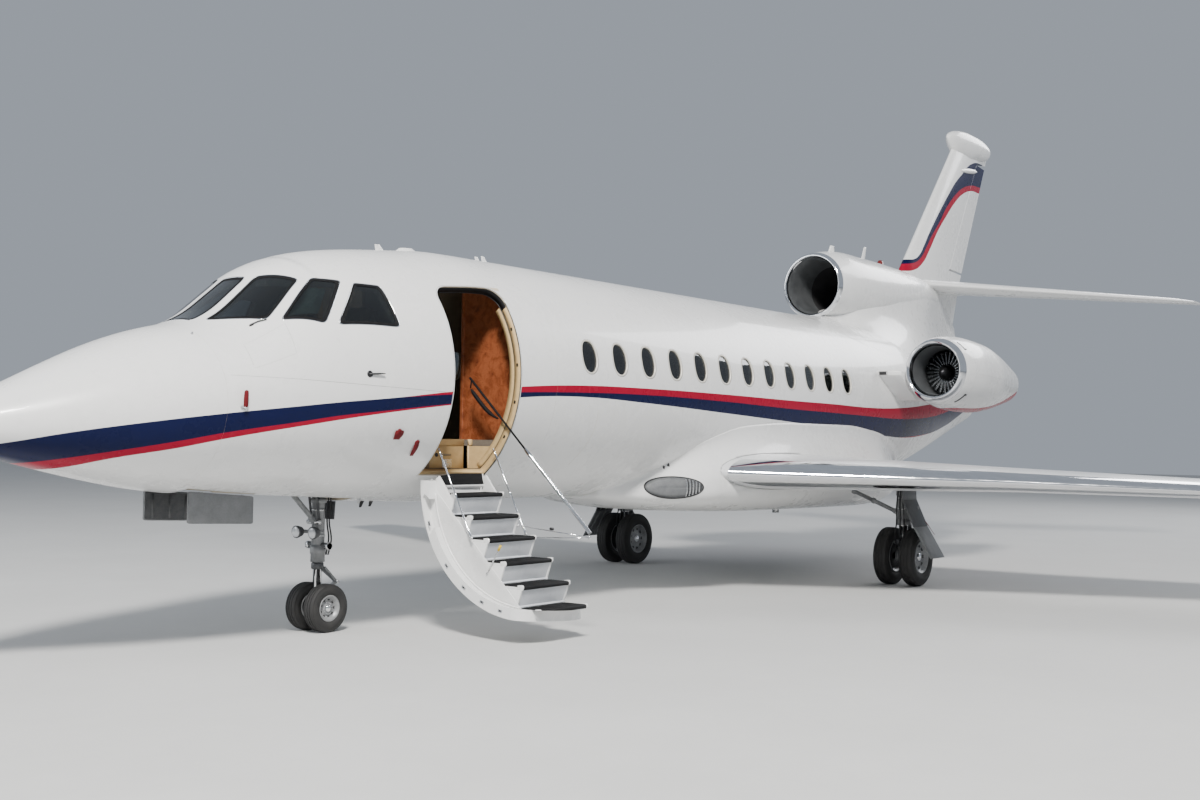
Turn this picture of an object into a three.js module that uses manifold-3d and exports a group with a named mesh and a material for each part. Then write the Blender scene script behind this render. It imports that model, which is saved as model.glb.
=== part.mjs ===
// Three-engine business jet, parked on its gear with the airstair door open.
// Millimetres. +X forward, +Y to the left wing, +Z up, origin on the ground under the middle of the length.
// Stations "s" are measured aft from the nose tip, so x = NOSE_X - s.
import * as THREE from "three";
import { mergeVertices } from "three/addons/utils/BufferGeometryUtils.js";
import Module from "manifold-3d";

const wasm = await Module();
wasm.setup();
const { Manifold, Mesh: SolidMesh } = wasm;

// ---------------------------------------------------------------- driving dimensions
const LENGTH = 20210;
const NOSE_X = LENGTH / 2;
const RADIUS = 1250; // cabin radius
const WALL = 80; // cabin wall
const REAR_WALL = 40; // rear fuselage skin and frames
const SPLIT_NOSE = 2000; // radome to forward fuselage
const SPLIT_CABIN = 5700; // forward fuselage to cabin
const SPLIT_REAR = 12500; // cabin to rear fuselage
const TAIL_END = 18700; // tail nozzle's end
const GAP = 3; // panel gap
const SIDES = 40; // facets round the fuselage
const INNER_SIDES = 24; // facets round its inside

// fuselage outline: station, top, bottom, half width, height of the widest line
const OUTLINE = [
  // s, top, bottom, half, mid
  [0, 1822, 1798, 12, 1810],
  [30, 1866, 1766, 60, 1812],
  [100, 1922, 1724, 122, 1816],
  [300, 2022, 1656, 238, 1830],
  [600, 2150, 1592, 388, 1858],
  [1000, 2345, 1495, 572, 1900],
  [1400, 2528, 1408, 722, 1950],
  [1800, 2665, 1338, 846, 2012],
  [2050, 2725, 1312, 915, 2058],
  [2300, 2835, 1290, 970, 2104],
  [2600, 3072, 1268, 1032, 2160],
  [2900, 3308, 1250, 1084, 2212],
  [3300, 3458, 1230, 1140, 2272],
  [3800, 3549, 1206, 1190, 2330],
  [4400, 3615, 1183, 1232, 2384],
  [5000, 3664, 1164, 1250, 2414],
  [5700, 3664, 1164, 1250, 2414],
  [12500, 3664, 1164, 1250, 2414],
  [13300, 3664, 1182, 1242, 2423],
  [14200, 3660, 1245, 1215, 2453],
  [15200, 3646, 1405, 1125, 2530],
  [16200, 3622, 1625, 968, 2640],
  [17200, 3590, 1862, 768, 2760],
  [18100, 3556, 2082, 580, 2862],
  [18700, 3530, 2225, 470, 2935],
];

// cockpit panes on the left side, each corner as station and angle up from the widest line, degrees
const PANES = [
  // name, four corners (s, angle): lower front, upper front, upper rear, lower rear
  ["windshield_left", [[2215, 71], [2745, 75.5], [2925, 57], [2520, 46.5]]],
  ["side_window_left", [[2625, 41], [3040, 54.2], [3262, 48.6], [2935, 29.5]]],
  ["rear_side_window_left", [[3068, 27.2], [3390, 45.8], [3630, 42.8], [3668, 22.5]]],
];
const CENTRE_PANE = [[2150, 101.5], [2715, 98], [2715, 82], [2150, 78.5]];

// cabin windows
const WINDOW = { first: 6250, pitch: 522, count: 12, z: 2660, height: 355, width: 262 };

// airstair door, closed position; it opens by OPEN about a hinge line at the lower skin
const DOOR = { front: 4250, aft: 5145, low: -51, high: 42.5, corner: 170, wall: 100, gap: 8 };
const HINGE = { y: 781, z: 1432, tube: 16 };
const OPEN = 129;

// wing: y, leading edge station, trailing edge station, height of the nose, thickness
const WING = [
  // y, le, te, z, t
  [0, 8750, 12800, 1440, 470],
  [1300, 8750, 12800, 1440, 470],
  [4000, 10250, 12970, 1392, 300],
  [6800, 11525, 13454, 1318, 202],
  [9500, 12755, 13921, 1262, 108],
  [9665, 12960, 13950, 1258, 44],
];
const SLAT = { from: 1335, to: 9400, chord: 0.085 };
const FLAP = { from: 1560, to: 6350, chord: 0.74 };
const AILERON = { from: 6420, to: 8980, chord: 0.76 };

const FIN = [
  // z, le, te, half thickness
  [3500, 15900, 18350, 150],
  [4740, 16320, 18820, 150],
  [5500, 16995, 19210, 128],
  [6820, 18170, 19890, 100],
  [7260, 18560, 20117, 90],
];
const RUDDER = { from: 4960, to: 7040, chord: 0.7 };
const TAILPLANE = [
  // y, le, te, z, t
  [0, 16700, 18960, 4560, 230],
  [250, 16880, 19010, 4545, 215],
  [3600, 19250, 20110, 4318, 90],
  [3870, 19520, 20190, 4300, 34],
];
const ELEVATOR = { from: 330, to: 3560, chord: 0.7 };

const NACELLE = { y: 1950, z: 2865, s: 13180, dz: -0.04 };
const NACELLE_OUT = [[0, 394], [25, 424], [120, 460], [350, 502], [750, 531], [1250, 520], [1700, 460], [2050, 394], [2350, 332], [2570, 285]];
const NACELLE_IN = [[2570, 267], [2150, 312], [1500, 345], [900, 352], [470, 338], [250, 330], [60, 356]];
const DUCT = { s: 13230, z: 4170 };

const JACK = { s: 10900, y: 760, z: 893, r: 45 }; // jacking pads under the wing's root
const NOSE_GEAR = { s: 3741, wheel: 222.5, width: 146, track: 125 };
const MAIN_GEAR = { s: 11641, y: 2225, wheel: 368.5, width: 196, track: 175 };

// ---------------------------------------------------------------- helpers
const X = (s) => NOSE_X - s;
const rad = (d) => (d * Math.PI) / 180;
const lerp = (a, b, t) => a + (b - a) * t;

// monotone curve through a table's rows: the value of column c at key k
function curve(table, k, c) {
  const n = table.length;
  if (k <= table[0][0]) return table[0][c];
  if (k >= table[n - 1][0]) return table[n - 1][c];
  let i = 0;
  while (table[i + 1][0] < k) i++;
  const h = (j) => table[j + 1][0] - table[j][0];
  const d = (j) => (table[j + 1][c] - table[j][c]) / h(j);
  const edge = (h0, h1, d0, d1) => {
    let m = ((2 * h0 + h1) * d0 - h0 * d1) / (h0 + h1);
    if (Math.sign(m) !== Math.sign(d0)) m = 0;
    else if (Math.sign(d0) !== Math.sign(d1) && Math.abs(m) > 3 * Math.abs(d0)) m = 3 * d0;
    return m;
  };
  const slope = (j) => {
    if (n === 2) return d(0);
    if (j === 0) return edge(h(0), h(1), d(0), d(1));
    if (j === n - 1) return edge(h(n - 2), h(n - 3), d(n - 2), d(n - 3));
    const a = d(j - 1), b = d(j);
    if (a * b <= 0) return 0;
    const w1 = 2 * h(j) + h(j - 1), w2 = h(j) + 2 * h(j - 1);
    return (w1 + w2) / (w1 / a + w2 / b);
  };
  const H = h(i), t = (k - table[i][0]) / H;
  const m0 = slope(i) * H, m1 = slope(i + 1) * H;
  const p0 = table[i][c], p1 = table[i + 1][c];
  const t2 = t * t, t3 = t2 * t;
  return (2 * t3 - 3 * t2 + 1) * p0 + (t3 - 2 * t2 + t) * m0 + (-2 * t3 + 3 * t2) * p1 + (t3 - t2) * m1;
}
// straight-line value of column c at key k
function line(table, k, c) {
  let i = 0;
  while (i < table.length - 2 && table[i + 1][0] < k) i++;
  const t = (k - table[i][0]) / (table[i + 1][0] - table[i][0]);
  return lerp(table[i][c], table[i + 1][c], t);
}

function solid(points, faces) {
  const g = new THREE.BufferGeometry();
  g.setAttribute("position", new THREE.BufferAttribute(new Float32Array(points.flat()), 3));
  g.setIndex(faces.flat());
  return fromGeometry(g);
}
function fromGeometry(geometry) {
  const g = geometry.clone();
  g.deleteAttribute("normal");
  g.deleteAttribute("uv");
  const m = mergeVertices(g, 1e-3);
  const index = Array.from(m.index.array);
  const tri = [];
  for (let i = 0; i < index.length; i += 3) {
    const [a, b, c] = index.slice(i, i + 3);
    if (a !== b && b !== c && a !== c) tri.push(a, b, c);
  }
  let made = new Manifold(new SolidMesh({ numProp: 3, vertProperties: m.attributes.position.array, triVerts: new Uint32Array(tri) }));
  if (made.volume() < 0) {
    for (let i = 0; i < tri.length; i += 3) [tri[i + 1], tri[i + 2]] = [tri[i + 2], tri[i + 1]];
    made = new Manifold(new SolidMesh({ numProp: 3, vertProperties: m.attributes.position.array, triVerts: new Uint32Array(tri) }));
  }
  return made;
}
// closed body through rings of points (same count each), with fan caps from each end ring's middle
function loft(rings, closed = false) {
  const n = rings[0].length, pts = rings.flat(), faces = [];
  const m = rings.length;
  for (let r = 0; r < (closed ? m : m - 1); r++)
    for (let i = 0; i < n; i++) {
      const a = r * n + i, b = r * n + ((i + 1) % n), r2 = ((r + 1) % m) * n;
      faces.push([a, b, r2 + ((i + 1) % n)], [a, r2 + ((i + 1) % n), r2 + i]);
    }
  if (!closed)
    for (const [r, turn] of [[0, true], [m - 1, false]]) {
      const mid = [0, 1, 2].map((k) => rings[r].reduce((t, p) => t + p[k], 0) / n);
      const c = pts.push(mid) - 1;
      for (let i = 0; i < n; i++) {
        const a = r * n + i, b = r * n + ((i + 1) % n);
        faces.push(turn ? [b, a, c] : [a, b, c]);
      }
    }
  return solid(pts, faces);
}
// outline in a plane, pushed out along the third axis; plane "sy", "sz" or "yz"
function prism(outline, plane, from, to) {
  const at = {
    sy: (p, h) => [X(p[0]), p[1], h],
    sz: (p, h) => [X(p[0]), h, p[1]],
    yz: (p, h) => [X(h), p[0], p[1]],
  }[plane];
  const shape = new THREE.Shape(outline.map((p) => new THREE.Vector2(p[0], p[1])));
  const g = new THREE.ExtrudeGeometry(shape, { depth: to - from, bevelEnabled: false, steps: 1 });
  const p = g.attributes.position;
  for (let i = 0; i < p.count; i++) {
    const q = at([p.getX(i), p.getY(i)], from + p.getZ(i));
    p.setXYZ(i, ...q);
  }
  return fromGeometry(g);
}
const box = (s0, s1, y0, y1, z0, z1) => prism([[s0, y0], [s1, y0], [s1, y1], [s0, y1]], "sy", z0, z1);
// round bar between two points given as [s, y, z], radius r0 to r1
function bar(a, b, r0, r1 = r0, sides = 12) {
  const A = new THREE.Vector3(X(a[0]), a[1], a[2]), B = new THREE.Vector3(X(b[0]), b[1], b[2]);
  const g = new THREE.CylinderGeometry(r1, r0, A.distanceTo(B), sides);
  g.applyQuaternion(new THREE.Quaternion().setFromUnitVectors(new THREE.Vector3(0, 1, 0), B.clone().sub(A).normalize()));
  g.translate(...A.clone().add(B).multiplyScalar(0.5).toArray());
  return fromGeometry(g);
}
// body turned round an axis through [s, y, z]; profile of [along, radius], along "y" or "x" (aft)
function turned(profile, axis, at, sides = 32) {
  const g = new THREE.LatheGeometry(profile.map((p) => new THREE.Vector2(p[1], p[0])), sides);
  if (axis === "x") g.rotateZ(Math.PI / 2); // the profile's length runs aft
  g.translate(X(at[0]), at[1], at[2]);
  return fromGeometry(g);
}
const union = (list) => list.reduce((a, b) => a.add(b));
const mirrored = (m) => m.mirror([0, 1, 0]);

const root = new THREE.Group();
const PAINT = {
  white: [0xf2f2ee, 0.25, 0.0], glass: [0x1c2226, 0.05, 0.0], steel: [0xb8bbbe, 0.25, 1.0], dark: [0x2a2c2e, 0.5, 0.6],
  tyre: [0x1b1b1c, 0.85, 0.0], wood: [0x8a4b22, 0.3, 0.0], trim: [0xcdb48a, 0.6, 0.0], carpet: [0x4a4038, 0.95, 0.0],
  leather: [0xb49a78, 0.55, 0.0], grey: [0x9a9da0, 0.45, 0.4], black: [0x101214, 0.6, 0.0],
};
function node(name, m, paint) {
  const s = m.getMesh(), g = new THREE.BufferGeometry();
  const v = new Float32Array(s.numVert * 3);
  for (let i = 0; i < s.numVert; i++) v.set(s.vertProperties.subarray(i * s.numProp, i * s.numProp + 3), i * 3);
  g.setAttribute("position", new THREE.BufferAttribute(v, 3));
  g.setIndex(new THREE.BufferAttribute(s.triVerts, 1));
  const [color, roughness, metalness] = PAINT[paint];
  const mesh = new THREE.Mesh(g, new THREE.MeshStandardMaterial({ color, roughness, metalness }));
  mesh.name = name;
  root.add(mesh);
}
const both = (name, m, paint) => {
  node(name + "_left", m, paint);
  node(name + "_right", mirrored(m), paint);
};

// ---------------------------------------------------------------- fuselage
const outline = (s, c) => curve(OUTLINE, s, c);
// point on the fuselage surface, off mm inside it
function skin(s, deg, off = 0) {
  const a = rad(deg), up = Math.sin(a) > 0;
  const half = Math.max(outline(s, 3) - off, 2), mid = outline(s, 4);
  const h = Math.max((up ? outline(s, 1) - mid : mid - outline(s, 2)) - off, 2);
  return [X(s), half * Math.cos(a), mid + h * Math.sin(a)];
}
const ringAt = (s, off = 0, sides = SIDES) => Array.from({ length: sides }, (_, i) => skin(s, (i * 360) / sides, off));
const stations = (from, to, extra) => [from, ...extra.filter((s) => s > from + 1 && s < to - 1), to];
const tube = (from, to, extra, off, sides = SIDES) => loft(stations(from, to, extra).map((s) => ringAt(s, off, sides)));
const NOSE_STATIONS = [30, 100, 300, 600, 1000, 1400, 1800, 2050, 2300, 2450, 2600, 2750, 2900, 3080, 3300, 3800, 4400, 5000];
const INNER_STATIONS = [2300, 2600, 2900, 3300, 3800, 4400, 5000];
const REAR_STATIONS = [12900, 13300, 13750, 14200, 15200, 16200, 17200, 18100];
const REAR_INNER = [13300, 14200, 15200, 16200, 17200, 18100];

// patch of the skin bounded by an outline of (s, angle) points, as a block from out mm outside to deep mm inside
function patch(outlinePts, out, deep) {
  const ring = (off) => outlinePts.map(([s, a]) => skin(s, a, off));
  return loft([ring(-out), ring(deep)]);
}
// rounded quadrilateral of (s, angle) corners; r is the corner radius as a share of the shorter side
function rounded(corners, share = 0.16, steps = 3) {
  const out = [];
  corners.forEach((c, i) => {
    const p = corners[(i + corners.length - 1) % corners.length], n = corners[(i + 1) % corners.length];
    for (let k = 0; k <= steps; k++) {
      const t = k / steps, a = (1 - t) ** 2, b = 2 * t * (1 - t), d = t * t;
      const before = [lerp(c[0], p[0], share), lerp(c[1], p[1], share)], after = [lerp(c[0], n[0], share), lerp(c[1], n[1], share)];
      out.push([a * before[0] + b * c[0] + d * after[0], a * before[1] + b * c[1] + d * after[1]]);
    }
  });
  return out;
}
// quadrilateral of (s, angle) corners with each edge moved out by d mm
function grow(corners, d) {
  if (!d) return corners;
  const pts = corners.map(([s, a]) => [s, rad(a) * RADIUS * 0.85]), n = pts.length;
  const area = pts.reduce((t, p, i) => t + p[0] * pts[(i + 1) % n][1] - pts[(i + 1) % n][0] * p[1], 0);
  const edges = pts.map((p, i) => {
    const q = pts[(i + 1) % n], l = Math.hypot(q[0] - p[0], q[1] - p[1]) * Math.sign(area);
    const nx = (q[1] - p[1]) / l, ny = -(q[0] - p[0]) / l;
    return [p[0] + nx * d, p[1] + ny * d, q[0] - p[0], q[1] - p[1]];
  });
  return edges.map((e, i) => {
    const f = edges[(i + n - 1) % n];
    const t = ((e[0] - f[0]) * e[3] - (e[1] - f[1]) * e[2]) / (f[2] * e[3] - f[3] * e[2]);
    return [f[0] + f[2] * t, ((f[1] + f[3] * t) / RADIUS / 0.85) * (180 / Math.PI)];
  });
}
const ovalWindow = (s0, k, n = 10) =>
  Array.from({ length: n }, (_, i) => {
    const t = (i * 2 * Math.PI) / n, e = 0.86;
    const cs = Math.cos(t), sn = Math.sin(t);
    const mid = Math.asin((WINDOW.z - 2414) / RADIUS), half = (WINDOW.height / 2 + k) / RADIUS;
    return [s0 + (WINDOW.width / 2 + k) * Math.sign(cs) * Math.abs(cs) ** e, ((mid + half * Math.sign(sn) * Math.abs(sn) ** e) * 180) / Math.PI];
  });
const windowStations = Array.from({ length: WINDOW.count }, (_, i) => WINDOW.first + i * WINDOW.pitch);

// block of the door's region of the skin, its edges shrunk by k mm, from out mm outside to deep mm inside
const mmDeg = (v) => ((v / RADIUS) * 180) / Math.PI;
function doorBlock(k, out, deep, low = DOOR.low) {
  const a0 = low + mmDeg(k), a1 = DOOR.high - mmDeg(k), r = DOOR.corner;
  const s0 = DOOR.front + k, s1 = DOOR.aft - k;
  const rows = Array.from({ length: 15 }, (_, i) => [lerp(a0, a1 - mmDeg(r), i / 14), 0]);
  for (let i = 1; i <= 6; i++) {
    const t = rad(i * 14.9);
    rows.push([a1 - mmDeg(r) + mmDeg(r) * Math.sin(t), r - r * Math.cos(t)]);
  }
  return loft(rows.map(([a, inset]) => {
    const ring = [];
    for (let i = 0; i <= 4; i++) ring.push(skin(lerp(s0 + inset, s1 - inset, i / 4), a, -out));
    for (let i = 4; i >= 0; i--) ring.push(skin(lerp(s0 + inset, s1 - inset, i / 4), a, deep));
    return ring;
  }));
}

node("radome", loft(stations(0, SPLIT_NOSE - GAP / 2, NOSE_STATIONS).map((s) => ringAt(s))), "white");

// wing volume; dt grows it all round by dt mm
function airfoil(le, te, z, t, grow = 0, under = 0.86) {
  const cs = [0, 0.012, 0.04, 0.1, 0.2, 0.34, 0.5, 0.68, 0.85, 1], c = te - le;
  const thick = (x) => 5 * (0.2969 * Math.sqrt(x) - 0.126 * x - 0.3516 * x * x + 0.2843 * x ** 3 - 0.1036 * x ** 4);
  const up = cs.map((x) => [le + x * c, z + thick(x) * t * 1.0 + (x === 1 ? 4 : 0)]);
  const low = cs.slice(1).reverse().map((x) => [le + x * c, z - thick(x) * t * under - (x === 1 ? 4 : 0)]);
  return [...up, ...low].map(([s, h], i, a) => {
    const x = (s - le) / c;
    return [s + (x < 0.02 ? -grow : x > 0.98 ? grow : 0), h + (h >= z ? grow : -grow)];
  });
}
const wingRing = (y, table, grow = 0) => airfoil(line(table, y, 1), line(table, y, 2), line(table, y, 3), line(table, y, 4), grow).map(([s, z]) => [X(s), y, z]);
function wingSolid(table, grow = 0) {
  const ys = table.map((r) => r[0]);
  const all = [...ys.slice(1).reverse().map((y) => -y), ...ys];
  return loft(all.map((y) => wingRing(Math.abs(y), table, grow).map((p) => [p[0], y, p[2]])));
}
// plan-view block over a share of chord between two spans, for cutting a surface's parts
function chordBlock(table, from, to, c0, c1, d0 = 0, d1 = 0, dy = 0) {
  const at = (y, c, d) => [lerp(line(table, y, 1), line(table, y, 2), c) + d, y];
  const ys = [from - dy, ...table.map((r) => r[0]).filter((y) => y > from && y < to), to + dy];
  return prism([...ys.map((y) => at(y, c0, d0)), ...ys.reverse().map((y) => at(y, c1, d1))], "sy", -1000, 9000);
}
// straight hinge line of a control surface: its nose is round about the line
function hingeLine(table, part) {
  const at = (y) => {
    const s = lerp(line(table, y, 1), line(table, y, 2), part.chord), t = line(table, y, 4), z = line(table, y, 3);
    const x = part.chord, k = 5 * (0.2969 * Math.sqrt(x) - 0.126 * x - 0.3516 * x * x + 0.2843 * x ** 3 - 0.1036 * x ** 4);
    return { s, y, z: z + (k * t * (1 - 0.86)) / 2, r: (k * t * 1.86) / 2 };
  };
  return [at(part.from), at(part.to)];
}
function controlSurface(whole, table, part) {
  const [a, b] = hingeLine(table, part);
  const flat = (d0, dy) => prism([[a.s + d0, a.y - dy], [b.s + d0, b.y + dy], [b.s + 3000, b.y + dy], [a.s + 3000, a.y - dy]], "sy", -1000, 9000);
  const nose = (k) => {
    const dir = [b.s - a.s, b.y - a.y, b.z - a.z].map((v) => v / (b.y - a.y));
    const p = [a.s - dir[0] * 120, a.y - 120, a.z - dir[2] * 120], q = [b.s + dir[0] * 120, b.y + 120, b.z + dir[2] * 120];
    return bar(p, q, a.r * 0.97 + k, b.r * 0.97 + k, 16);
  };
  const band = (dy) => prism([[a.s - 2000, a.y - dy], [b.s - 2000, b.y + dy], [b.s + 3000, b.y + dy], [a.s + 3000, a.y - dy]], "sy", -1000, 9000);
  const moving = whole.intersect(flat(0, 0)).add(nose(0).intersect(band(0)));
  const room = flat(-2, 8).add(nose(9).intersect(band(8)));
  return [moving, room];
}

let wing = wingSolid(WING);
const slat = wing.intersect(chordBlock(WING, SLAT.from, SLAT.to, 0, SLAT.chord, -300, 0));
wing = wing.subtract(chordBlock(WING, SLAT.from, SLAT.to, 0, SLAT.chord, -300, GAP, GAP));
const flap = wing.intersect(chordBlock(WING, FLAP.from, FLAP.to, FLAP.chord, 1, 0, 300));
const [aileron, aileronRoom] = controlSurface(wing, WING, AILERON);
for (const cut of [chordBlock(WING, FLAP.from, FLAP.to, FLAP.chord, 1, -6, 300, 6), aileronRoom]) wing = wing.subtract(cut).subtract(mirrored(cut));
wing = wing.subtract(mirrored(chordBlock(WING, SLAT.from, SLAT.to, 0, SLAT.chord, -300, GAP, GAP)));
const wingRoom = wingSolid(WING, 4);

// cockpit and cabin openings
const paneCut = ([, corners], k = 4) => patch(rounded(grow(corners, k)), 60, WALL + 60);
const glassLayer = tube(SPLIT_NOSE + 20, 4200, NOSE_STATIONS, 6).subtract(tube(SPLIT_NOSE, 4220, NOSE_STATIONS, 26));
const paneGlass = (p) => paneCut(p, 0).intersect(glassLayer);
const doorCut = doorBlock(0, 60, DOOR.wall + 60);
const NOSE_BAY = { front: 2060, aft: 3900, half: 280 };
const NOSE_DOOR = { y: 303, front: 2080, aft: 2740, topFront: 1333, topAft: 1279, lowFront: 1068, lowAft: 1042, thick: 22 };
const bayCut = box(NOSE_BAY.front, NOSE_BAY.aft, -NOSE_BAY.half, NOSE_BAY.half, 900, 1420);

let forward = tube(SPLIT_NOSE + GAP / 2, SPLIT_CABIN - GAP / 2, NOSE_STATIONS, 0).subtract(tube(SPLIT_NOSE - 20, SPLIT_CABIN + 20, INNER_STATIONS, WALL, INNER_SIDES));
for (const p of PANES) {
  const c = paneCut(p);
  forward = forward.subtract(c).subtract(mirrored(c));
}
forward = forward.subtract(paneCut(["", CENTRE_PANE])).subtract(doorCut).subtract(bayCut);
node("forward_fuselage", forward, "white");
for (const p of PANES) both(p[0].replace("_left", ""), paneGlass(p), "glass");
node("windshield_centre", paneGlass(["", CENTRE_PANE]), "glass");

let cabin = tube(SPLIT_CABIN + GAP / 2, SPLIT_REAR - GAP / 2, [], 0).subtract(tube(SPLIT_CABIN - 20, SPLIT_REAR + 20, [], WALL, INNER_SIDES));
for (const s of windowStations) {
  const c = patch(ovalWindow(s, 0), 60, WALL + 60);
  cabin = cabin.subtract(c).subtract(mirrored(c));
}
cabin = cabin.subtract(wingRoom);
const cabinBits = cabin.decompose().sort((a, b) => b.volume() - a.volume());
node("cabin_fuselage", cabinBits[0], "white");
// dark panes in the window holes, carried by one strip behind the wall
const strip = loft([-0.42, 3.6, 7.4, 11.42].map((k) => WINDOW.first + k * WINDOW.pitch).map((s) => {
  const pts = [];
  for (let i = 0; i <= 4; i++) pts.push(skin(s, lerp(-1, 23.5, i / 4), WALL + 14));
  for (let i = 4; i >= 0; i--) pts.push(skin(s, lerp(-1, 23.5, i / 4), WALL + 28));
  return pts;
}));
both("cabin_windows", strip, "glass");

// rear fuselage: thin shell, open at both ends, with the pylons
let rear = tube(SPLIT_REAR + GAP / 2, TAIL_END, REAR_STATIONS, 0);
const rearInside = tube(SPLIT_REAR - 20, TAIL_END + 20, REAR_INNER, REAR_WALL, INNER_SIDES);
const pylonRing = (y, le, te, z, t) => airfoil(le, te, z, t).map(([s, h]) => [X(s), y, h]);
const pylon = loft([pylonRing(900, 13340, 15980, 2655, 400), pylonRing(1400, 13420, 15760, 2670, 370), pylonRing(1640, 13500, 15560, 2690, 330)]);
const nacelleAt = (s) => NACELLE.z + NACELLE.dz * (s - NACELLE.s);
const nacelleBody = (profile) => {
  const rings = profile.map(([d, r]) => Array.from({ length: 24 }, (_, i) => {
    const a = (i * 2 * Math.PI) / 24;
    return [X(NACELLE.s + d), NACELLE.y + r * Math.cos(a), nacelleAt(NACELLE.s + d) + r * Math.sin(a)];
  }));
  return rings;
};
const nacelle = loft([...nacelleBody(NACELLE_OUT), ...nacelleBody(NACELLE_IN)], true);
const nacelleFilled = loft(nacelleBody(NACELLE_OUT.map(([d, r], i) => [d + (i === 0 ? -2 : i === NACELLE_OUT.length - 1 ? 2 : 0), r + 1.5])));
rear = rear.add(pylon.subtract(nacelleFilled)).add(mirrored(pylon.subtract(nacelleFilled))).subtract(rearInside);
rear = rear.subtract(wingRoom).decompose().sort((a, b) => b.volume() - a.volume())[0];

// belly fairing round the wing's middle
const BELLY = [
  // s, half width, bottom, top
  [7450, 420, 1150, 1300],
  [8000, 900, 1040, 1560],
  [8750, 1290, 968, 1850],
  [10250, 1400, 922, 1900],
  [12900, 1390, 905, 1880],
  [13600, 1180, 935, 1800],
  [14500, 700, 1000, 1640],
  [15100, 260, 1200, 1600],
];
let belly = loft([7450, 8000, 8350, 8750, 10250, 12900, 13600, 14050, 14500, 15100].map((s) => {
  const w = curve(BELLY, s, 1), lo = curve(BELLY, s, 2), hi = curve(BELLY, s, 3);
  return Array.from({ length: 20 }, (_, i) => {
    const a = (i * 2 * Math.PI) / 20, c = Math.cos(a), d = Math.sin(a);
    const e = 0.62;
    return [X(s), w * Math.sign(c) * Math.abs(c) ** e, (lo + hi) / 2 + ((hi - lo) / 2) * Math.sign(d) * Math.abs(d) ** e];
  });
}));
belly = belly.subtract(tube(7000, 15500, [12500, ...REAR_STATIONS], -2)).subtract(wingRoom);
for (const y of [-1, 1]) belly = belly.add(bar([JACK.s, y * JACK.y, 990], [JACK.s, y * JACK.y, JACK.z], JACK.r, JACK.r, 16));
belly = belly.decompose().sort((a, b) => b.volume() - a.volume())[0];
node("belly_fairing", belly, "white");

// centre intake duct on top of the fuselage, faired back into the fin
const ductRing = (s, r, z, w = 1) => Array.from({ length: 24 }, (_, i) => {
  const a = (i * 2 * Math.PI) / 24;
  return [X(s), r * w * Math.cos(a), z + r * Math.sin(a)];
});
const DUCT_OUT = [[13230, 455, 4170], [13255, 482, 4172], [13400, 505, 4180], [13900, 545, 4200], [14600, 560, 4180], [15300, 540, 4190], [16000, 480, 4230], [16700, 380, 4290], [17300, 270, 4330]];
const DUCT_IN = [[15000, 250, 4120], [14300, 330, 4140], [13700, 385, 4165], [13400, 402, 4170], [13280, 425, 4170]];
const finRing = (z) => {
  const le = line(FIN, z, 1), te = line(FIN, z, 2), t = line(FIN, z, 3) * 2;
  return airfoil(le, te, 0, t, 0, 1).map(([s, h]) => [X(s), h, z]);
};
const tailplaneWhole = (k = 0) => wingSolid(TAILPLANE, k);
let fin = loft([3500, 4200, 4740, 5500, 6820, 7260].map(finRing));
// fairing that carries the fin down over the tail engine
const keelRing = (s, half, lo, hi) => [[half, lo], [half, lerp(lo, hi, 0.6)], [half * 0.6, hi], [-half * 0.6, hi], [-half, lerp(lo, hi, 0.6)], [-half, lo]].map(([y, z]) => [X(s), y, z]);
const bulletRing = (s, r, h) => Array.from({ length: 12 }, (_, i) => {
  const a = (i * 2 * Math.PI) / 12;
  return [X(s), r * Math.cos(a), 7365 + h * Math.sin(a)];
});
fin = fin.add(loft([[18290, 20, 25], [18400, 85, 90], [18650, 125, 140], [19100, 145, 180], [19600, 125, 160], [20000, 80, 90], [LENGTH, 20, 25]].map((r) => bulletRing(...r))));
const [rudderPart, rudderRoom] = (() => {
  // the rudder is cut from the fin in the fin's own plane; its swept hinge lifts its top corner as it turns, and drops its lower front one, so its room is taller
  const at = (z) => [lerp(line(FIN, z, 1), line(FIN, z, 2), RUDDER.chord), z, line(FIN, z, 3)];
  const a = at(RUDDER.from), b = at(RUDDER.to);
  const x = RUDDER.chord, k = 5 * (0.2969 * Math.sqrt(x) - 0.126 * x - 0.3516 * x * x + 0.2843 * x ** 3 - 0.1036 * x ** 4);
  const flat = (d0, low, high, rise = 0) => prism([[a[0] + d0, a[1] - low], [b[0] + d0, b[1] + high], [b[0] + 3000, b[1] + high + rise], [a[0] + 3000, a[1] - low]], "sz", -900, 900);
  const nose = (g, dz) => {
    const ds = (b[0] - a[0]) / (b[1] - a[1]);
    return bar([a[0] - ds * 120, 0, a[1] - 120], [b[0] + ds * 120, 0, b[1] + 120], k * a[2] * 2 * 0.98 + g, k * b[2] * 2 * 0.98 + g, 16);
  };
  const band = (low, high) => prism([[a[0] - 2000, a[1] - low], [b[0] - 2000, b[1] + high], [b[0] + 3000, b[1] + high], [a[0] + 3000, a[1] - low]], "sz", -900, 900);
  return [fin.intersect(flat(0, 0, 0)).add(nose(0).intersect(band(0, 0))), flat(-2, 38, 26, 300).add(nose(10.5).intersect(band(38, 26)))];
})();
fin = fin.subtract(rudderRoom);
let duct = loft([...DUCT_OUT.map((r) => ductRing(...r))]);
const ductNeck = loft([[13760, 120, 3560, 4180], [14100, 210, 3560, 4180], [14800, 300, 3540, 4200], [15600, 330, 3520, 4230], [16500, 300, 3480, 4260], [17300, 240, 3440, 4280], [18150, 150, 3400, 4100]].map((r) => keelRing(...r)));
const fuselageAll = tube(12000, TAIL_END, [12500, ...REAR_STATIONS], -1);
duct = duct.add(ductNeck).subtract(fuselageAll);
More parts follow.
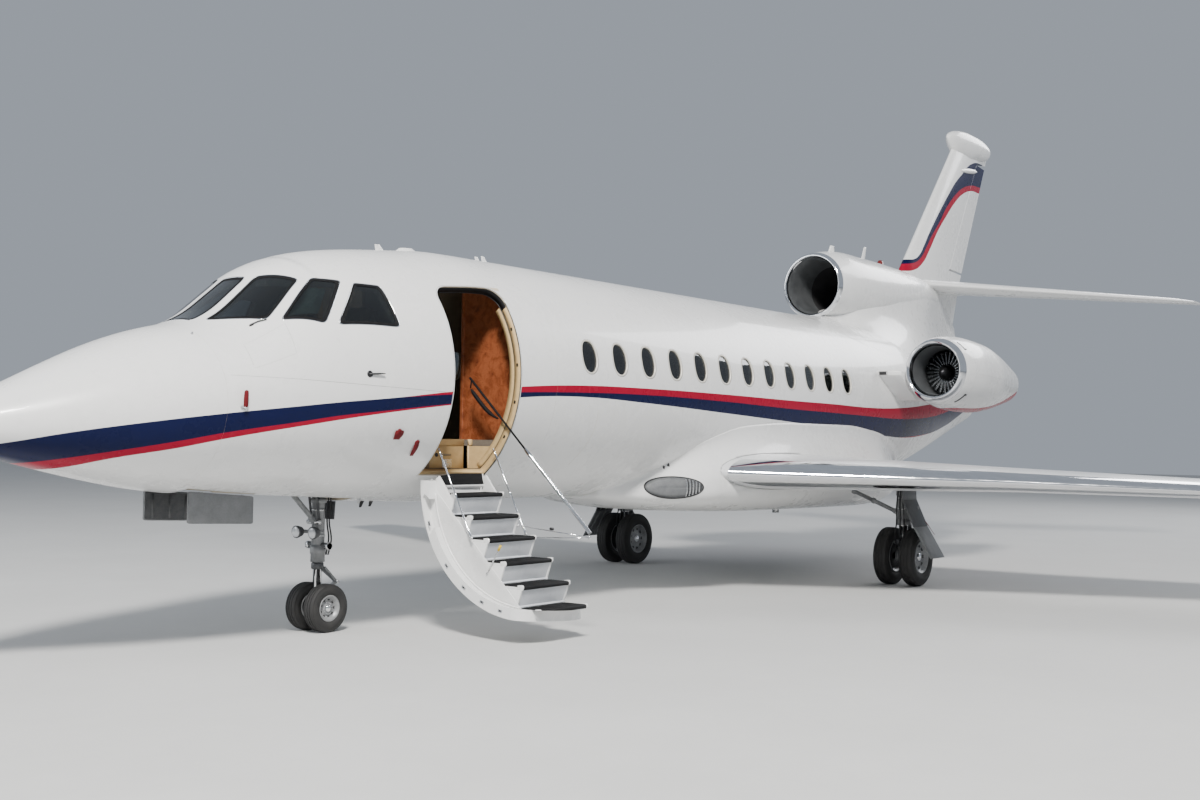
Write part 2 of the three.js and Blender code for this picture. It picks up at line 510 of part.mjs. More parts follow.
duct = duct.subtract(loft([...DUCT_IN.map((r) => ductRing(...r)), ductRing(13200, 450, 4170)]));
const tailRoom = tailplaneWhole(2);
fin = fin.subtract(fuselageAll).subtract(tailRoom);
const finBits = fin.decompose().sort((a, b) => b.volume() - a.volume());
fin = finBits[0];
const finRoom = loft([3400, 4200, 4740, 5500].map((z) => finRing(z).map((p) => [p[0], p[1] + Math.sign(p[1]) * 1.5, p[2]])));
duct = duct.subtract(finRoom).subtract(tailRoom);
duct = duct.decompose().sort((a, b) => b.volume() - a.volume())[0];
node("rear_fuselage", rear, "white");
node("centre_intake_duct", duct, "white");

node("wing", wing, "white");
both("slat", slat, "steel");
both("flap", flap, "white");
both("aileron", aileron, "white");

let tailplane = tailplaneWhole();
const [elevator, elevatorRoom] = controlSurface(tailplane, TAILPLANE, ELEVATOR);
tailplane = tailplane.subtract(elevatorRoom).subtract(mirrored(elevatorRoom));
node("fin", fin, "white");
node("rudder", rudderPart, "white");
node("tailplane", tailplane, "steel");
both("elevator", elevator, "white");

// ---------------------------------------------------------------- engines
both("nacelle", nacelle, "white");
const fanAt = [NACELLE.s + 480, NACELLE.y, nacelleAt(NACELLE.s + 480)];
let fan = turned([[-190, 0], [-165, 38], [-95, 84], [10, 116], [90, 120], [90, 0]], "x", fanAt, 16);
const blades = 12;
for (let i = 0; i < blades; i++) {
  const a = (i * 2 * Math.PI) / blades;
  const at = (r, d, w) => [X(fanAt[0] + d), fanAt[1] + r * Math.cos(a) - w * Math.sin(a), fanAt[2] + r * Math.sin(a) + w * Math.cos(a)];
  const quad = (r, d0, d1, w) => [at(r, d0, -w - 3), at(r, d1, w - 3), at(r, d1, w + 3), at(r, d0, -w + 3)];
  fan = fan.add(loft([quad(100, -20, 80, 14), quad(314, -10, 60, 54)]));
}
node("fan_left", fan, "steel");
node("fan_right", fan.translate([0, -2 * NACELLE.y, 0]), "steel");
both("engine", loft(nacelleBody([[620, 326], [1500, 322], [1850, 288], [1870, 160], [2440, 20]])), "dark");
node("engine_centre", turned([[0, 0], [0, 330], [1950, 350], [1960, 190], [2300, 0]], "x", [16150, 0, 2985], 24), "dark");

// ---------------------------------------------------------------- interior
const floorCut = box(DOOR.front - 60, DOOR.aft + 60, 560, 1300, 1500, 2100).add(box(5080, 5150, 240, 700, 1500, 2100));
const inside = (off) => tube(2080, 12900, [...INNER_STATIONS, 12500], off, INNER_SIDES);
const room = inside(WALL + 6);
let floor = box(2500, 12300, -1300, 1300, 1730, 1790).intersect(room).subtract(floorCut);
node("cabin_floor", floor, "carpet");
const bulkhead = (s0, s1, doorFrom, doorTo, doorTop) =>
  box(s0, s1, -1300, 1300, 1791, 3700).intersect(room).subtract(box(s0 - 50, s1 + 50, doorFrom, doorTo, 1700, doorTop));
node("cockpit_bulkhead", bulkhead(3960, 4000, -300, 300, 3350), "trim");
node("entry_partition", bulkhead(5330, 5370, -290, 290, 3400), "wood");
let panel = prism([[2560, 1791], [2760, 1791], [2760, 2250], [2900, 2330], [2880, 2640], [2600, 2660], [2330, 2560], [2330, 2300], [2560, 2250]], "sz", -760, 760).intersect(room);
node("instrument_panel", panel, "black");
const seatBase = [];
for (const y of [-430, 430]) {
  seatBase.push(box(3260, 3700, y - 230, y + 230, 2080, 2210));
  seatBase.push(prism([[3620, 2150], [3760, 2150], [3860, 2960], [3780, 2990]], "sz", y - 225, y + 225));
  seatBase.push(box(3330, 3640, y - 120, y + 120, 1850, 2100));
}
seatBase.push(box(3300, 3720, -600, 600, 1791, 1860));
node("cockpit_seats", union(seatBase), "leather");

// ---------------------------------------------------------------- nose gear
const nz = NOSE_GEAR.wheel, ns = NOSE_GEAR.s;
node("nose_gear_leg", union([bar([ns, 0, 640], [ns, 0, 1729], 72, 72, 16), box(ns - 130, ns + 130, -110, 110, 1480, 1729), bar([ns - 700, 0, 1640], [ns - 20, 0, 980], 32), bar([ns, -200, 1560], [ns, 200, 1560], 40)]), "grey");

const wheel = (s, y, z, r, w, rim) => {
  const h = w / 2;
  return turned([[-h * 0.62, rim], [-h, rim + (r - rim) * 0.42], [-h * 0.88, rim + (r - rim) * 0.86], [-h * 0.55, r], [h * 0.55, r], [h * 0.88, rim + (r - rim) * 0.86], [h, rim + (r - rim) * 0.42], [h * 0.62, rim], [-h * 0.62, rim]], "y", [s, y, z], 20);
};
node("nose_tyre_left", wheel(ns, NOSE_GEAR.track, nz, nz, NOSE_GEAR.width, 118), "tyre");
node("nose_tyre_right", wheel(ns, -NOSE_GEAR.track, nz, nz, NOSE_GEAR.width, 118), "tyre");
const hubs = (s, y, z, track, half, rim, axle) => {
  // both wheels' hubs on the axle that turns with them
  const w = track - half, v = track + half, u = half * 0.55;
  return turned([[-v, 0], [-v, rim * 0.6], [-track - u, rim - 0.5], [-track + u, rim - 0.5], [-w, rim * 0.6], [-w, axle], [w, axle], [w, rim * 0.6], [track - u, rim - 0.5], [track + u, rim - 0.5], [v, rim * 0.6], [v, 0]], "y", [s, y, z], 20);
};
const boss = (s, y, z, half, outer, bore) => turned([[-half, bore], [-half, outer], [half, outer], [half, bore], [-half, bore]], "y", [s, y, z], 24);
node("nose_gear_fork", union([bar([ns, 0, nz + 40], [ns, 0, 632], 50, 50, 16), boss(ns, 0, nz, 54, 62, 30), bar([ns + 30, 0, 300], [ns + 230, 0, 440], 24), bar([ns + 230, 0, 440], [ns + 50, 0, 590], 24)]), "grey");
node("nose_wheel_hubs", hubs(ns, 0, nz, NOSE_GEAR.track, 62, 118, 28), "grey");
const ND = NOSE_DOOR;
const noseDoor = prism([[ND.front, ND.lowFront], [ND.aft, ND.lowAft], [ND.aft, ND.topAft], [ND.front, ND.topFront]], "sz", ND.y - ND.thick / 2, ND.y + ND.thick / 2);
both("nose_gear_door", noseDoor, "white");

// ---------------------------------------------------------------- main gear
const mz = MAIN_GEAR.wheel, ms = MAIN_GEAR.s, my = MAIN_GEAR.y;
const mainLeg = union([
  bar([ms, my, 780], [ms, my, 1400], 95, 95, 16),
  bar([ms, my, mz + 60], [ms, my, 790], 70, 70, 16),
  boss(ms, my, mz, 76, 88, 46),
  bar([ms, my, 900], [ms, my - 720, 1190], 36),
  bar([ms + 60, my, 430], [ms + 300, my, 600], 26), bar([ms + 300, my, 600], [ms + 70, my, 810], 26),
  prism([[my + 105, 1290], [my + 148, 1290], [my + 160, 1110], [my + 315, 775], [my + 550, 395], [my + 497, 372], [my + 270, 760], [my + 115, 1100]], "yz", ms - 330, ms + 70),
  bar([ms, my, 1000], [ms, my + 200, 1000], 30),
]).subtract(wingRoom);
both("main_gear_leg", mainLeg.decompose().sort((a, b) => b.volume() - a.volume())[0], "grey");
const mHubs = hubs(ms, my, mz, MAIN_GEAR.track, 88, 205, 44);
both("main_wheel_hubs", mHubs, "grey");
for (const [name, d] of [["main_tyre_outer", 1], ["main_tyre_inner", -1]]) both(name, wheel(ms, my + d * MAIN_GEAR.track, mz, mz, MAIN_GEAR.width, 205), "tyre");

// ---------------------------------------------------------------- airstair door, modelled closed and swung open
const swing = (m) => m.translate([0, -HINGE.y, -HINGE.z]).rotate([-OPEN, 0, 0]).translate([0, HINGE.y, HINGE.z]);
// pockets in its inner face clear the stays' pivots
const pocket = (s0, s1) => box(s0, s1, 845, 1095, 1585, 1875).intersect(tube(4000, 5400, NOSE_STATIONS, 15));
const doorShell = doorBlock(DOOR.gap, 0, DOOR.wall, DOOR.low + 0.6).subtract(pocket(4190, 4352)).subtract(pocket(5032, 5200));
node("passenger_door", swing(doorShell), "white");
// stair on the door, drawn in the open position: treads between two side webs
const STAIR = { front: 4360, aft: 5030, web: 22, y: 1150, z: 1290, run: 205, rise: 195, count: 6, depth: 245, thick: 34 };
const openShell = (off, k) => swing(doorBlock(k, 80, off, DOOR.low + 0.6));
// the webs' upper edge follows the undersides of treads and risers
const webSteps = [[860, 1395], [935, 1450], [STAIR.y - 60, STAIR.z - 34]];
for (let i = 0; i < STAIR.count - 1; i++) {
  const y = STAIR.y + i * STAIR.run, z = STAIR.z - i * STAIR.rise;
  webSteps.push([y - 12, z - STAIR.thick], [y - 76, z - STAIR.rise - STAIR.thick]);
}
const webShape = [...webSteps, [STAIR.y + 5 * STAIR.run - 12, STAIR.z - 5 * STAIR.rise - STAIR.thick], [2110, 262], [2140, 235], [1900, 120], [1300, 300], [850, 900]];
const shellRoom = swing(doorBlock(-60, 300, DOOR.wall + 5, DOOR.low - 12));
const stairBits = [];
for (const s of [STAIR.front, STAIR.aft - STAIR.web]) stairBits.push(prism(webShape, "yz", s, s + STAIR.web));
for (let i = 0; i < STAIR.count; i++) {
  const y = STAIR.y + i * STAIR.run, z = STAIR.z - i * STAIR.rise;
  stairBits.push(box(STAIR.front + 4, STAIR.aft - 4, y - STAIR.depth, y, z - STAIR.thick, z));
  stairBits.push(prism([[y - 18, z - 20], [y - 4, z - 20], [y - 70, z - STAIR.rise + 4], [y - 84, z - STAIR.rise + 4]], "yz", STAIR.front + 4, STAIR.aft - 4));
}
stairBits.push(prism([[850, 1470], [870, 1480], [930, 1350], [905, 1345]], "yz", STAIR.front + 4, STAIR.aft - 4));
// the fuselage wall round the doorway, a little thick, where the folded stair meets it
const wallRoom = swing(tube(3900, 5500, NOSE_STATIONS, -8).subtract(tube(3880, 5520, INNER_STATIONS, WALL + 8, INNER_SIDES)).subtract(doorBlock(7, 100, WALL + 100)));
let stair = union(stairBits).subtract(shellRoom).subtract(wallRoom);
stair = stair.decompose().sort((a, b) => b.volume() - a.volume())[0];
node("air_stair", stair, "white");
// two stays from the door frame to the stair, and the telescopic handrail, as [s, y, z]
const STAY = { top: [0, 975, 1700], low: [0, 1400, 905], front: 4310, aft: 5068, r: 8 };
for (const [name, s] of [["door_stay_front", STAY.front], ["door_stay_rear", STAY.aft]])
  node(name, bar([s, STAY.top[1], STAY.top[2]], [s, STAY.low[1], STAY.low[2]], STAY.r, STAY.r, 8), "steel");
const RAIL = { s: 5112, top: [610, 2400], low: [2130, 950], split: 0.52, r: 17, rod: 10 };
const railAt = (t) => [RAIL.s, lerp(RAIL.low[0], RAIL.top[0], t), lerp(RAIL.low[1], RAIL.top[1], t)];
const railTube = bar(railAt(0), railAt(RAIL.split), RAIL.r, RAIL.r, 10).subtract(bar(railAt(0.012), railAt(RAIL.split + 0.02), RAIL.rod + 2.5, RAIL.rod + 2.5, 10));
node("handrail_tube", railTube, "steel");
node("handrail_rod", bar(railAt(RAIL.split - 0.05), railAt(1), RAIL.rod, RAIL.rod, 10), "steel");

export default root;
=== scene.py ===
import math

import bpy
import numpy as np
from mathutils import Matrix, Vector


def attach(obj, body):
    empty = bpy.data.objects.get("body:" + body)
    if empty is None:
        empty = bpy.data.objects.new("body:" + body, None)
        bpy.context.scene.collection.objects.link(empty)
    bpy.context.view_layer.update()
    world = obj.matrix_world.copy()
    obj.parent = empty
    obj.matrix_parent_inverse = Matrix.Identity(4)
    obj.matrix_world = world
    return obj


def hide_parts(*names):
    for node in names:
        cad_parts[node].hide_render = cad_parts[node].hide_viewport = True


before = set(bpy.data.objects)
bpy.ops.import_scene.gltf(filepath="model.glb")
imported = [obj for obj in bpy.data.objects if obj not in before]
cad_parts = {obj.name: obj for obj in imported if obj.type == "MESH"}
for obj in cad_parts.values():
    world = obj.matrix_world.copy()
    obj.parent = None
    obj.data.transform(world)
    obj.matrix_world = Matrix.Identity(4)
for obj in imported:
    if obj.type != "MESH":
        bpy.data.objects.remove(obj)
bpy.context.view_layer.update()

RNG = np.random.default_rng(7)
MM = 0.001
LENGTH = 20210.0
NOSE_X = LENGTH / 2
RADIUS, WALL, REAR_WALL = 1250.0, 80.0, 40.0
SPLIT_NOSE, SPLIT_CABIN, SPLIT_REAR, TAIL_END, GAP = 2000.0, 5700.0, 12500.0, 18700.0, 3.0
SEAM = 0.4  # half the joint that shows between two body sections

OUTLINE = [
    # s, top, bottom, half, mid
    [0, 1822, 1798, 12, 1810], [30, 1866, 1766, 60, 1812], [100, 1922, 1724, 122, 1816], [300, 2022, 1656, 238, 1830],
    [600, 2150, 1592, 388, 1858], [1000, 2345, 1495, 572, 1900], [1400, 2528, 1408, 722, 1950], [1800, 2665, 1338, 846, 2012],
    [2050, 2725, 1312, 915, 2058], [2300, 2835, 1290, 970, 2104], [2600, 3072, 1268, 1032, 2160], [2900, 3308, 1250, 1084, 2212],
    [3300, 3458, 1230, 1140, 2272], [3800, 3549, 1206, 1190, 2330], [4400, 3615, 1183, 1232, 2384], [5000, 3664, 1164, 1250, 2414],
    [5700, 3664, 1164, 1250, 2414], [12500, 3664, 1164, 1250, 2414], [13300, 3664, 1182, 1242, 2423], [14200, 3660, 1245, 1215, 2453],
    [15200, 3646, 1405, 1125, 2530], [16200, 3622, 1625, 968, 2640], [17200, 3590, 1862, 768, 2760], [18100, 3556, 2082, 580, 2862],
    [18700, 3530, 2225, 470, 2935],
]
PANES = {
    "windshield_left": [[2215, 71], [2745, 75.5], [2925, 57], [2520, 46.5]],
    "side_window_left": [[2625, 41], [3040, 54.2], [3262, 48.6], [2935, 29.5]],
    "rear_side_window_left": [[3068, 27.2], [3390, 45.8], [3630, 42.8], [3668, 22.5]],
}
CENTRE_PANE = [[2150, 101.5], [2715, 98], [2715, 82], [2150, 78.5]]
WINDOW = dict(first=6250, pitch=522, count=12, z=2660, height=355, width=262)
DOOR = dict(front=4250, aft=5145, low=-51, high=42.5, corner=170, wall=100, gap=8)
HINGE = dict(y=781, z=1432)
OPEN = 129
WING = [[0, 8750, 12800, 1440, 470], [1300, 8750, 12800, 1440, 470], [4000, 10250, 12970, 1392, 300], [6800, 11525, 13454, 1318, 202],
        [9500, 12755, 13921, 1262, 108], [9665, 12960, 13950, 1258, 44]]
SLAT = dict(a=1335, b=9400, chord=0.085)
FLAP = dict(a=1560, b=6350, chord=0.74)
AILERON = dict(a=6420, b=8980, chord=0.76)
FIN = [[3500, 15900, 18350, 150], [4740, 16320, 18820, 150], [5500, 16995, 19210, 128], [6820, 18170, 19890, 100], [7260, 18560, 20117, 90]]
RUDDER = dict(a=4960, b=7040, chord=0.7)
TAILPLANE = [[0, 16700, 18960, 4560, 230], [250, 16880, 19010, 4545, 215], [3600, 19250, 20110, 4318, 90], [3870, 19520, 20190, 4300, 34]]
ELEVATOR = dict(a=330, b=3560, chord=0.7)
NACELLE = dict(y=1950, z=2865, s=13180, dz=-0.04)
NACELLE_OUT = [[0, 394], [25, 424], [120, 460], [350, 502], [750, 531], [1250, 520], [1700, 460], [2050, 394], [2350, 332], [2570, 285]]
NACELLE_IN = [[2570, 267], [2150, 312], [1500, 345], [900, 352], [470, 338], [250, 330], [60, 356]]
DUCT_OUT = [[13230, 455, 4170], [13255, 482, 4172], [13400, 505, 4180], [13900, 545, 4200], [14600, 560, 4180], [15300, 540, 4190],
            [16000, 480, 4230], [16700, 380, 4290], [17300, 270, 4330]]
DUCT_IN = [[13200, 450, 4170], [13280, 425, 4170], [13400, 402, 4170], [13700, 385, 4165], [14300, 330, 4140], [15000, 250, 4120]]
BELLY = [[7450, 420, 1150, 1300], [8000, 900, 1040, 1560], [8750, 1290, 968, 1850], [10250, 1400, 922, 1900], [12900, 1390, 905, 1880],
         [13600, 1180, 935, 1800], [14500, 700, 1000, 1640], [15100, 260, 1200, 1600]]
NOSE_GEAR = dict(s=3741, wheel=222.5, width=146, track=125)
MAIN_GEAR = dict(s=11641, y=2225, wheel=368.5, width=196, track=175)


# ------------------------------------------------------------------ curves and sections
def X(s):
    return NOSE_X - s


def rad(d):
    return d * math.pi / 180


def lerp(a, b, t):
    return a + (b - a) * t


class Curve:
    """Monotone cubic through a table's rows; column c at key k, over a key that may be warped first."""

    def __init__(self, table, warp=None):
        t = np.array(table, float)
        self.warp = warp or (lambda k: k)
        self.k = self.warp(t[:, 0])
        self.v = t
        self.m = np.array([self.slopes(self.k, t[:, c]) for c in range(t.shape[1])]).T

    @staticmethod
    def slopes(k, v):
        h, n = np.diff(k), len(k)
        d = np.diff(v) / h
        m = np.zeros(n)
        if n == 2:
            return np.array([d[0], d[0]])
        for j in range(1, n - 1):
            if d[j - 1] * d[j] > 0:
                w1, w2 = 2 * h[j] + h[j - 1], h[j] + 2 * h[j - 1]
                m[j] = (w1 + w2) / (w1 / d[j - 1] + w2 / d[j])

        def edge(h0, h1, d0, d1):
            e = ((2 * h0 + h1) * d0 - h0 * d1) / (h0 + h1)
            if np.sign(e) != np.sign(d0):
                return 0.0
            return 3 * d0 if np.sign(d0) != np.sign(d1) and abs(e) > 3 * abs(d0) else e

        m[0], m[-1] = edge(h[0], h[1], d[0], d[1]), edge(h[-1], h[-2], d[-1], d[-2])
        return m

    def __call__(self, key, c):
        q = np.clip(self.warp(np.asarray(key, float)), self.k[0], self.k[-1])
        i = np.clip(np.searchsorted(self.k, q, side="right") - 1, 0, len(self.k) - 2)
        H = self.k[i + 1] - self.k[i]
        t = (q - self.k[i]) / H
        p0, p1 = self.v[i, c], self.v[i + 1, c]
        m0, m1 = self.m[i, c] * H, self.m[i + 1, c] * H
        return (2 * t**3 - 3 * t**2 + 1) * p0 + (t**3 - 2 * t**2 + t) * m0 + (3 * t**2 - 2 * t**3) * p1 + (t**3 - t**2) * m1


def table_line(table, k, c):
    """Straight-line value of column c at key k, carried on past the ends."""
    i = 0
    while i < len(table) - 2 and table[i + 1][0] < k:
        i += 1
    t = (k - table[i][0]) / (table[i + 1][0] - table[i][0])
    return lerp(table[i][c], table[i + 1][c], t)


# fuselage outline on a dense grid, its curvature evened out, sharper near the nose and the windshield's foot
_dense = np.arange(0, TAIL_END + 5, 5.0)
_raw = Curve(OUTLINE, warp=np.sqrt)
_cols = {}
for _c in (1, 2, 3, 4):
    _v = _raw(_dense, _c)
    _sigma = np.clip(0.22 * _dense, 0.0, 110.0)
    _sigma = np.where((_dense > 1900) & (_dense < 3100) & (_c == 1), 55.0, _sigma)
    _sigma = np.minimum(_sigma, np.maximum((TAIL_END - _dense) * 0.3, 0.0))
    # a bell-weighted average
    _acc, _wsum = np.zeros_like(_v), np.zeros_like(_v)
    for _q in np.linspace(-2.5, 2.5, 21):
        _w = math.exp(-_q * _q / 2)
        _acc += _w * np.interp(_dense + _q * _sigma, _dense, _v)
        _wsum += _w
    _cols[_c] = _acc / _wsum
_slopes = {c: np.gradient(v, _dense) for c, v in _cols.items()}


def outline(s, c):
    return np.interp(s, _dense, _cols[c])


def skin(s, deg, off=0.0):
    """Points on the fuselage surface, off mm inside it."""
    s, a = np.broadcast_arrays(np.asarray(s, float), np.radians(np.asarray(deg, float)))
    top, bottom, half, mid = (outline(s, c) for c in (1, 2, 3, 4))
    half = np.maximum(half - off, 2)
    h = np.maximum(np.where(np.sin(a) > 0, top - mid, mid - bottom) - off, 2)
    return np.stack([X(s), half * np.cos(a), mid + h * np.sin(a)], -1)


def skin_normal(p):
    """Outward normal of the fuselage's surface family at points p, in millimetres."""
    s, y, z = NOSE_X - p[:, 0], p[:, 1], p[:, 2]
    top, bottom, half, mid = (outline(s, c) for c in (1, 2, 3, 4))
    dt, db, dh, dm = (np.interp(s, _dense, _slopes[c]) for c in (1, 2, 3, 4))
    up = z > mid
    h = np.where(up, top - mid, mid - bottom)
    dH = np.where(up, dt - dm, dm - db)
    fs = -2 * y**2 / half**3 * dh - 2 * (z - mid) / h**2 * dm - 2 * (z - mid) ** 2 / h**3 * dH
    n = np.stack([-fs, 2 * y / half**2, 2 * (z - mid) / h**2], -1)
    return n / np.linalg.norm(n, axis=1)[:, None]


def skin_depth(p):
    """How far inside the surface points p lie, near it, in millimetres."""
    s, y, z = NOSE_X - p[:, 0], p[:, 1], p[:, 2]
    top, bottom, half, mid = (outline(s, c) for c in (1, 2, 3, 4))
    h = np.where(z > mid, top - mid, mid - bottom)
    r = np.sqrt((y / half) ** 2 + ((z - mid) / h) ** 2)
    return (1 - r) * np.sqrt(y**2 + (z - mid) ** 2) / np.maximum(r, 1e-6)


def angle_at(s, z, side=1):
    """Angle on the skin where it has height z."""
    top, bottom, mid = outline(s, 1), outline(s, 2), outline(s, 4)
    h = np.where(z > mid, top - mid, mid - bottom)
    a = np.degrees(np.arcsin(np.clip((z - mid) / h, -1, 1)))
    return a if side > 0 else 180 - a


# ------------------------------------------------------------------ meshes
def make(name, verts, faces, mat=None, scale=MM):
    me = bpy.data.meshes.new(name)
    me.from_pydata((np.asarray(verts, float) * scale).tolist(), [], [tuple(int(i) for i in f) for f in faces])
    me.update()
    ob = bpy.data.objects.new(name, me)
    bpy.context.scene.collection.objects.link(ob)
    if mat is not None:
        for m in mat if isinstance(mat, (list, tuple)) else [mat]:
            me.materials.append(m)
    return ob


def volume(verts, faces):
    v = np.asarray(verts, float)
    t = 0.0
    for f in faces:
        a = v[f[0]]
        for i in range(1, len(f) - 1):
            t += np.dot(a, np.cross(v[f[i]], v[f[i + 1]]))
    return t / 6


def loft_data(rings, closed=False, caps=True):
    """Vertices and faces of a body through rings of points, the same count in each."""
    r = np.asarray(rings, float)
    m, n = r.shape[:2]
    v = r.reshape(-1, 3)
    i, j = np.meshgrid(np.arange(m if closed else m - 1), np.arange(n), indexing="ij")
    a, b = i * n + j, i * n + (j + 1) % n
    i2 = (i + 1) % m
    c, d = i2 * n + (j + 1) % n, i2 * n + j
    faces = [tuple(q) for q in np.stack([a, b, c, d], -1).reshape(-1, 4)]
    if not closed and caps:
        extra = [r[0].mean(0), r[-1].mean(0)]
        v = np.vstack([v, extra])
        c0, c1 = len(v) - 2, len(v) - 1
        for k in range(n):
            faces.append(((k + 1) % n, k, c0))
            faces.append(((m - 1) * n + k, (m - 1) * n + (k + 1) % n, c1))
    if (closed or caps) and volume(v[:: 1], faces[: ] if len(faces) < 4000 else faces[:: 1]) < 0:
        faces = [f[::-1] for f in faces]
    return v, faces


def loft(name, rings, mat=None, closed=False, caps=True):
    v, f = loft_data(rings, closed, caps)
    return make(name, v, f, mat)


def carve(ob, others, op="DIFFERENCE", keep=False):
    """Cuts ob by others, joins it with them or keeps what they share, and applies it."""
    others = others if isinstance(others, (list, tuple)) else [others]
    for o in others:
        m = ob.modifiers.new("cut", "BOOLEAN")
        m.operation, m.object, m.solver = op, o, "MANIFOLD"
    bpy.context.view_layer.update()
    dg = bpy.context.evaluated_depsgraph_get()
    new = bpy.data.meshes.new_from_object(ob.evaluated_get(dg))
    old, name = ob.data, ob.data.name
    ob.modifiers.clear()
    ob.data = new
    bpy.data.meshes.remove(old)
    new.name = name
    if not keep:
        for o in others:
            drop(o)
    return ob


def paint(ob, *mats):
    ob.data.materials.clear()
    for m in mats:
        ob.data.materials.append(M[m])
    return ob


def drop(o):
    me = o.data
    bpy.data.objects.remove(o)
    if me.users == 0:
        bpy.data.meshes.remove(me)


def clone(ob, name, mirror=False):
    o = ob.copy()
    o.data = ob.data.copy()
    o.name = name
    bpy.context.scene.collection.objects.link(o)
    if mirror:
        flip(o.data)
    return o


def flip(me):
    """Mirrors a mesh to the other side, faces turned to match."""
    co = np.zeros(len(me.vertices) * 3)
    me.vertices.foreach_get("co", co)
    co = co.reshape(-1, 3)
    co[:, 1] *= -1
    me.vertices.foreach_set("co", co.ravel())
    me.flip_normals()
    me.update()


def join(obs, name):
    """One object from several meshes, materials kept."""
    mats, verts, faces, index, smooth, base = [], [], [], [], [], 0
    for o in obs:
        me = o.data
        co = np.zeros(len(me.vertices) * 3)
        me.vertices.foreach_get("co", co)
        co = co.reshape(-1, 3)
        w = np.array(o.matrix_world)
        co = co @ w[:3, :3].T + w[:3, 3]
        table = []
        for m in me.materials or [None]:
            if m not in mats:
                mats.append(m)
            table.append(mats.index(m))
        for p in me.polygons:
            faces.append(tuple(v + base for v in p.vertices))
            index.append(table[min(p.material_index, len(table) - 1)])
            smooth.append(p.use_smooth)
        verts.append(co)
        base += len(co)
        drop(o)
    ob = make(name, np.vstack(verts), faces, [m for m in mats if m is not None], scale=1.0)
    ob.data.polygons.foreach_set("material_index", index)
    ob.data.polygons.foreach_set("use_smooth", smooth)
    ob.data.update()
    return ob


def smooth(ob, angle=28):
    me = ob.data
    me.polygons.foreach_set("use_smooth", [True] * len(me.polygons))
    me.set_sharp_from_angle(angle=rad(angle))
    me.update()
    return ob


def skin_shade(ob, offs=(0.0,), angle=28, outer=0, inner=None, tol=1.2):
    """Gives the faces that lie on the fuselage's surface its true normals, and the other faces the inner material."""
    smooth(ob, angle)
    me = ob.data
    n, nl = len(me.vertices), len(me.loops)
    co = np.zeros(n * 3)
    me.vertices.foreach_get("co", co)
    p = co.reshape(-1, 3) / MM
    depth, normal = skin_depth(p), skin_normal(p)
    on = np.zeros(n, bool)
    for o in offs:
        on |= np.abs(depth - o) < tol
    lv = np.zeros(nl, int)
    me.loops.foreach_get("vertex_index", lv)
    ln = np.array([c.vector[:] for c in me.corner_normals])
    fn = np.zeros(len(me.polygons) * 3)
    me.polygons.foreach_get("normal", fn)
    fn = fn.reshape(-1, 3)
    start, total = np.zeros(len(me.polygons), int), np.zeros(len(me.polygons), int)
    me.polygons.foreach_get("loop_start", start)
    me.polygons.foreach_get("loop_total", total)
    index = []
    for k in range(len(start)):
        loops = np.arange(start[k], start[k] + total[k])
        vs = lv[loops]
        side = float(np.dot(fn[k], normal[vs].mean(0)))
        if on[vs].all() and abs(side) > 0.8:
            ln[loops] = normal[vs] * np.sign(side)
            index.append(outer if side > 0 and (depth[vs] < tol).all() else (outer if inner is None else inner))
        else:
            index.append(outer if inner is None else inner)
    me.polygons.foreach_set("material_index", index)
    me.normals_split_custom_set(ln.tolist())
    me.update()
    return ob


def rounded(corners, share=0.16, steps=8):
    out = []
    for i, c in enumerate(corners):
        p, n = corners[i - 1], corners[(i + 1) % len(corners)]
        before = [lerp(c[0], p[0], share), lerp(c[1], p[1], share)]
        after = [lerp(c[0], n[0], share), lerp(c[1], n[1], share)]
        for k in range(steps + 1):
            t = k / steps
            a, b, d = (1 - t) ** 2, 2 * t * (1 - t), t * t
            out.append([a * before[0] + b * c[0] + d * after[0], a * before[1] + b * c[1] + d * after[1]])
    return out


def grow(corners, d):
    """Quadrilateral of (s, angle) corners with each edge moved out by d mm."""
    if not d:
        return corners
    pts = [[s, rad(a) * RADIUS * 0.85] for s, a in corners]
    n = len(pts)
    area = sum(p[0] * pts[(i + 1) % n][1] - pts[(i + 1) % n][0] * p[1] for i, p in enumerate(pts))
    edges = []
    for i, p in enumerate(pts):
        q = pts[(i + 1) % n]
        l = math.hypot(q[0] - p[0], q[1] - p[1]) * (1 if area > 0 else -1)
        nx, ny = (q[1] - p[1]) / l, -(q[0] - p[0]) / l
        edges.append([p[0] + nx * d, p[1] + ny * d, q[0] - p[0], q[1] - p[1]])
    out = []
    for i, e in enumerate(edges):
        f = edges[i - 1]
        t = ((e[0] - f[0]) * e[3] - (e[1] - f[1]) * e[2]) / (f[2] * e[3] - f[3] * e[2])
        out.append([f[0] + f[2] * t, math.degrees((f[1] + f[3] * t) / RADIUS / 0.85)])
    return out


def densify(pts, n=4):
    out = []
    for i, p in enumerate(pts):
        q = pts[(i + 1) % len(pts)]
        for k in range(n):
            out.append([lerp(p[0], q[0], k / n), lerp(p[1], q[1], k / n)])
    return out


def patch(name, pts, out, deep, mat=None):
    """Block of the skin bounded by an outline of (s, angle) points, from out mm outside to deep mm inside."""
    p = np.array(pts, float)
    return loft(name, [skin(p[:, 0], p[:, 1], -out), skin(p[:, 0], p[:, 1], deep)], mat)


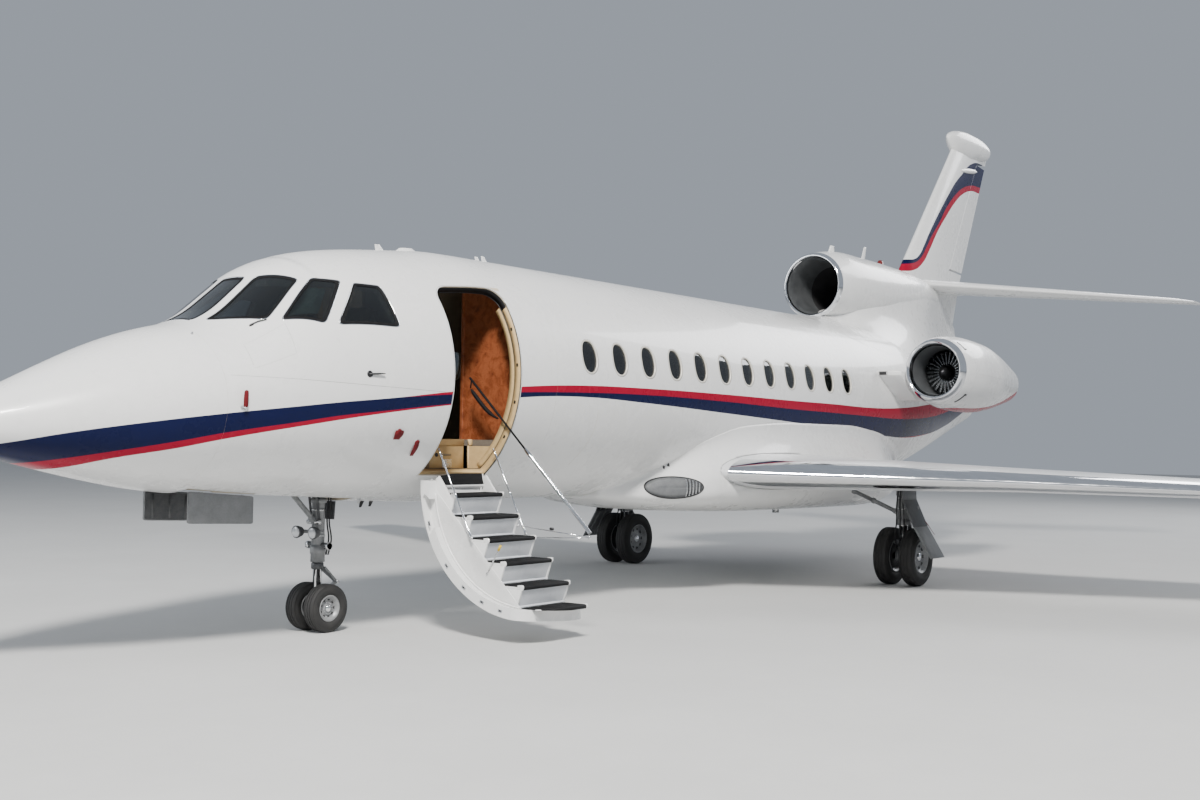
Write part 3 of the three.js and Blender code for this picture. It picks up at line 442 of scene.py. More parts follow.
def skin_band(name, inner, outer_, out, deep, mat):
    """Thin band on the skin between two outlines of the same count."""
    a, b = np.array(inner, float), np.array(outer_, float)
    rows = [skin(a[:, 0], a[:, 1], deep), skin(a[:, 0], a[:, 1], -out), skin(b[:, 0], b[:, 1], -out), skin(b[:, 0], b[:, 1], deep)]
    rings = np.stack(rows, 1)
    return smooth(loft(name, rings, mat, closed=True), 40)


def tube_of(name, s_list, off=0.0, sides=192, mat=None):
    th = np.arange(sides) * 360 / sides
    rings = [skin(np.full(sides, s), th, off) for s in s_list]
    return loft(name, rings, mat)


def steps(a, b, near, far=None, centre=None):
    n = max(2, int(math.ceil((b - a) / near)))
    return list(np.linspace(a, b, n + 1))


def prism(name, pts, plane, lo, hi, mat=None):
    pts = np.array(pts, float)
    rows = []
    for h in (lo, hi):
        if plane == "sy":
            rows.append(np.stack([X(pts[:, 0]), pts[:, 1], np.full(len(pts), h)], -1))
        elif plane == "sz":
            rows.append(np.stack([X(pts[:, 0]), np.full(len(pts), h), pts[:, 1]], -1))
        else:
            rows.append(np.stack([np.full(len(pts), X(h)), pts[:, 0], pts[:, 1]], -1))
    v = np.vstack(rows)
    n = len(pts)
    faces = [tuple(range(n)), tuple(range(2 * n - 1, n - 1, -1))]
    for i in range(n):
        j = (i + 1) % n
        faces.append((i, n + i, n + j, j))
    if volume(v, faces) < 0:
        faces = [f[::-1] for f in faces]
    return make(name, v, faces, mat)


def box(name, s0, s1, y0, y1, z0, z1, mat=None, bevel=0.0, seg=2):
    ob = prism(name, [[s0, y0], [s1, y0], [s1, y1], [s0, y1]], "sy", z0, z1, mat)
    return bevelled(ob, bevel, seg) if bevel else ob


def bevelled(ob, width, seg=2, angle=35):
    m = ob.modifiers.new("edge", "BEVEL")
    m.width, m.segments, m.limit_method, m.angle_limit = width * MM, seg, "ANGLE", rad(angle)
    m.use_clamp_overlap = True
    bpy.context.view_layer.update()
    dg = bpy.context.evaluated_depsgraph_get()
    new = bpy.data.meshes.new_from_object(ob.evaluated_get(dg))
    old = ob.data
    ob.modifiers.clear()
    ob.data = new
    bpy.data.meshes.remove(old)
    return smooth(ob, 50)


def frame_of(a, b):
    a, b = np.array(a, float), np.array(b, float)
    d = (b - a) / np.linalg.norm(b - a)
    u = np.cross(d, [0, 0, 1.0])
    if np.linalg.norm(u) < 1e-3:
        u = np.cross(d, [0, 1.0, 0])
    u /= np.linalg.norm(u)
    return a, b, d, u, np.cross(d, u)


def rod(name, a, b, profile, mat=None, sides=24):
    """Turned body along a line from a to b ([s, y, z]); profile is [(share along, radius)]."""
    A, B = [X(a[0]), a[1], a[2]], [X(b[0]), b[1], b[2]]
    A, B, d, u, v = frame_of(A, B)
    L = np.linalg.norm(B - A)
    th = np.arange(sides) * 2 * math.pi / sides
    rings = []
    for k, r in profile:
        c = A + d * (k * L)
        rings.append(c + r * (np.cos(th)[:, None] * u + np.sin(th)[:, None] * v))
    return smooth(loft(name, rings, mat), 35)


def bar(name, a, b, r0, r1=None, mat=None, sides=20):
    return rod(name, a, b, [(0, r0), (1, r0 if r1 is None else r1)], mat, sides)


def pipe(name, pts, r, mat=None, sides=12, closed=False):
    """Round tube along points [s, y, z], with turning frames."""
    P = np.array([[X(p[0]), p[1], p[2]] for p in pts], float)
    T = np.gradient(P, axis=0)
    T /= np.linalg.norm(T, axis=1)[:, None]
    u = np.cross(T[0], [0, 0, 1.0])
    if np.linalg.norm(u) < 1e-3:
        u = np.cross(T[0], [0, 1.0, 0])
    u /= np.linalg.norm(u)
    th = np.arange(sides) * 2 * math.pi / sides
    rings = []
    rr = np.broadcast_to(np.asarray(r, float), (len(P),))
    for i in range(len(P)):
        u = u - T[i] * np.dot(u, T[i])
        u /= np.linalg.norm(u)
        v = np.cross(T[i], u)
        rings.append(P[i] + rr[i] * (np.cos(th)[:, None] * u + np.sin(th)[:, None] * v))
    return smooth(loft(name, rings, mat), 50)


def spline(pts, n=24):
    """Smooth line through points."""
    p = np.array(pts, float)
    k = np.concatenate([[0], np.cumsum(np.linalg.norm(np.diff(p, axis=0), axis=1))])
    c = Curve(np.hstack([k[:, None], p]))
    t = np.linspace(0, k[-1], n)
    # centred slopes read smoother than monotone ones on a free line
    m = np.gradient(p, k, axis=0, edge_order=1)
    i = np.clip(np.searchsorted(k, t, side="right") - 1, 0, len(k) - 2)
    H = (k[i + 1] - k[i])[:, None]
    q = ((t - k[i])[:, None]) / H
    return (2 * q**3 - 3 * q**2 + 1) * p[i] + (q**3 - 2 * q**2 + q) * m[i] * H + (3 * q**2 - 2 * q**3) * p[i + 1] + (q**3 - q**2) * m[i + 1] * H


def turned(name, profile, axis, at, mat=None, sides=64):
    """Body turned about an axis through [s, y, z]; profile of [along, radius], along "y" or "x" (aft)."""
    th = np.arange(sides) * 2 * math.pi / sides
    p = np.array(profile, float)
    rings = []
    for d, r in p:
        r = max(r, 0.02)
        if axis == "y":
            rings.append(np.stack([X(at[0]) + r * np.cos(th), np.full(sides, at[1] + d), at[2] + r * np.sin(th)], -1))
        else:
            rings.append(np.stack([np.full(sides, X(at[0] + d)), at[1] + r * np.cos(th), at[2] + r * np.sin(th)], -1))
    closed = abs(p[0][0] - p[-1][0]) < 1e-6 and abs(p[0][1] - p[-1][1]) < 1e-6
    return smooth(loft(name, rings[:-1] if closed else rings, mat, closed=closed), 32)


def thick(x):
    return 5 * (0.2969 * np.sqrt(x) - 0.126 * x - 0.3516 * x**2 + 0.2843 * x**3 - 0.1036 * x**4)


def airfoil(le, te, z, t, grow_=0.0, under=0.86, n=26):
    u = 0.5 * (1 - np.cos(np.linspace(0, math.pi, n)))
    c = te - le
    lip = 4 * np.clip((u - 0.97) / 0.03, 0, 1)
    up = np.stack([le + u * c, z + thick(u) * t + lip], -1)
    low = np.stack([le + u * c, z - thick(u) * t * under - lip], -1)[1:][::-1]
    pts = np.vstack([up, low])
    if grow_:
        x = (pts[:, 0] - le) / c
        pts[:, 0] += np.where(x < 0.02, -grow_, np.where(x > 0.98, grow_, 0))
        pts[:, 1] += np.where(pts[:, 1] >= z, grow_, -grow_)
    return pts


def wing_solid(name, table, grow_=0.0, mat=None, n=26):
    ys = []
    for i in range(len(table) - 1):
        a, b = table[i][0], table[i + 1][0]
        k = max(1, int((b - a) / 450))
        ys += list(np.linspace(a, b, k, endpoint=False))
    ys.append(table[-1][0])
    allys = [-y for y in ys[1:][::-1]] + ys
    rings = []
    for y in allys:
        le, te, z, t = (table_line(table, abs(y), c) for c in (1, 2, 3, 4))
        p = airfoil(le, te, z, t, grow_, n=n)
        rings.append(np.stack([X(p[:, 0]), np.full(len(p), y), p[:, 1]], -1))
    return loft(name, rings, mat)


def chord_block(table, a, b, c0, c1, d0=0, d1=0, dy=0, name="block"):
    def at(y, c, d):
        return [lerp(table_line(table, y, 1), table_line(table, y, 2), c) + d, y]

    ys = [a - dy] + [r[0] for r in table if a < r[0] < b] + [b + dy]
    return prism(name, [at(y, c0, d0) for y in ys] + [at(y, c1, d1) for y in ys[::-1]], "sy", -1000, 9000)


def hinge_line(table, part):
    out = []
    x = part["chord"]
    k = float(thick(np.array(x)))
    for y in (part["a"], part["b"]):
        s = lerp(table_line(table, y, 1), table_line(table, y, 2), x)
        t, z = table_line(table, y, 4), table_line(table, y, 3)
        out.append(dict(s=s, y=y, z=z + (k * t * (1 - 0.86)) / 2, r=(k * t * 1.86) / 2))
    return out


def control_surface(table, part, source, name, mat):
    a, b = hinge_line(table, part)

    def flat(d0, dy):
        return prism("flat", [[a["s"] + d0, a["y"] - dy], [b["s"] + d0, b["y"] + dy], [b["s"] + 3000, b["y"] + dy], [a["s"] + 3000, a["y"] - dy]], "sy", -1000, 9000)

    def nose(k):
        l = b["y"] - a["y"]
        d = [(b[q] - a[q]) / l for q in ("s", "y", "z")]
        p = [a["s"] - d[0] * 120, a["y"] - 120, a["z"] - d[2] * 120]
        q = [b["s"] + d[0] * 120, b["y"] + 120, b["z"] + d[2] * 120]
        return bar("nose", p, q, a["r"] * 0.97 + k, b["r"] * 0.97 + k, None, 40)

    def band(dy):
        return prism("band", [[a["s"] - 2000, a["y"] - dy], [b["s"] - 2000, b["y"] + dy], [b["s"] + 3000, b["y"] + dy], [a["s"] + 3000, a["y"] - dy]], "sy", -1000, 9000)

    moving = clone(source, name)
    carve(moving, flat(0, 0), "INTERSECT")
    roll = carve(nose(0), band(0), "INTERSECT")
    carve(moving, roll, "UNION")
    room = carve(flat(-2, 8), carve(nose(9), band(8), "INTERSECT"), "UNION")
    moving.data.materials.clear()
    moving.data.materials.append(mat)
    return moving, room


def ride(ob, body, slot=None, *nodes):
    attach(ob, body)
    if nodes:
        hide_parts(*nodes)
    return ob


# ------------------------------------------------------------------ materials
class Tree:
    """A material's nodes, with short calls."""

    def __init__(self, name):
        self.mat = bpy.data.materials.new(name)
        self.mat.use_nodes = True
        self.t = self.mat.node_tree
        self.bsdf = self.t.nodes["Principled BSDF"]
        self.coord = self.t.nodes.new("ShaderNodeTexCoord")

    def node(self, kind, **values):
        n = self.t.nodes.new(kind)
        for k, v in values.items():
            setattr(n, k, v)
        return n

    def link(self, a, b):
        self.t.links.new(a, b)

    def put(self, socket, value):
        if hasattr(value, "is_linked") or isinstance(value, bpy.types.NodeSocket):
            self.link(value, socket)
        else:
            socket.default_value = value

    def math(self, op, a, b=None, c=None, clamp=False):
        n = self.node("ShaderNodeMath", operation=op)
        n.use_clamp = clamp
        for i, v in enumerate((a, b, c)):
            if v is not None:
                self.put(n.inputs[i], v)
        return n.outputs[0]

    def mix(self, f, a, b):
        n = self.node("ShaderNodeMix", data_type="RGBA")
        self.put(n.inputs[0], f)
        self.put(n.inputs[6], a)
        self.put(n.inputs[7], b)
        return n.outputs[2]

    def at(self, scale=(1, 1, 1)):
        if scale == (1, 1, 1):
            return self.coord.outputs["Object"]
        m = self.node("ShaderNodeMapping")
        m.inputs["Scale"].default_value = scale
        self.link(self.coord.outputs["Object"], m.inputs["Vector"])
        return m.outputs[0]

    def noise(self, scale, detail=4, rough=0.55, stretch=(1, 1, 1)):
        n = self.node("ShaderNodeTexNoise")
        n.inputs["Scale"].default_value = scale
        n.inputs["Detail"].default_value = detail
        n.inputs["Roughness"].default_value = rough
        self.link(self.at(stretch), n.inputs["Vector"])
        return n.outputs["Fac"]

    def ramp(self, f, *stops):
        n = self.node("ShaderNodeValToRGB")
        e = n.color_ramp.elements
        while len(e) < len(stops):
            e.new(0.5)
        for el, (p, c) in zip(e, stops):
            el.position = p
            el.color = (*c, 1) if len(c) == 3 else c
        self.put(n.inputs[0], f)
        return n.outputs[0]

    def range(self, f, a, b, lo=0.0, hi=1.0):
        n = self.node("ShaderNodeMapRange")
        self.put(n.inputs[0], f)
        for i, v in ((1, lo), (2, hi), (3, a), (4, b)):
            n.inputs[i].default_value = v
        return n.outputs[0]

    def bump(self, height, strength, distance, after=None):
        n = self.node("ShaderNodeBump")
        n.inputs["Strength"].default_value = strength
        n.inputs["Distance"].default_value = distance
        self.link(height, n.inputs["Height"])
        if after is not None:
            self.link(after, n.inputs["Normal"])
        return n.outputs[0]

    def split(self):
        n = self.node("ShaderNodeSeparateXYZ")
        self.link(self.coord.outputs["Object"], n.inputs[0])
        return n.outputs

    def set(self, **sockets):
        for k, v in sockets.items():
            self.put(self.bsdf.inputs[k.replace("_", " ")], v)
        return self


def rgb(h):
    """Linear colour from an sRGB hex string."""
    v = [int(h[i : i + 2], 16) / 255 for i in (0, 2, 4)]
    return tuple(c / 12.92 if c <= 0.04045 else ((c + 0.055) / 1.055) ** 2.4 for c in v)


def plain(name, low, high, rough=(0.3, 0.4), metal=0.0, scale=6.0, bump=0.0, bump_scale=200.0, stretch=(1, 1, 1), coat=0.0, detail=5, sheen=0.0, spec=None):
    """Material with two close shades, uneven gloss and fine relief."""
    t = Tree(name)
    n = t.noise(scale, detail, 0.6, stretch)
    fine = t.noise(scale * 7, 3, 0.6, stretch)
    both = t.math("ADD", t.math("MULTIPLY", n, 0.7), t.math("MULTIPLY", fine, 0.3))
    t.set(Base_Color=t.ramp(both, (0.32, low), (0.68, high)), Roughness=t.range(both, rough[0], rough[1], 0.3, 0.7))
    t.bsdf.inputs["Metallic"].default_value = metal
    if coat:
        t.bsdf.inputs["Coat Weight"].default_value = coat
        t.bsdf.inputs["Coat Roughness"].default_value = 0.06
    if sheen:
        t.bsdf.inputs["Sheen Weight"].default_value = sheen
    if spec is not None:
        t.bsdf.inputs["Specular IOR Level"].default_value = spec
    if bump:
        t.set(Normal=t.bump(t.noise(bump_scale, 4, 0.6, stretch), 0.5, bump * MM))
    return t.mat


WHITE = (0.80, 0.80, 0.79)
NAVY = (0.003, 0.006, 0.042)
RED = (0.33, 0.003, 0.026)


def float_curve(t, x, pts, lo, hi, vlo, vhi):
    """Value of a smooth curve through (x, value) points at x, both scaled to 0..1 for the node."""
    u = t.range(x, 0.0, 1.0, lo, hi)
    n = t.node("ShaderNodeFloatCurve")
    c = n.mapping.curves[0]
    while len(c.points) < len(pts):
        c.points.new(0.5, 0.5)
    for p, (a, b) in zip(c.points, pts):
        p.location = ((a - lo) / (hi - lo), (b - vlo) / (vhi - vlo))
        p.handle_type = "AUTO"
    n.mapping.update()
    n.inputs["Factor"].default_value = 1.0
    t.link(u, n.inputs["Value"])
    return t.range(n.outputs[0], vlo, vhi, 0.0, 1.0)


def paint_base(t, colour=WHITE, stripes=None):
    """Base colour of the glossy aircraft paint: two close shades of it over large and middle noise, returned with that
    noise's tone.
    """
    big, mid = t.noise(0.9, 4, 0.6), t.noise(9.0, 5, 0.6)
    tone = t.math("ADD", t.math("MULTIPLY", big, 0.6), t.math("MULTIPLY", mid, 0.4))
    a = tuple(c * 0.955 for c in colour)
    base = t.ramp(tone, (0.3, a), (0.62, colour))
    return base, tone


def window_shape(k, n=48):
    """Outline of a cabin window about (0, 0): along s, and angle, grown by k mm."""
    out = []
    mid = math.asin((WINDOW["z"] - 2414) / RADIUS)
    for i in range(n):
        t = i * 2 * math.pi / n
        cs, sn = math.cos(t), math.sin(t)
        half = (WINDOW["height"] / 2 + k) / RADIUS
        out.append([(WINDOW["width"] / 2 + k) * math.copysign(abs(cs) ** 0.86, cs), math.degrees(mid + half * math.copysign(abs(sn) ** 0.86, sn))])
    return out


# ------------------------------------------------------------------ paints with stripes, metres
STRIPE_TOP = [(0, 1.62), (0.48, 1.711), (0.92, 1.806), (1.44, 1.892), (2.02, 1.972), (2.62, 2.043), (3.0, 2.087), (3.6, 2.147), (4.23, 2.222),
              (5.15, 2.305), (6.06, 2.354), (7.21, 2.370), (8.76, 2.365), (10.59, 2.343), (11.56, 2.336), (12.7, 2.319), (13.6, 2.34), (14.5, 2.40),
              (15.6, 2.51), (16.7, 2.66), (18.7, 2.98)]
STRIPE_RED = [(0, 1.66), (1.44, 1.93), (3.0, 2.12), (3.55, 2.146), (4.23, 2.197), (5.16, 2.251), (6.07, 2.283), (7.22, 2.300), (8.77, 2.283),
              (10.61, 2.236), (11.5, 2.222), (12.7, 2.199), (13.66, 2.185), (14.5, 2.21), (15.6, 2.30), (16.7, 2.46), (18.7, 2.84)]
STRIPE_NAVY = [(0, 1.42), (0.9, 1.599), (1.23, 1.664), (1.62, 1.737), (2.04, 1.821), (2.65, 1.916), (3.03, 1.976), (3.43, 2.022), (4.22, 2.110),
               (5.16, 2.198), (6.07, 2.232), (7.24, 2.2), (8.81, 2.13), (12.26, 1.95), (13.48, 1.9), (18.7, 2.6)]
STRIPE_LOW = [(0, 1.31), (0.93, 1.517), (1.26, 1.612), (1.64, 1.684), (2.06, 1.774), (2.66, 1.879), (3.43, 2.0), (4.23, 2.1), (5.16, 2.202),
              (6.07, 2.240), (7.24, 2.213), (8.81, 2.149), (10.68, 2.066), (12.37, 1.978), (13.3, 1.935), (14.14, 1.915), (15.2, 1.98), (16.2, 2.11),
              (17.2, 2.30), (18.7, 2.66)]


def glossy(t, tone, rivets=None, inside=None):
    """Clear-coated paint: uneven gloss, orange peel too fine to see but in highlights. Dark bands reflect less of the pale room."""
    t.bsdf.inputs["Metallic"].default_value = 0.0
    t.bsdf.inputs["Coat Roughness"].default_value = 0.04
    if inside is None:
        t.bsdf.inputs["Coat Weight"].default_value = 0.35
        t.bsdf.inputs["Specular IOR Level"].default_value = 0.35
    else:
        t.set(Coat_Weight=t.range(inside, 0.35, 0.06), Specular_IOR_Level=t.range(inside, 0.35, 0.10))
    t.set(Roughness=t.range(tone, 0.22, 0.34, 0.3, 0.7))
    n = t.bump(t.noise(260, 2, 0.5), 0.06, 0.4 * MM)
    if rivets is not None:
        n = t.bump(rivets, 0.25, 0.35 * MM, n)
    t.set(Normal=n)
    return t.mat


def rivet_rows(t, s, across, pitch=0.0275, row=0.522, r=0.0022):
    """Faint dots in pairs of rows every frame of the fuselage: 1 between, 0 on a rivet."""
    u = t.math("SUBTRACT", t.math("MODULO", s, row), 0.02)
    u2 = t.math("SUBTRACT", t.math("MODULO", s, row), 0.042)
    v = t.math("SUBTRACT", t.math("MODULO", across, pitch), pitch / 2)
    vv = t.math("MULTIPLY", v, v)
    d = t.math("MINIMUM", t.math("MULTIPLY", u, u), t.math("MULTIPLY", u2, u2))
    return t.range(t.math("SQRT", t.math("ADD", d, vv)), 0.0, 1.0, r * 0.8, r * 1.15)


def stripe_paint(name, opened=False, rivets=True):
    t = Tree(name)
    x, y, z = t.split()
    if opened:
        hy, hz, c, s_ = HINGE["y"] * MM, HINGE["z"] * MM, math.cos(rad(OPEN)), math.sin(rad(OPEN))
        dy, dz = t.math("SUBTRACT", y, hy), t.math("SUBTRACT", z, hz)
        z = t.math("ADD", t.math("ADD", t.math("MULTIPLY", dy, s_), t.math("MULTIPLY", dz, c)), hz)
        y = t.math("ADD", t.math("SUBTRACT", t.math("MULTIPLY", dy, c), t.math("MULTIPLY", dz, s_)), hy)
    s = t.math("SUBTRACT", NOSE_X * MM, x)
    edge = [float_curve(t, s, p, 0.0, 18.7, 1.2, 3.3) for p in (STRIPE_TOP, STRIPE_RED, STRIPE_NAVY, STRIPE_LOW)]
    inside = t.math("MULTIPLY", t.math("LESS_THAN", z, edge[0]), t.math("GREATER_THAN", z, edge[3]))
    red = t.math("MAXIMUM", t.math("GREATER_THAN", z, edge[1]), t.math("LESS_THAN", z, edge[2]))
    white, tone = paint_base(t)
    # painted shade: below z 1.9 m the white turns towards grey down to the keel, in noise blotches
    underside_shade_ramp = t.range(z, 0.0, 1.0, 1.9, 1.1)
    underside_shade_blotches = t.math("MULTIPLY", underside_shade_ramp, t.range(t.noise(2.2, 6, 0.65), 0.0, 0.35, 0.45, 0.75))
    white = t.mix(underside_shade_blotches, white, (0.52, 0.52, 0.50, 1))
    band = t.mix(red, t.ramp(tone, (0.3, tuple(c * 0.85 for c in NAVY)), (0.65, NAVY)), t.ramp(tone, (0.3, tuple(c * 0.9 for c in RED)), (0.65, RED)))
    t.set(Base_Color=t.mix(inside, white, band))
    rows = None
    if rivets:
        a = t.math("MULTIPLY", t.math("ARCTAN2", t.math("SUBTRACT", z, 2.414), y), 1.25)
        rows = rivet_rows(t, s, t.math("ADD", a, 10.0))
    return glossy(t, tone, rows, inside)


def white_paint(name, colour=WHITE):
    t = Tree(name)
    base, tone = paint_base(t, colour)
    t.set(Base_Color=base)
    return glossy(t, tone)


def fin_paint(name):
    """White with a navy and red band that rises along the leading edge and turns aft at the tip."""
    t = Tree(name)
    x, y, z = t.split()
    s = t.math("SUBTRACT", NOSE_X * MM, x)
    outer = [(15.9, 4.935), (16.49, 4.935), (16.68, 4.96), (16.85, 5.053), (17.005, 5.204), (17.24, 5.463), (17.525, 5.751), (17.784, 6.001), (18.114, 6.302), (18.403, 6.544), (18.748, 6.768), (18.947, 6.901), (19.207, 7.016), (19.52, 7.087), (20.2, 7.09)]
    bound = [(15.9, 4.84), (16.46, 4.858), (16.69, 4.904), (16.895, 5.012), (17.096, 5.197), (17.336, 5.436), (17.665, 5.723), (17.972, 6.02), (18.406, 6.325), (18.702, 6.473), (19.16, 6.605), (19.737, 6.667), (20.2, 6.70)]
    inner = [(15.9, 4.72), (16.305, 4.72), (16.62, 4.765), (16.95, 4.934), (17.19, 5.151), (17.553, 5.524), (17.936, 5.85), (18.408, 6.20), (18.754, 6.382), (19.214, 6.513), (19.684, 6.55), (20.2, 6.58)]
    edge = [float_curve(t, s, p, 15.9, 20.2, 4.5, 7.2) for p in (outer, bound, inner)]
    above = t.math("GREATER_THAN", z, edge[2])
    inside = t.math("MULTIPLY", above, t.math("LESS_THAN", z, edge[0]))
    red = t.math("LESS_THAN", z, edge[1])
    white, tone = paint_base(t)
    band = t.mix(red, t.ramp(tone, (0.3, tuple(c * 0.85 for c in NAVY)), (0.65, NAVY)), t.ramp(tone, (0.3, tuple(c * 0.9 for c in RED)), (0.65, RED)))
    t.set(Base_Color=t.mix(inside, white, band))
    return glossy(t, tone, None, inside)


def nacelle_paint(name, side):
    """White with a red underside, narrow as seen from the side."""
    t = Tree(name)
    x, y, z = t.split()
    s = t.math("SUBTRACT", NOSE_X * MM, x)
    hi = [(13.2, 2.335), (13.7, 2.342), (14.3, 2.362), (14.9, 2.455), (15.25, 2.54), (15.8, 2.67)]
    b = float_curve(t, s, hi, 13.2, 15.8, 2.1, 2.8)
    inside = t.math("MULTIPLY", t.math("LESS_THAN", z, b), t.math("GREATER_THAN", s, 13.30))
    white, tone = paint_base(t)
    t.set(Base_Color=t.mix(inside, white, t.ramp(tone, (0.3, tuple(c * 0.9 for c in RED)), (0.65, RED))))
    return glossy(t, tone, None, inside)


def glass(name, tint=(0.10, 0.115, 0.12), rough=0.015, trans=0.82):
    t = Tree(name)
    n = t.noise(3.0, 3, 0.6)
    low = tuple(c * 0.9 for c in tint)
    t.set(Base_Color=t.ramp(n, (0.35, low), (0.65, tint)), Roughness=t.range(t.noise(30, 4, 0.6), rough, rough + 0.02, 0.35, 0.7))
    t.bsdf.inputs["Transmission Weight"].default_value = trans
    t.bsdf.inputs["IOR"].default_value = 1.5
    t.bsdf.inputs["Coat Weight"].default_value = 0.4
    t.bsdf.inputs["Coat Roughness"].default_value = 0.02
    return t.mat


def polished(name, tint=(0.86, 0.87, 0.89), stretch=(1, 1, 1), rough=(0.06, 0.14)):
    t = Tree(name)
    n = t.noise(14, 5, 0.65, stretch)
    t.set(Base_Color=t.ramp(n, (0.3, tuple(c * 0.9 for c in tint)), (0.7, tint)), Roughness=t.range(n, rough[0], rough[1], 0.3, 0.7))
    t.bsdf.inputs["Metallic"].default_value = 1.0
    t.set(Normal=t.bump(t.noise(120, 3, 0.6, stretch), 0.08, 0.3 * MM))
    return t.mat


M = {}
M["stripe"] = stripe_paint("fuselage_paint")
M["stripe_door"] = stripe_paint("door_skin_paint", opened=True)
M["white"] = white_paint("white_paint")
M["fin"] = fin_paint("fin_paint")
M["nacelle"] = nacelle_paint("nacelle_paint", 1)
M["glass"] = glass("cockpit_glass")
M["window"] = glass("cabin_window_glass", (0.055, 0.06, 0.065), 0.02, 0.55)
M["polished"] = polished("polished_aluminium", stretch=(1, 0.15, 1))
M["lip"] = polished("polished_intake_lip", rough=(0.05, 0.11))
M["chrome"] = polished("chromed_steel", (0.8, 0.81, 0.83), rough=(0.04, 0.09))
M["brushed"] = polished("brushed_aluminium", (0.7, 0.71, 0.72), (8, 1, 8), (0.22, 0.34))
M["dark_metal"] = plain("dark_titanium", (0.028, 0.028, 0.03), (0.06, 0.06, 0.065), (0.3, 0.45), 0.9, 20, 0.2, 300)
M["duct"] = plain("intake_duct_grey", (0.075, 0.08, 0.084), (0.13, 0.136, 0.14), (0.35, 0.5), 0.3, 6, 0.2, 250)
# painted shade: near-black for the far reaches of the intakes and the engine blocks inside them
M["duct_deep_shade"] = plain("intake_duct_painted_shade", (0.012, 0.012, 0.013), (0.03, 0.03, 0.032), (0.6, 0.75), 0.0, 6, 0.2, 150)
M["lining"] = plain("cabin_lining_beige", (0.50, 0.43, 0.32), (0.60, 0.53, 0.41), (0.6, 0.75), 0, 9, 0.5, 300)
M["primer"] = plain("structure_primer", (0.16, 0.17, 0.13), (0.24, 0.25, 0.2), (0.55, 0.7), 0, 12, 0.4, 200)
M["wing_top"] = plain("wing_grey_paint", (0.60, 0.61, 0.62), (0.70, 0.71, 0.72), (0.26, 0.38), 0, 2.5, 0.15, 180, coat=0.35)
M["exhaust"] = plain("exhaust_steel", (0.16, 0.13, 0.10), (0.34, 0.31, 0.28), (0.28, 0.45), 1.0, 9, 0.3, 160, stretch=(0.3, 1, 1))
M["rubber_seal"] = plain("black_rubber_seal", (0.004, 0.004, 0.0045), (0.012, 0.012, 0.013), (0.55, 0.72), 0, 30, 0.4, 260, spec=0.12)


# ------------------------------------------------------------------ fuselage
def s_rows(a, b):
    """Stations of a fine skin from a to b: close together on the nose, wide apart on the barrel."""
    out, s = [a], a
    while s < b - 1:
        if s < 60:
            d = max(4.0, 0.35 * s)
        elif s < 400:
            d = 22
        elif s < 4900:
            d = 50
        elif s < 12300:
            d = 260
        else:
            d = 90
        s = min(s + d, b)
        if b - s < d * 0.35:
            s = b
        out.append(s)
    return out


def shell(name, a, b, wall, ends=True, sides=192):
    """Hollow skin piece between stations a and b."""
    th = np.arange(sides) * 360 / sides
    outer = [skin(np.full(sides, s), th) for s in s_rows(a, b)]
    inner = [skin(np.full(sides, s), th, wall) for s in np.linspace(b, a, max(4, int((b - a) / 300)))]
    return loft(name, outer + inner, None, closed=True)


def wing_room():
    return wing_solid("room", WING, 4.0)


DOOR_MM = lambda v: math.degrees(v / RADIUS)


def door_block(name, k, out, deep, low=DOOR["low"], corner=True):
    a0, a1, r = low + DOOR_MM(k), DOOR["high"] - DOOR_MM(k), DOOR["corner"]
    s0, s1 = DOOR["front"] + k, DOOR["aft"] - k
    rows = [[lerp(a0, a1 - DOOR_MM(r), i / 44), 0.0] for i in range(45)]
    for i in range(1, 15):
        t = rad(i * 6.35)
        rows.append([a1 - DOOR_MM(r) + DOOR_MM(r) * math.sin(t), r - r * math.cos(t)])
    rings = []
    for a, inset in rows:
        ss = np.linspace(s0 + inset, s1 - inset, 17)
        rings.append(np.vstack([skin(ss, np.full(17, a), -out), skin(ss[::-1], np.full(17, a), deep)]))
    return loft(name, rings)


def pane_cut(name, corners, k=4.0, out=60, deep=WALL + 60):
    return patch(name, densify(rounded(grow(corners, k), 0.11), 6), out, deep)


def mirrored(ob, name):
    o = clone(ob, name, True)
    return o


# radome, solid as the CAD has it
radome = loft("radome_skin", [skin(np.full(192, s), np.arange(192) * 1.875) for s in s_rows(2.0, SPLIT_NOSE - SEAM)], [M["stripe"], M["primer"]])
skin_shade(radome, inner=1)
ride(radome, "airframe", "white_composite", "radome")

forward = shell("forward_skin", SPLIT_NOSE + SEAM, SPLIT_CABIN - SEAM, WALL)
cutters = []
for k, c in PANES.items():
    cut = pane_cut(k, c)
    cutters += [cut, mirrored(cut, k + "_m")]
cutters.append(pane_cut("centre", CENTRE_PANE))
cutters.append(door_block("doorway", 0, 60, DOOR["wall"] + 60))
cutters.append(box("bay", 2060, 3900, -280, 280, 900, 1420))
cutters.append(box("door_seat", 2066, 2756, -318, 318, 900, 1420))
carve(forward, cutters)
paint(forward, "stripe", "lining")
skin_shade(forward, inner=1)
ride(forward, "airframe", "white_paint", "forward_fuselage")

cabin = shell("cabin_skin", SPLIT_CABIN + SEAM, SPLIT_REAR - SEAM, WALL)
cutters = []
for i in range(WINDOW["count"]):
    s0 = WINDOW["first"] + i * WINDOW["pitch"]
    pts = [[s0 + p[0], p[1]] for p in window_shape(0)]
    cut = patch("w", pts, 60, WALL + 60)
    cutters += [cut, mirrored(cut, "wm")]
cutters.append(wing_room())
carve(cabin, cutters)
paint(cabin, "stripe", "lining")
skin_shade(cabin, inner=1)
ride(cabin, "airframe", "white_paint", "cabin_fuselage")

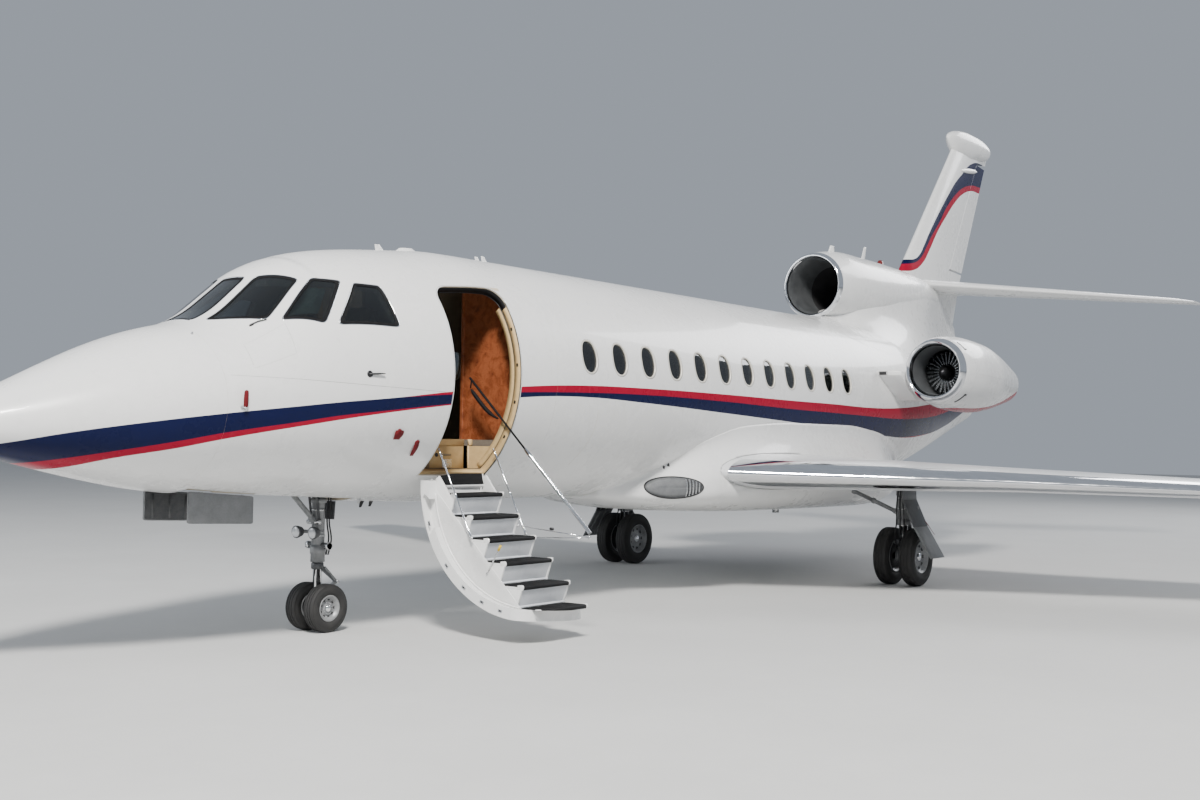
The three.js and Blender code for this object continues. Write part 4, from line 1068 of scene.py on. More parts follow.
rear = shell("rear_skin", SPLIT_REAR + SEAM, TAIL_END, REAR_WALL)
carve(rear, wing_room())
paint(rear, "stripe", "primer")
skin_shade(rear, inner=1)


def nacelle_z(s):
    return NACELLE["z"] + NACELLE["dz"] * (s - NACELLE["s"])


def nacelle_rings(profile, sides=112, y=NACELLE["y"]):
    th = np.arange(sides) * 2 * math.pi / sides
    return [np.stack([np.full(sides, X(NACELLE["s"] + d)), y + r * np.cos(th), nacelle_z(NACELLE["s"] + d) + r * np.sin(th)], -1) for d, r in profile]


def pylon_ring(y, le, te, z, t):
    p = airfoil(le, te, z, t, n=40)
    return np.stack([X(p[:, 0]), np.full(len(p), y), p[:, 1]], -1)


pylon_rows = [(900, 13340, 15980, 2655, 400), (1150, 13380, 15870, 2662, 385), (1400, 13420, 15760, 2670, 370), (1640, 13500, 15560, 2690, 330)]
pylon = loft("pylon", [pylon_ring(*r) for r in pylon_rows], M["white"])
inner_fuselage = tube_of("inner", np.linspace(12400, 18000, 30), REAR_WALL * 0.5, 96)
_no = Curve(NACELLE_OUT, warp=lambda k: np.sqrt(k + 1))
_ni = Curve(sorted(NACELLE_IN))
out_profile = [(d, float(_no(d, 1))) for d in np.concatenate([[3, 8, 16, 28, 45, 70], np.linspace(100, 2570, 46)])]
in_profile = [(d, float(_ni(d, 1))) for d in np.concatenate([np.linspace(2570, 130, 34), [100, 78, 60]])]
lip = [(42, 361), (26, 368), (13, 377), (4, 388), (0, 397)]
filled = loft("filled", nacelle_rings([(d, r + 1.0) for d, r in out_profile], 112))
carve(pylon, [inner_fuselage, filled])
smooth(paint(pylon, "white"), 30)
pylon_right = mirrored(pylon, "pylon_right")
smooth(pylon_right, 30)
pylon.name = "engine_pylon_left"
pylon_right.name = "engine_pylon_right"
ride(rear, "airframe", "white_paint", "rear_fuselage")
ride(pylon, "airframe", "white_paint")
ride(pylon_right, "airframe", "white_paint")

for side, name in ((1, "left"), (-1, "right")):
    prof = out_profile + in_profile + lip
    n = loft("nacelle_skin_" + name, nacelle_rings(prof, 112), [M["nacelle"], M["lip"], M["duct"], M["exhaust"]], closed=True)
    if side < 0:
        flip(n.data)
    smooth(n, 40)
    me = n.data
    idx = []
    for p in me.polygons:
        d = NOSE_X - p.center[0] / MM - NACELLE["s"]
        c = p.center
        r = math.hypot(c[1] / MM - side * NACELLE["y"], c[2] / MM - nacelle_z(NACELLE["s"] + d))
        out_r = float(_no(max(d, 0), 1))
        inside = r < out_r - 9 and d > 4
        idx.append(1 if d < 95 else (0 if not inside else (2 if d < 1300 else 3)))
    me.polygons.foreach_set("material_index", idx)
    ride(n, "airframe", "white_composite", "nacelle_" + name)

# belly fairing, blended into the fuselage's sides
_b = Curve(BELLY)
BLEND = Curve([
    # s, angle of its upper edge on the fuselage
    [7300, -75], [7600, -62], [8100, -44], [8700, -26], [9400, -17], [10600, -14], [12000, -14], [13000, -18], [13800, -27], [14500, -42], [15100, -62],
])


def belly_half(s, n=26):
    """Left half of the fairing's section at station s, from the keel up to its edge on the skin, as (y, z)."""
    w, lo, hi = (float(_b(s, c)) for c in (1, 2, 3))
    zc = lo + (hi - lo) * 0.42
    F = skin(s, float(BLEND(s, 1)), 5.0)[1:]
    F2 = skin(s, float(BLEND(s, 1)) + 3, 5.0)[1:]
    tF = (F2 - F) / np.linalg.norm(F2 - F)
    w = max(w, 60.0)
    a = np.linspace(0, math.pi / 2, n)
    low = np.stack([w * np.sin(a) ** 0.62, zc - (zc - lo) * np.cos(a) ** 0.62], -1)
    B = np.array([w, zc])
    if F[1] < zc + 20 or w < F[0] * 0.5:
        F = np.maximum(F, [0, zc + 20])
    gap = np.linalg.norm(F - B)
    P = [B, B + np.array([0, 1.0]) * gap * 0.36, F - tF * gap * 0.42, F]
    t = np.linspace(0, 1, n)[1:, None]
    up = (1 - t) ** 3 * P[0] + 3 * t * (1 - t) ** 2 * P[1] + 3 * t * t * (1 - t) * P[2] + t**3 * P[3]
    return np.vstack([low, up])


def belly_ring(s):
    h = belly_half(s)
    a = float(BLEND(s, 1))
    inner = np.array([skin(s, q, 60.0)[1:] for q in np.linspace(a, -90, 12)])[1:]
    left = np.vstack([h[1:], inner[:-1]])
    ring = np.vstack([h[:1], left, inner[-1:], left[::-1] * np.array([-1, 1])])
    return np.hstack([np.full((len(ring), 1), X(s)), ring])


belly = loft("belly_skin", [belly_ring(s) for s in np.concatenate([np.linspace(7460, 8800, 30), np.linspace(8900, 12900, 22), np.linspace(12980, 15080, 34)])], M["white"])
carve(belly, [tube_of("t", s_rows(7000, 15500), 1.0, 192), wing_room()])
smooth(paint(belly, "white"), 30)
pads = [bar("jack_pad", [10900, y, 1010], [10900, y, 893], 45, 45, M["brushed"], 40) for y in (-760, 760)]
belly = join([belly] + pads, "belly_skin")
ride(belly, "airframe", "white_composite", "belly_fairing")

# ------------------------------------------------------------------ wing
wing = wing_solid("wing_skin", WING, n=44)
slat = clone(wing, "slat_skin_left")
carve(slat, chord_block(WING, SLAT["a"], SLAT["b"], 0, SLAT["chord"], -300, 0), "INTERSECT")
sl = chord_block(WING, SLAT["a"], SLAT["b"], 0, SLAT["chord"], -300, GAP, GAP)
carve(wing, [sl, mirrored(sl, "slm")])
flap = clone(wing, "flap_skin_left")
carve(flap, chord_block(WING, FLAP["a"], FLAP["b"], FLAP["chord"], 1, 0, 300), "INTERSECT")
aileron, room = control_surface(WING, AILERON, wing, "aileron_skin_left", M["wing_top"])
fl = chord_block(WING, FLAP["a"], FLAP["b"], FLAP["chord"], 1, -6, 300, 6)
carve(wing, [fl, mirrored(fl, "flm"), room, mirrored(room, "rm")])
paint(wing, "wing_top")
for ob, mat in ((slat, "polished"), (flap, "wing_top")):
    paint(ob, mat)
for ob, base, body, slot_ in ((slat, "slat", "airframe", "polished_metal"), (flap, "flap", "airframe", "wing_skin"), (aileron, "aileron", "aileron", "wing_skin")):
    smooth(ob, 30)
    right = mirrored(ob, base + "_skin_right")
    smooth(right, 30)
    ride(ob, body if body == "airframe" else "aileron_left", slot_, base + "_left")
    ride(right, body if body == "airframe" else "aileron_right", slot_, base + "_right")
smooth(wing, 30)
ride(wing, "airframe", "wing_skin", "wing")

# ------------------------------------------------------------------ tail
tailplane = wing_solid("tailplane_skin", TAILPLANE, n=36)
elevator, eroom = control_surface(TAILPLANE, ELEVATOR, tailplane, "elevator_skin_left", M["white"])
eside = box("eside", 18345, 19400, 310, 336, 4380, 4720)
carve(tailplane, [eroom, mirrored(eroom, "em"), eside, mirrored(eside, "esm")])
paint(tailplane, "white")
smooth(tailplane, 30)
smooth(elevator, 30)
elevator_r = mirrored(elevator, "elevator_skin_right")
smooth(elevator_r, 30)
ride(tailplane, "airframe", "tail_skin", "tailplane")
ride(elevator, "elevator_left", "tail_skin", "elevator_left")
ride(elevator_r, "elevator_right", "tail_skin", "elevator_right")


def fin_ring(z, grow_=0.0):
    le, te, t = (table_line(FIN, z, c) for c in (1, 2, 3))
    p = airfoil(le, te, 0.0, t * 2, 0.0, 1.0, 44)
    return np.stack([X(p[:, 0]), p[:, 1] + np.sign(p[:, 1]) * grow_, np.full(len(p), z)], -1)


fin = loft("fin_skin", [fin_ring(z) for z in np.linspace(3500, 7260, 42)])


def bullet_rings(sides=72):
    t = Curve([[18290, 20, 25, 30], [18330, 55, 62, 85], [18400, 92, 100, 150], [18650, 142, 165, 285], [19100, 165, 205, 318], [19400, 160, 205, 262], [19700, 146, 190, 235], [20000, 112, 140, 165], [20150, 70, 80, 85], [LENGTH, 20, 25, 25]], warp=lambda k: np.sqrt(k - 18280))
    a = np.arange(sides) * 2 * math.pi / sides
    return [np.stack([np.full(sides, X(s)), float(t(s, 1)) * np.cos(a), 7365 + np.where(np.sin(a) > 0, float(t(s, 2)), float(t(s, 3))) * np.sin(a)], -1)
            for s in np.concatenate([[18290, 18294, 18300, 18310, 18325, 18345, 18370], np.linspace(18400, LENGTH, 40)])]


bullet = loft("tail_tip_skin", bullet_rings())
zr = [RUDDER["a"], RUDDER["b"]]
ra, rb = ([lerp(table_line(FIN, z, 1), table_line(FIN, z, 2), RUDDER["chord"]), z, table_line(FIN, z, 3)] for z in zr)
kk = float(thick(np.array(RUDDER["chord"])))


def rud_flat(d0, low, rise=0, high=0):
    return prism("rf", [[ra[0] + d0, ra[1] - low], [rb[0] + d0, rb[1] + high], [rb[0] + 3000, rb[1] + high + rise], [ra[0] + 3000, ra[1] - low]], "sz", -900, 900)


def rud_band(low, high=0):
    return prism("rb", [[ra[0] - 2000, ra[1] - low], [rb[0] - 2000, rb[1] + high], [rb[0] + 3000, rb[1] + high], [ra[0] + 3000, ra[1] - low]], "sz", -900, 900)


def rud_nose(g):
    ds = (rb[0] - ra[0]) / (rb[1] - ra[1])
    return bar("rn", [ra[0] - ds * 120, 0, ra[1] - 120], [rb[0] + ds * 120, 0, rb[1] + 120], kk * ra[2] * 2 * 0.98 + g, kk * rb[2] * 2 * 0.98 + g, None, 40)


rudder = clone(fin, "rudder_skin")
carve(rudder, rud_flat(0, 0), "INTERSECT")
carve(rudder, carve(rud_nose(0), rud_band(0), "INTERSECT"), "UNION")
rroom = carve(rud_flat(-2, 38, 300, 26), carve(rud_nose(10.5), rud_band(38, 26), "INTERSECT"), "UNION")
carve(fin, [rroom, tube_of("t", s_rows(12000, TAIL_END), 4.0, 96)])
for ob in (fin, rudder):
    smooth(paint(ob, "fin"), 30)
smooth(bullet, 40)
paint(bullet, "white")
fin_all = join([fin, bullet], "fin_skin")
smooth(fin_all, 30)
ride(fin_all, "airframe", "tail_skin", "fin")
ride(rudder, "rudder", "tail_skin", "rudder")

# ------------------------------------------------------------------ centre intake duct and its saddle fairing
_do = Curve([[r[0], r[1], r[2]] for r in DUCT_OUT], warp=lambda k: np.sqrt(np.maximum(k - 13220, 1.0)))
_di = Curve(DUCT_IN)


def circle(s, r, z, n=112):
    a = np.arange(n) * 2 * math.pi / n
    return np.stack([np.full(n, X(s)), r * np.cos(a), z + r * np.sin(a)], -1)


duct_out = [(s, float(_do(s, 1)), float(_do(s, 2))) for s in np.concatenate([[13230, 13233, 13238, 13246, 13257, 13272], np.linspace(13300, 17300, 56)])]
duct_in = [(s, float(_di(s, 1)), float(_di(s, 2))) for s in np.concatenate([np.linspace(15000, 13320, 26), [13300, 13285]])]
duct_lip = [(13268, 428, 4170), (13252, 433, 4170), (13240, 440, 4170), (13233, 448, 4170)]
rings = [circle(s, r, z) for s, r, z in duct_out]
core = loft("intake_duct_skin", rings)
bore = loft("bore", [circle(s, r, z) for s, r, z in [(13200, 446, 4170)] + duct_lip[::-1] + duct_in[::-1]])
carve(core, bore)
smooth(core, 40)
paint(core, "white", "lip", "duct", "duct_deep_shade")
# past s 13900 the duct's inside turns near-black as painted shade
me = core.data
idx = []
for p in me.polygons:
    s = NOSE_X - p.center[0] / MM
    r = math.hypot(p.center[1] / MM, p.center[2] / MM - float(_do(min(max(s, 13230), 17300), 2)))
    inner_face = r < float(_do(min(max(s, 13230), 17300), 1)) - 14 and s > 13252
    idx.append(1 if s < 13330 and not (inner_face and s > 13290) else (2 if inner_face and s < 13900 else (3 if inner_face else 0)))
me.polygons.foreach_set("material_index", idx)
SADDLE = [
    # s, angle of the edge on the fuselage, y and z of the start at the duct
    [12440, 61.0, 20, 3668], [12520, 56.0, 60, 3672], [12800, 47.5, 110, 3682], [13250, 40.0, 170, 3702], [13650, 37.5, 300, 3790],
    [14000, 36.2, 420, 3880], [14500, 35.0, 500, 3960], [15200, 34.2, 530, 4080], [16000, 34.5, 478, 4190], [16700, 36.0, 378, 4270],
    [17300, 39.0, 262, 4300], [17900, 43.0, 150, 4150], [18400, 47.0, 95, 3900],
]
_sd = Curve(SADDLE)


def saddle_ring(s, n=26):
    a, y, z = (float(_sd(s, c)) for c in (1, 2, 3))
    D = np.array([y, z])
    F = skin(s, a, -1.0)[1:]
    F2 = skin(s, a + 4, -1.0)[1:]
    tF = (F2 - F) / np.linalg.norm(F2 - F)
    gap = np.linalg.norm(D - F)
    tD = np.array([0.10, -1.0]) if s > 13500 else np.array([1.0, -0.15])
    k = min(max((s - 13100) / 600, 0.0), 1.0)
    k = k * k * (3 - 2 * k)
    tD = lerp(np.array([1.0, -0.12]), np.array([0.05, -1.0]), k)
    tD /= np.linalg.norm(tD)
    P = [D, D + tD * gap * lerp(0.30, 0.42, k), F + tF * gap * lerp(0.30, 0.40, k), F]
    t = np.linspace(0, 1, n)[:, None]
    b = (1 - t) ** 3 * P[0] + 3 * t * (1 - t) ** 2 * P[1] + 3 * t * t * (1 - t) * P[2] + t**3 * P[3]
    under = np.array([skin(s, aa, 35.0)[1:] for aa in np.linspace(a, 90, 8)])
    left = np.vstack([b, under[:-1]])
    mid_low, mid_top = under[-1:], None
    right = left[::-1] * np.array([-1, 1])
    ring = np.vstack([left, mid_low, right])
    return np.hstack([np.full((len(ring), 1), X(s)), ring])


saddle = loft("saddle_fairing", [saddle_ring(s) for s in np.concatenate([np.linspace(12440, 14000, 36), np.linspace(14080, 18400, 54)])], M["white"])
smooth(saddle, 40)
duct = join([core, saddle], "intake_duct_skin")
smooth(duct, 40)
ride(duct, "airframe", "white_composite", "centre_intake_duct")

# ------------------------------------------------------------------ details on the skin
def skin_strip(name, pts, width, out, mat, deep=3.0):
    """Thin raised line on the fuselage along an open path of (s, angle) points."""
    p = np.array(pts, float)
    arc = np.stack([p[:, 0], np.radians(p[:, 1]) * RADIUS], -1)
    d = np.gradient(arc, axis=0)
    d /= np.linalg.norm(d, axis=1)[:, None]
    nrm = np.stack([-d[:, 1], d[:, 0]], -1) * width / 2
    rows = []
    for side, off in ((1, deep), (1, -out), (-1, -out), (-1, deep)):
        q = arc + nrm * side
        rows.append(skin(q[:, 0], np.degrees(q[:, 1] / RADIUS), off))
    return smooth(loft(name, np.stack(rows, 1), mat), 30)


def skin_frame(s, deg, off=0.0):
    """A point on the fuselage with its outward normal and the two directions along the skin: forward, and up round it."""
    P = skin(float(s), float(deg), off)
    n = skin_normal(P[None, :])[0]
    up = skin(float(s), float(deg) + 0.5, off) - P
    up -= n * np.dot(up, n)
    up /= np.linalg.norm(up)
    return P, n, np.cross(up, n), up


def stud(name, s, deg, profile, mat, sides=32, squeeze=1.0, lean=0.0):
    """Turned body standing on the skin; profile of (height, radius)."""
    P, n, f, up = skin_frame(s, deg)
    axis = n * math.cos(lean) - f * math.sin(lean)
    th = np.arange(sides) * 2 * math.pi / sides
    rings = [P + axis * h + max(r, 0.05) * (np.cos(th)[:, None] * f + squeeze * np.sin(th)[:, None] * up) for h, r in profile]
    return smooth(loft(name, rings, mat), 35)


def blade(name, s, deg, length, chord, thick_, mat, sweep=0.5, taper=0.55, base=8.0):
    """Swept blade antenna standing on the skin."""
    P, n, f, up = skin_frame(s, deg)
    rings = []
    a = np.arange(28) * 2 * math.pi / 28
    for k in (-0.12, 0.0, 0.3, 0.6, 0.85, 0.95, 1.0):
        c = chord * lerp(1, taper, max(k, 0)) * (1 if k < 0.97 else 0.6)
        w = thick_ * lerp(1, 0.6, max(k, 0)) * (1 if k < 0.97 else 0.3)
        mid = P + n * (length * k) - f * (sweep * length * max(k, 0))
        rings.append(mid + (c / 2) * np.cos(a)[:, None] * f + (w / 2) * np.sin(a)[:, None] * np.sign(1) * up)
    return smooth(loft(name, rings, mat), 40)


def airframe(ob, slot_=None, *nodes):
    return ride(ob, "airframe", slot_, *nodes)


M["glass"] = glass("cockpit_glass", (0.20, 0.235, 0.25), 0.01, 1.0)
M["window"] = glass("cabin_window_glass", (0.16, 0.18, 0.19), 0.012, 1.0)
M["ring"] = plain("window_ring_pale", (0.60, 0.57, 0.50), (0.70, 0.67, 0.60), (0.3, 0.42), 0.1, 30, 0.1, 300)
M["black"] = plain("black_plastic_fine", (0.012, 0.012, 0.013), (0.03, 0.03, 0.032), (0.35, 0.5), 0, 30, 0.15, 400)
M["line"] = plain("panel_joint_grey", (0.22, 0.22, 0.22), (0.34, 0.34, 0.34), (0.5, 0.6), 0, 20, 0.1, 300)
M["soft_line"] = plain("panel_joint_light", (0.46, 0.46, 0.455), (0.56, 0.56, 0.555), (0.4, 0.5), 0, 20, 0.1, 300)
M["red_cover"] = plain("red_cover", (0.10, 0.006, 0.009), (0.15, 0.010, 0.014), (0.6, 0.75), 0, 40, 0.6, 260, spec=0.2)
# painted shade: the oval recesses' floor in a darker grey
M["recess"] = plain("recess_floor_painted_shade", (0.10, 0.105, 0.11), (0.17, 0.175, 0.18), (0.45, 0.6), 0, 10, 0.3, 240)
M["grey"] = plain("light_grey_paint", (0.42, 0.43, 0.44), (0.52, 0.53, 0.54), (0.3, 0.42), 0, 8, 0.15, 260)

# cockpit glass, one curved layer cut to the panes
def layer(name, a, b, step, o0, o1, sides=256):
    th = np.arange(sides) * 360 / sides
    ss = np.linspace(a, b, int((b - a) / step) + 1)
    return loft(name, [skin(np.full(sides, s), th, o0) for s in ss] + [skin(np.full(sides, s), th, o1) for s in ss[::-1]], closed=True)


all_panes = [(k, c) for k, c in PANES.items()] + [("centre", CENTRE_PANE)]
blocks = []
for k, c in all_panes:
    b = pane_cut(k, c, 1.0, 60, 70)
    blocks.append(b)
    if k != "centre":
        blocks.append(mirrored(b, k + "_m"))
cockpit_glass = carve(layer("cockpit_glass", 2060, 3760, 25, 3.0, 15.0), join(blocks, "blocks"), "INTERSECT")
paint(cockpit_glass, "glass")
skin_shade(cockpit_glass, (3.0, 15.0))
cockpit_glass.name = "cockpit_glass"
airframe(cockpit_glass, "dark_glass", "windshield_centre", "windshield_left", "windshield_right", "side_window_left", "side_window_right", "rear_side_window_left", "rear_side_window_right")
trims = []
for k, c in all_panes:
    o = lambda g: densify(rounded(grow(c, g), 0.11), 12)
    for nm, a, b, up_, dp, mat in (("seal", -17, 9, 0.8, 16, "rubber_seal"), ("edge", 9, 15, 1.8, 5, "polished")):
        t_ = skin_band(nm, o(a), o(b), up_, dp, M[mat])
        trims.append(t_)
        if k != "centre":
            trims.append(mirrored(t_, nm + "_m"))
trims = join(trims, "cockpit_window_seals")
airframe(trims, "black_plastic")

# cabin windows: glass near the skin, a pale ring, and blinds drawn in two of them
blocks, rings_ = [], []
for i in range(WINDOW["count"]):
    s0 = WINDOW["first"] + i * WINDOW["pitch"]
    w = lambda g: [[s0 + p[0], p[1]] for p in window_shape(g)]
    b = patch("w", w(-4), 60, 60)
    blocks += [b, mirrored(b, "wm")]
    r = skin_band("ring", w(-11), w(5), 1.2, 26, M["ring"])
    rings_ += [r, mirrored(r, "rm")]
    g = skin_band("gap", w(5), w(9), 0.3, 4, M["line"])
    rings_ += [g, mirrored(g, "gm")]
cabin_glass = carve(layer("cabin_glass", 6060, 12260, 62, 15.0, 21.0), join(blocks, "blocks"), "INTERSECT")
paint(cabin_glass, "window")
skin_shade(cabin_glass, (15.0, 21.0))
cabin_glass.name = "cabin_window_glass"
airframe(cabin_glass, "dark_glass", "cabin_windows_left", "cabin_windows_right")
airframe(join(rings_, "cabin_window_rings"), "white_paint")
M["blind"] = plain("window_blind_cream", (0.58, 0.54, 0.46), (0.68, 0.64, 0.56), (0.7, 0.85), 0, 14, 0.4, 220)
M["shelf"] = plain("cabin_lining_dark", (0.05, 0.045, 0.04), (0.09, 0.08, 0.07), (0.7, 0.85), 0, 8, 0.4, 220)
blinds = []
for side in (1, -1):
    for i, share in ((8, 0.35), (9, 0.95), (10, 0.95), (11, 0.4), (3, 0.2)):
        s0 = WINDOW["first"] + i * WINDOW["pitch"]
        top, low = angle_at(s0, WINDOW["z"] + 200), angle_at(s0, WINDOW["z"] + 200 - 400 * share)
        aa = np.linspace(low, top, 12)
        rows = []
        for q, off in ((-150, 52), (-150, 56), (150, 56), (150, 52)):
            rows.append(skin(np.full(12, s0 + q), aa, off) * np.array([1, side, 1]))
        blinds.append(loft("blind", np.stack(rows, 1), M["blind"]))
airframe(join(blinds, "window_blinds"), "cabin_trim")

# joints of panels and the outlines of hatches, drawn as fine strips
lines = []


def line(pts, width=3.0, mat="soft_line", out=0.5):
    lines.append(skin_strip("line", pts, width, out, M[mat]))


line([[6320 - 120 * math.sin(rad(a * 4)), a] for a in np.linspace(-14, -44, 16)], 4, "blind")
for side in (1, -1):
    ss = np.linspace(2050, 4150, 30)
    line([[s, float(angle_at(s, z, side))] for s, z in zip(ss, np.interp(ss, [2050, 2614, 3393, 4150], [2275, 2266, 2239, 2216]))], 3.5, "line")
box_line = lambda s0, s1, a0, a1: line([[lerp(s0, s1, k / 10), a0] for k in range(11)] + [[s1, lerp(a0, a1, k / 8)] for k in range(1, 9)] + [[lerp(s1, s0, k / 10), a1] for k in range(1, 11)] + [[s0, lerp(a1, a0, k / 8)] for k in range(1, 8)], 3)
for s0, s1, a0, a1 in ((7350, 7800, 62, 74), (2250, 2620, 20, 38)):
    box_line(s0, s1, a0, a1)
    box_line(s0, s1, 180 - a0, 180 - a1)
exit_ = densify(rounded([[7550, 179], [8030, 179], [8030, 142], [7550, 142]], 0.2), 4)
line(exit_ + exit_[:1], 4, "line")
airframe(join(lines, "skin_joints"), "white_paint")

# probes, covers, ports, antennas
def fairing_y(s, z):
    """Half breadth of the belly fairing at station s and height z."""
    h = belly_half(s, 60)
    h = h[np.argsort(h[:, 1])]
    return float(np.interp(z, h[:, 1], h[:, 0]))


def fairing_frame(s, z, side=1):
    P = np.array([X(s), side * fairing_y(s, z), z])
    a = np.array([X(s + 8), side * fairing_y(s + 8, z), z]) - np.array([X(s - 8), side * fairing_y(s - 8, z), z])
    b = np.array([0, side * (fairing_y(s, z + 8) - fairing_y(s, z - 8)), 16.0])
    a, b = -a / np.linalg.norm(a), b / np.linalg.norm(b)
    n = np.cross(b, a)
    n = n / np.linalg.norm(n) * (1 if np.cross(b, a)[1] * side > 0 else -1)
    b = b - n * np.dot(b, n)
    return P, n, a, b / np.linalg.norm(b)


def fairing_disc(name, s, z, side, profile, mat, sides=36):
    P, n, f, up = fairing_frame(s, z, side)
    th = np.arange(sides) * 2 * math.pi / sides
    return smooth(loft(name, [P + n * h + max(r, 0.05) * (np.cos(th)[:, None] * f + np.sin(th)[:, None] * up) for h, r in profile], M[mat]), 35)


small = []
for side in (1, -1):
    ang = lambda s, z: float(angle_at(s, z, side))
    small += [
        fairing_disc("port", 8142, 1521, side, [(-12, 47), (3.0, 47), (4.0, 43), (4.0, 33), (1.0, 31), (1.0, 0)], "black"),
        fairing_disc("port_hub", 8142, 1521, side, [(0.5, 15), (4, 15), (5, 10), (5, 0)], "brushed"),
        # pitot head: only its foot shows under the red sleeve
        stud("pitot_mast", 2130, ang(2130, 2020), [(-3, 30), (6, 27), (14, 14), (34, 12), (40, 10), (42, 0)], M["brushed"], 20, 0.6),
        stud("temperature_probe", 1970, ang(1970, 2610), [(-2, 12), (6, 11), (22, 5), (24, 0)], M["brushed"], 16),
        stud("aoa_base", 3287, ang(3287, 2338), [(-2, 30), (4, 29), (8, 20), (9, 0)], M["dark_metal"], 28),
        stud("static_a", 3740, ang(3740, 1842), [(-2, 30), (2, 30), (3, 24), (3, 0)], M["brushed"], 28),
        stud("static_b", 3968, ang(3968, 1760), [(-2, 30), (2, 30), (3, 24), (3, 0)], M["brushed"], 28),
    ]
    # vane that points aft
    P, n, f, up = skin_frame(3287, ang(3287, 2338))
    rings = []
    for q, w, h in ((-14, 7, 6), (30, 9, 11), (90, 9, 15), (145, 5, 17), (150, 1, 17)):
        c_ = P + n * (12 + q * 0.05) + f * q + up * (q * 0.04)
        rings.append(np.array([c_ + up * w / 1.2 + n * h / 3, c_ + up * w / 1.2 - n * h / 3, c_ - up * w / 1.2 - n * h / 3, c_ - up * w / 1.2 + n * h / 3]))
    small.append(smooth(loft("vane", rings, M["black"]), 30))
    # drain mast
    P, n, f, up = skin_frame(3980, ang(3980, 1233))
    small.append(blade("drain_mast", 3980, ang(3980, 1233), 55, 46, 12, M["grey"], 0.5))
    small.append(blade("wiper_base", 2400, ang(2400, 2706), 14, 46, 22, M["black"], 0.2))
for s0, deg, L, c, w in ((4450, 90, 62, 110, 24), (4805, 90, 34, 280, 120), (5870, 90, 62, 80, 16), (5980, 90, 78, 90, 16)):
    small.append(blade("antenna", s0, deg, L, c, w, M["white"], 0.5 if L > 40 else 0.1))
for s0, deg, L, c, w, mat in ((4283, -90, 62, 58, 9, "black"), (4401, -90, 52, 54, 9, "black"), (5900, -90, 130, 150, 14, "white")):
    small.append(blade("belly_antenna", s0, deg, L, c, w, M[mat], 0.35))
airframe(join(small, "skin_fittings"), "polished_metal")
covers = []


def flag(P, n, f, up, w, h, lean, curl, mat="red_cover"):
    """Cloth streamer that hangs from P, w wide and h long, with a soft curl."""
    rows = []
    for q in np.linspace(0, 1, 14):
        c_ = P + n * (7 + curl * math.sin(q * 4.0)) - up * (q * h) - f * (lean * q)
        k = w / 2 * (1 + 0.16 * math.sin(q * 5 + w))
        rows.append([c_ + f * k + n * 1.3, c_ + f * k - n * 1.3, c_ - f * k - n * 1.3 + n * curl * 0.4, c_ - f * k + n * 1.3 + n * curl * 0.4])
    return smooth(loft("streamer", rows, M[mat]), 50)


for side in (1, -1):
    ang = lambda s, z: float(angle_at(s, z, side))
    # upright sleeve over the pitot head
    P, n, f, up = skin_frame(2130, ang(2130, 2020))
    a = np.arange(20) * 2 * math.pi / 20
    covers.append(smooth(loft("pitot_cover", [P + n * (34 - q * 0.02) + up * q + r * (np.cos(a)[:, None] * n * 0.7 + np.sin(a)[:, None] * f) for q, r in ((4, 9), (8, 17), (20, 19), (70, 20), (118, 19), (134, 15), (140, 6))], M["red_cover"]), 50))
    for s0, z0, w, h, lean in ((3706, 1864, 88, 90, 4), (3965, 1770, 50, 154, -6)):
        P, n, f, up = skin_frame(s0, ang(s0, z0))
        covers.append(stud("plug", s0, ang(s0, z0 - 8), [(2, 24), (12, 24), (16, 18), (17, 0)], M["red_cover"], 20))
        covers.append(flag(P, n, f, up, w, h, lean, 6))
airframe(join(covers, "red_covers"), "white_paint")
wiper = []
for side in (1, -1):
    ss, zz = [2400, 2455, 2512], [2708, 2736, 2756]
    pts = [skin(s, float(angle_at(s, z, side)), -11.0) for s, z in zip(np.linspace(2400, 2512, 9), np.interp(np.linspace(2400, 2512, 9), ss, zz))]
    wiper.append(pipe("wiper_arm", [[NOSE_X - p[0], p[1], p[2]] for p in pts], 5.5, M["black"], 10))
airframe(join(wiper, "wipers"), "black_plastic")

# oval recess with its grille, on each side of the belly fairing
oval = []
OS, OZ, OL, OH = 8165.0, 1276.0, 300.0, 118.0
for side in (1, -1):
    a = np.arange(72) * 2 * math.pi / 72

    def oval_at(k, out):
        rows = []
        for q in a:
            s_, z_ = OS + (OL + k) * math.cos(q), OZ + (OH + k) * math.sin(q)
            P, n, f, up = fairing_frame(s_, z_, side)
            rows.append(P + n * out)
        return np.array(rows)
    oval.append(smooth(loft("oval_rim", [oval_at(-2, -12), oval_at(-2, 4.5), oval_at(11, 3.5), oval_at(13, -12)], M["black"], closed=True), 40))
    ring0 = [oval_at(-1, 2.2)] + [oval_at(-1 - OH * k, 2.2) for k in (0.35, 0.7, 0.96)]
    # recess floor in the darker grey of painted shade
    oval.append(smooth(loft("oval_floor", [oval_at(-1, -3)] + ring0, M["recess"]), 40))
    for k in range(10):
        s_ = OS + 120 + k * 17
        h_ = OH * math.sqrt(max(0.04, 1 - ((s_ - OS) / OL) ** 2)) - 10
        rows = []
        for z_ in np.linspace(OZ - h_, OZ + h_, 9):
            P, n, f, up = fairing_frame(s_, z_, side)
            rows.append([P + f * 4.5 + n * 1, P + f * 4.5 + n * 7, P - f * 4.5 + n * 7, P - f * 4.5 + n * 1])
        oval.append(loft("slat", rows, M["dark_metal"] if k % 2 else M["brushed"]))
airframe(join(oval, "belly_recesses"), "white_composite")

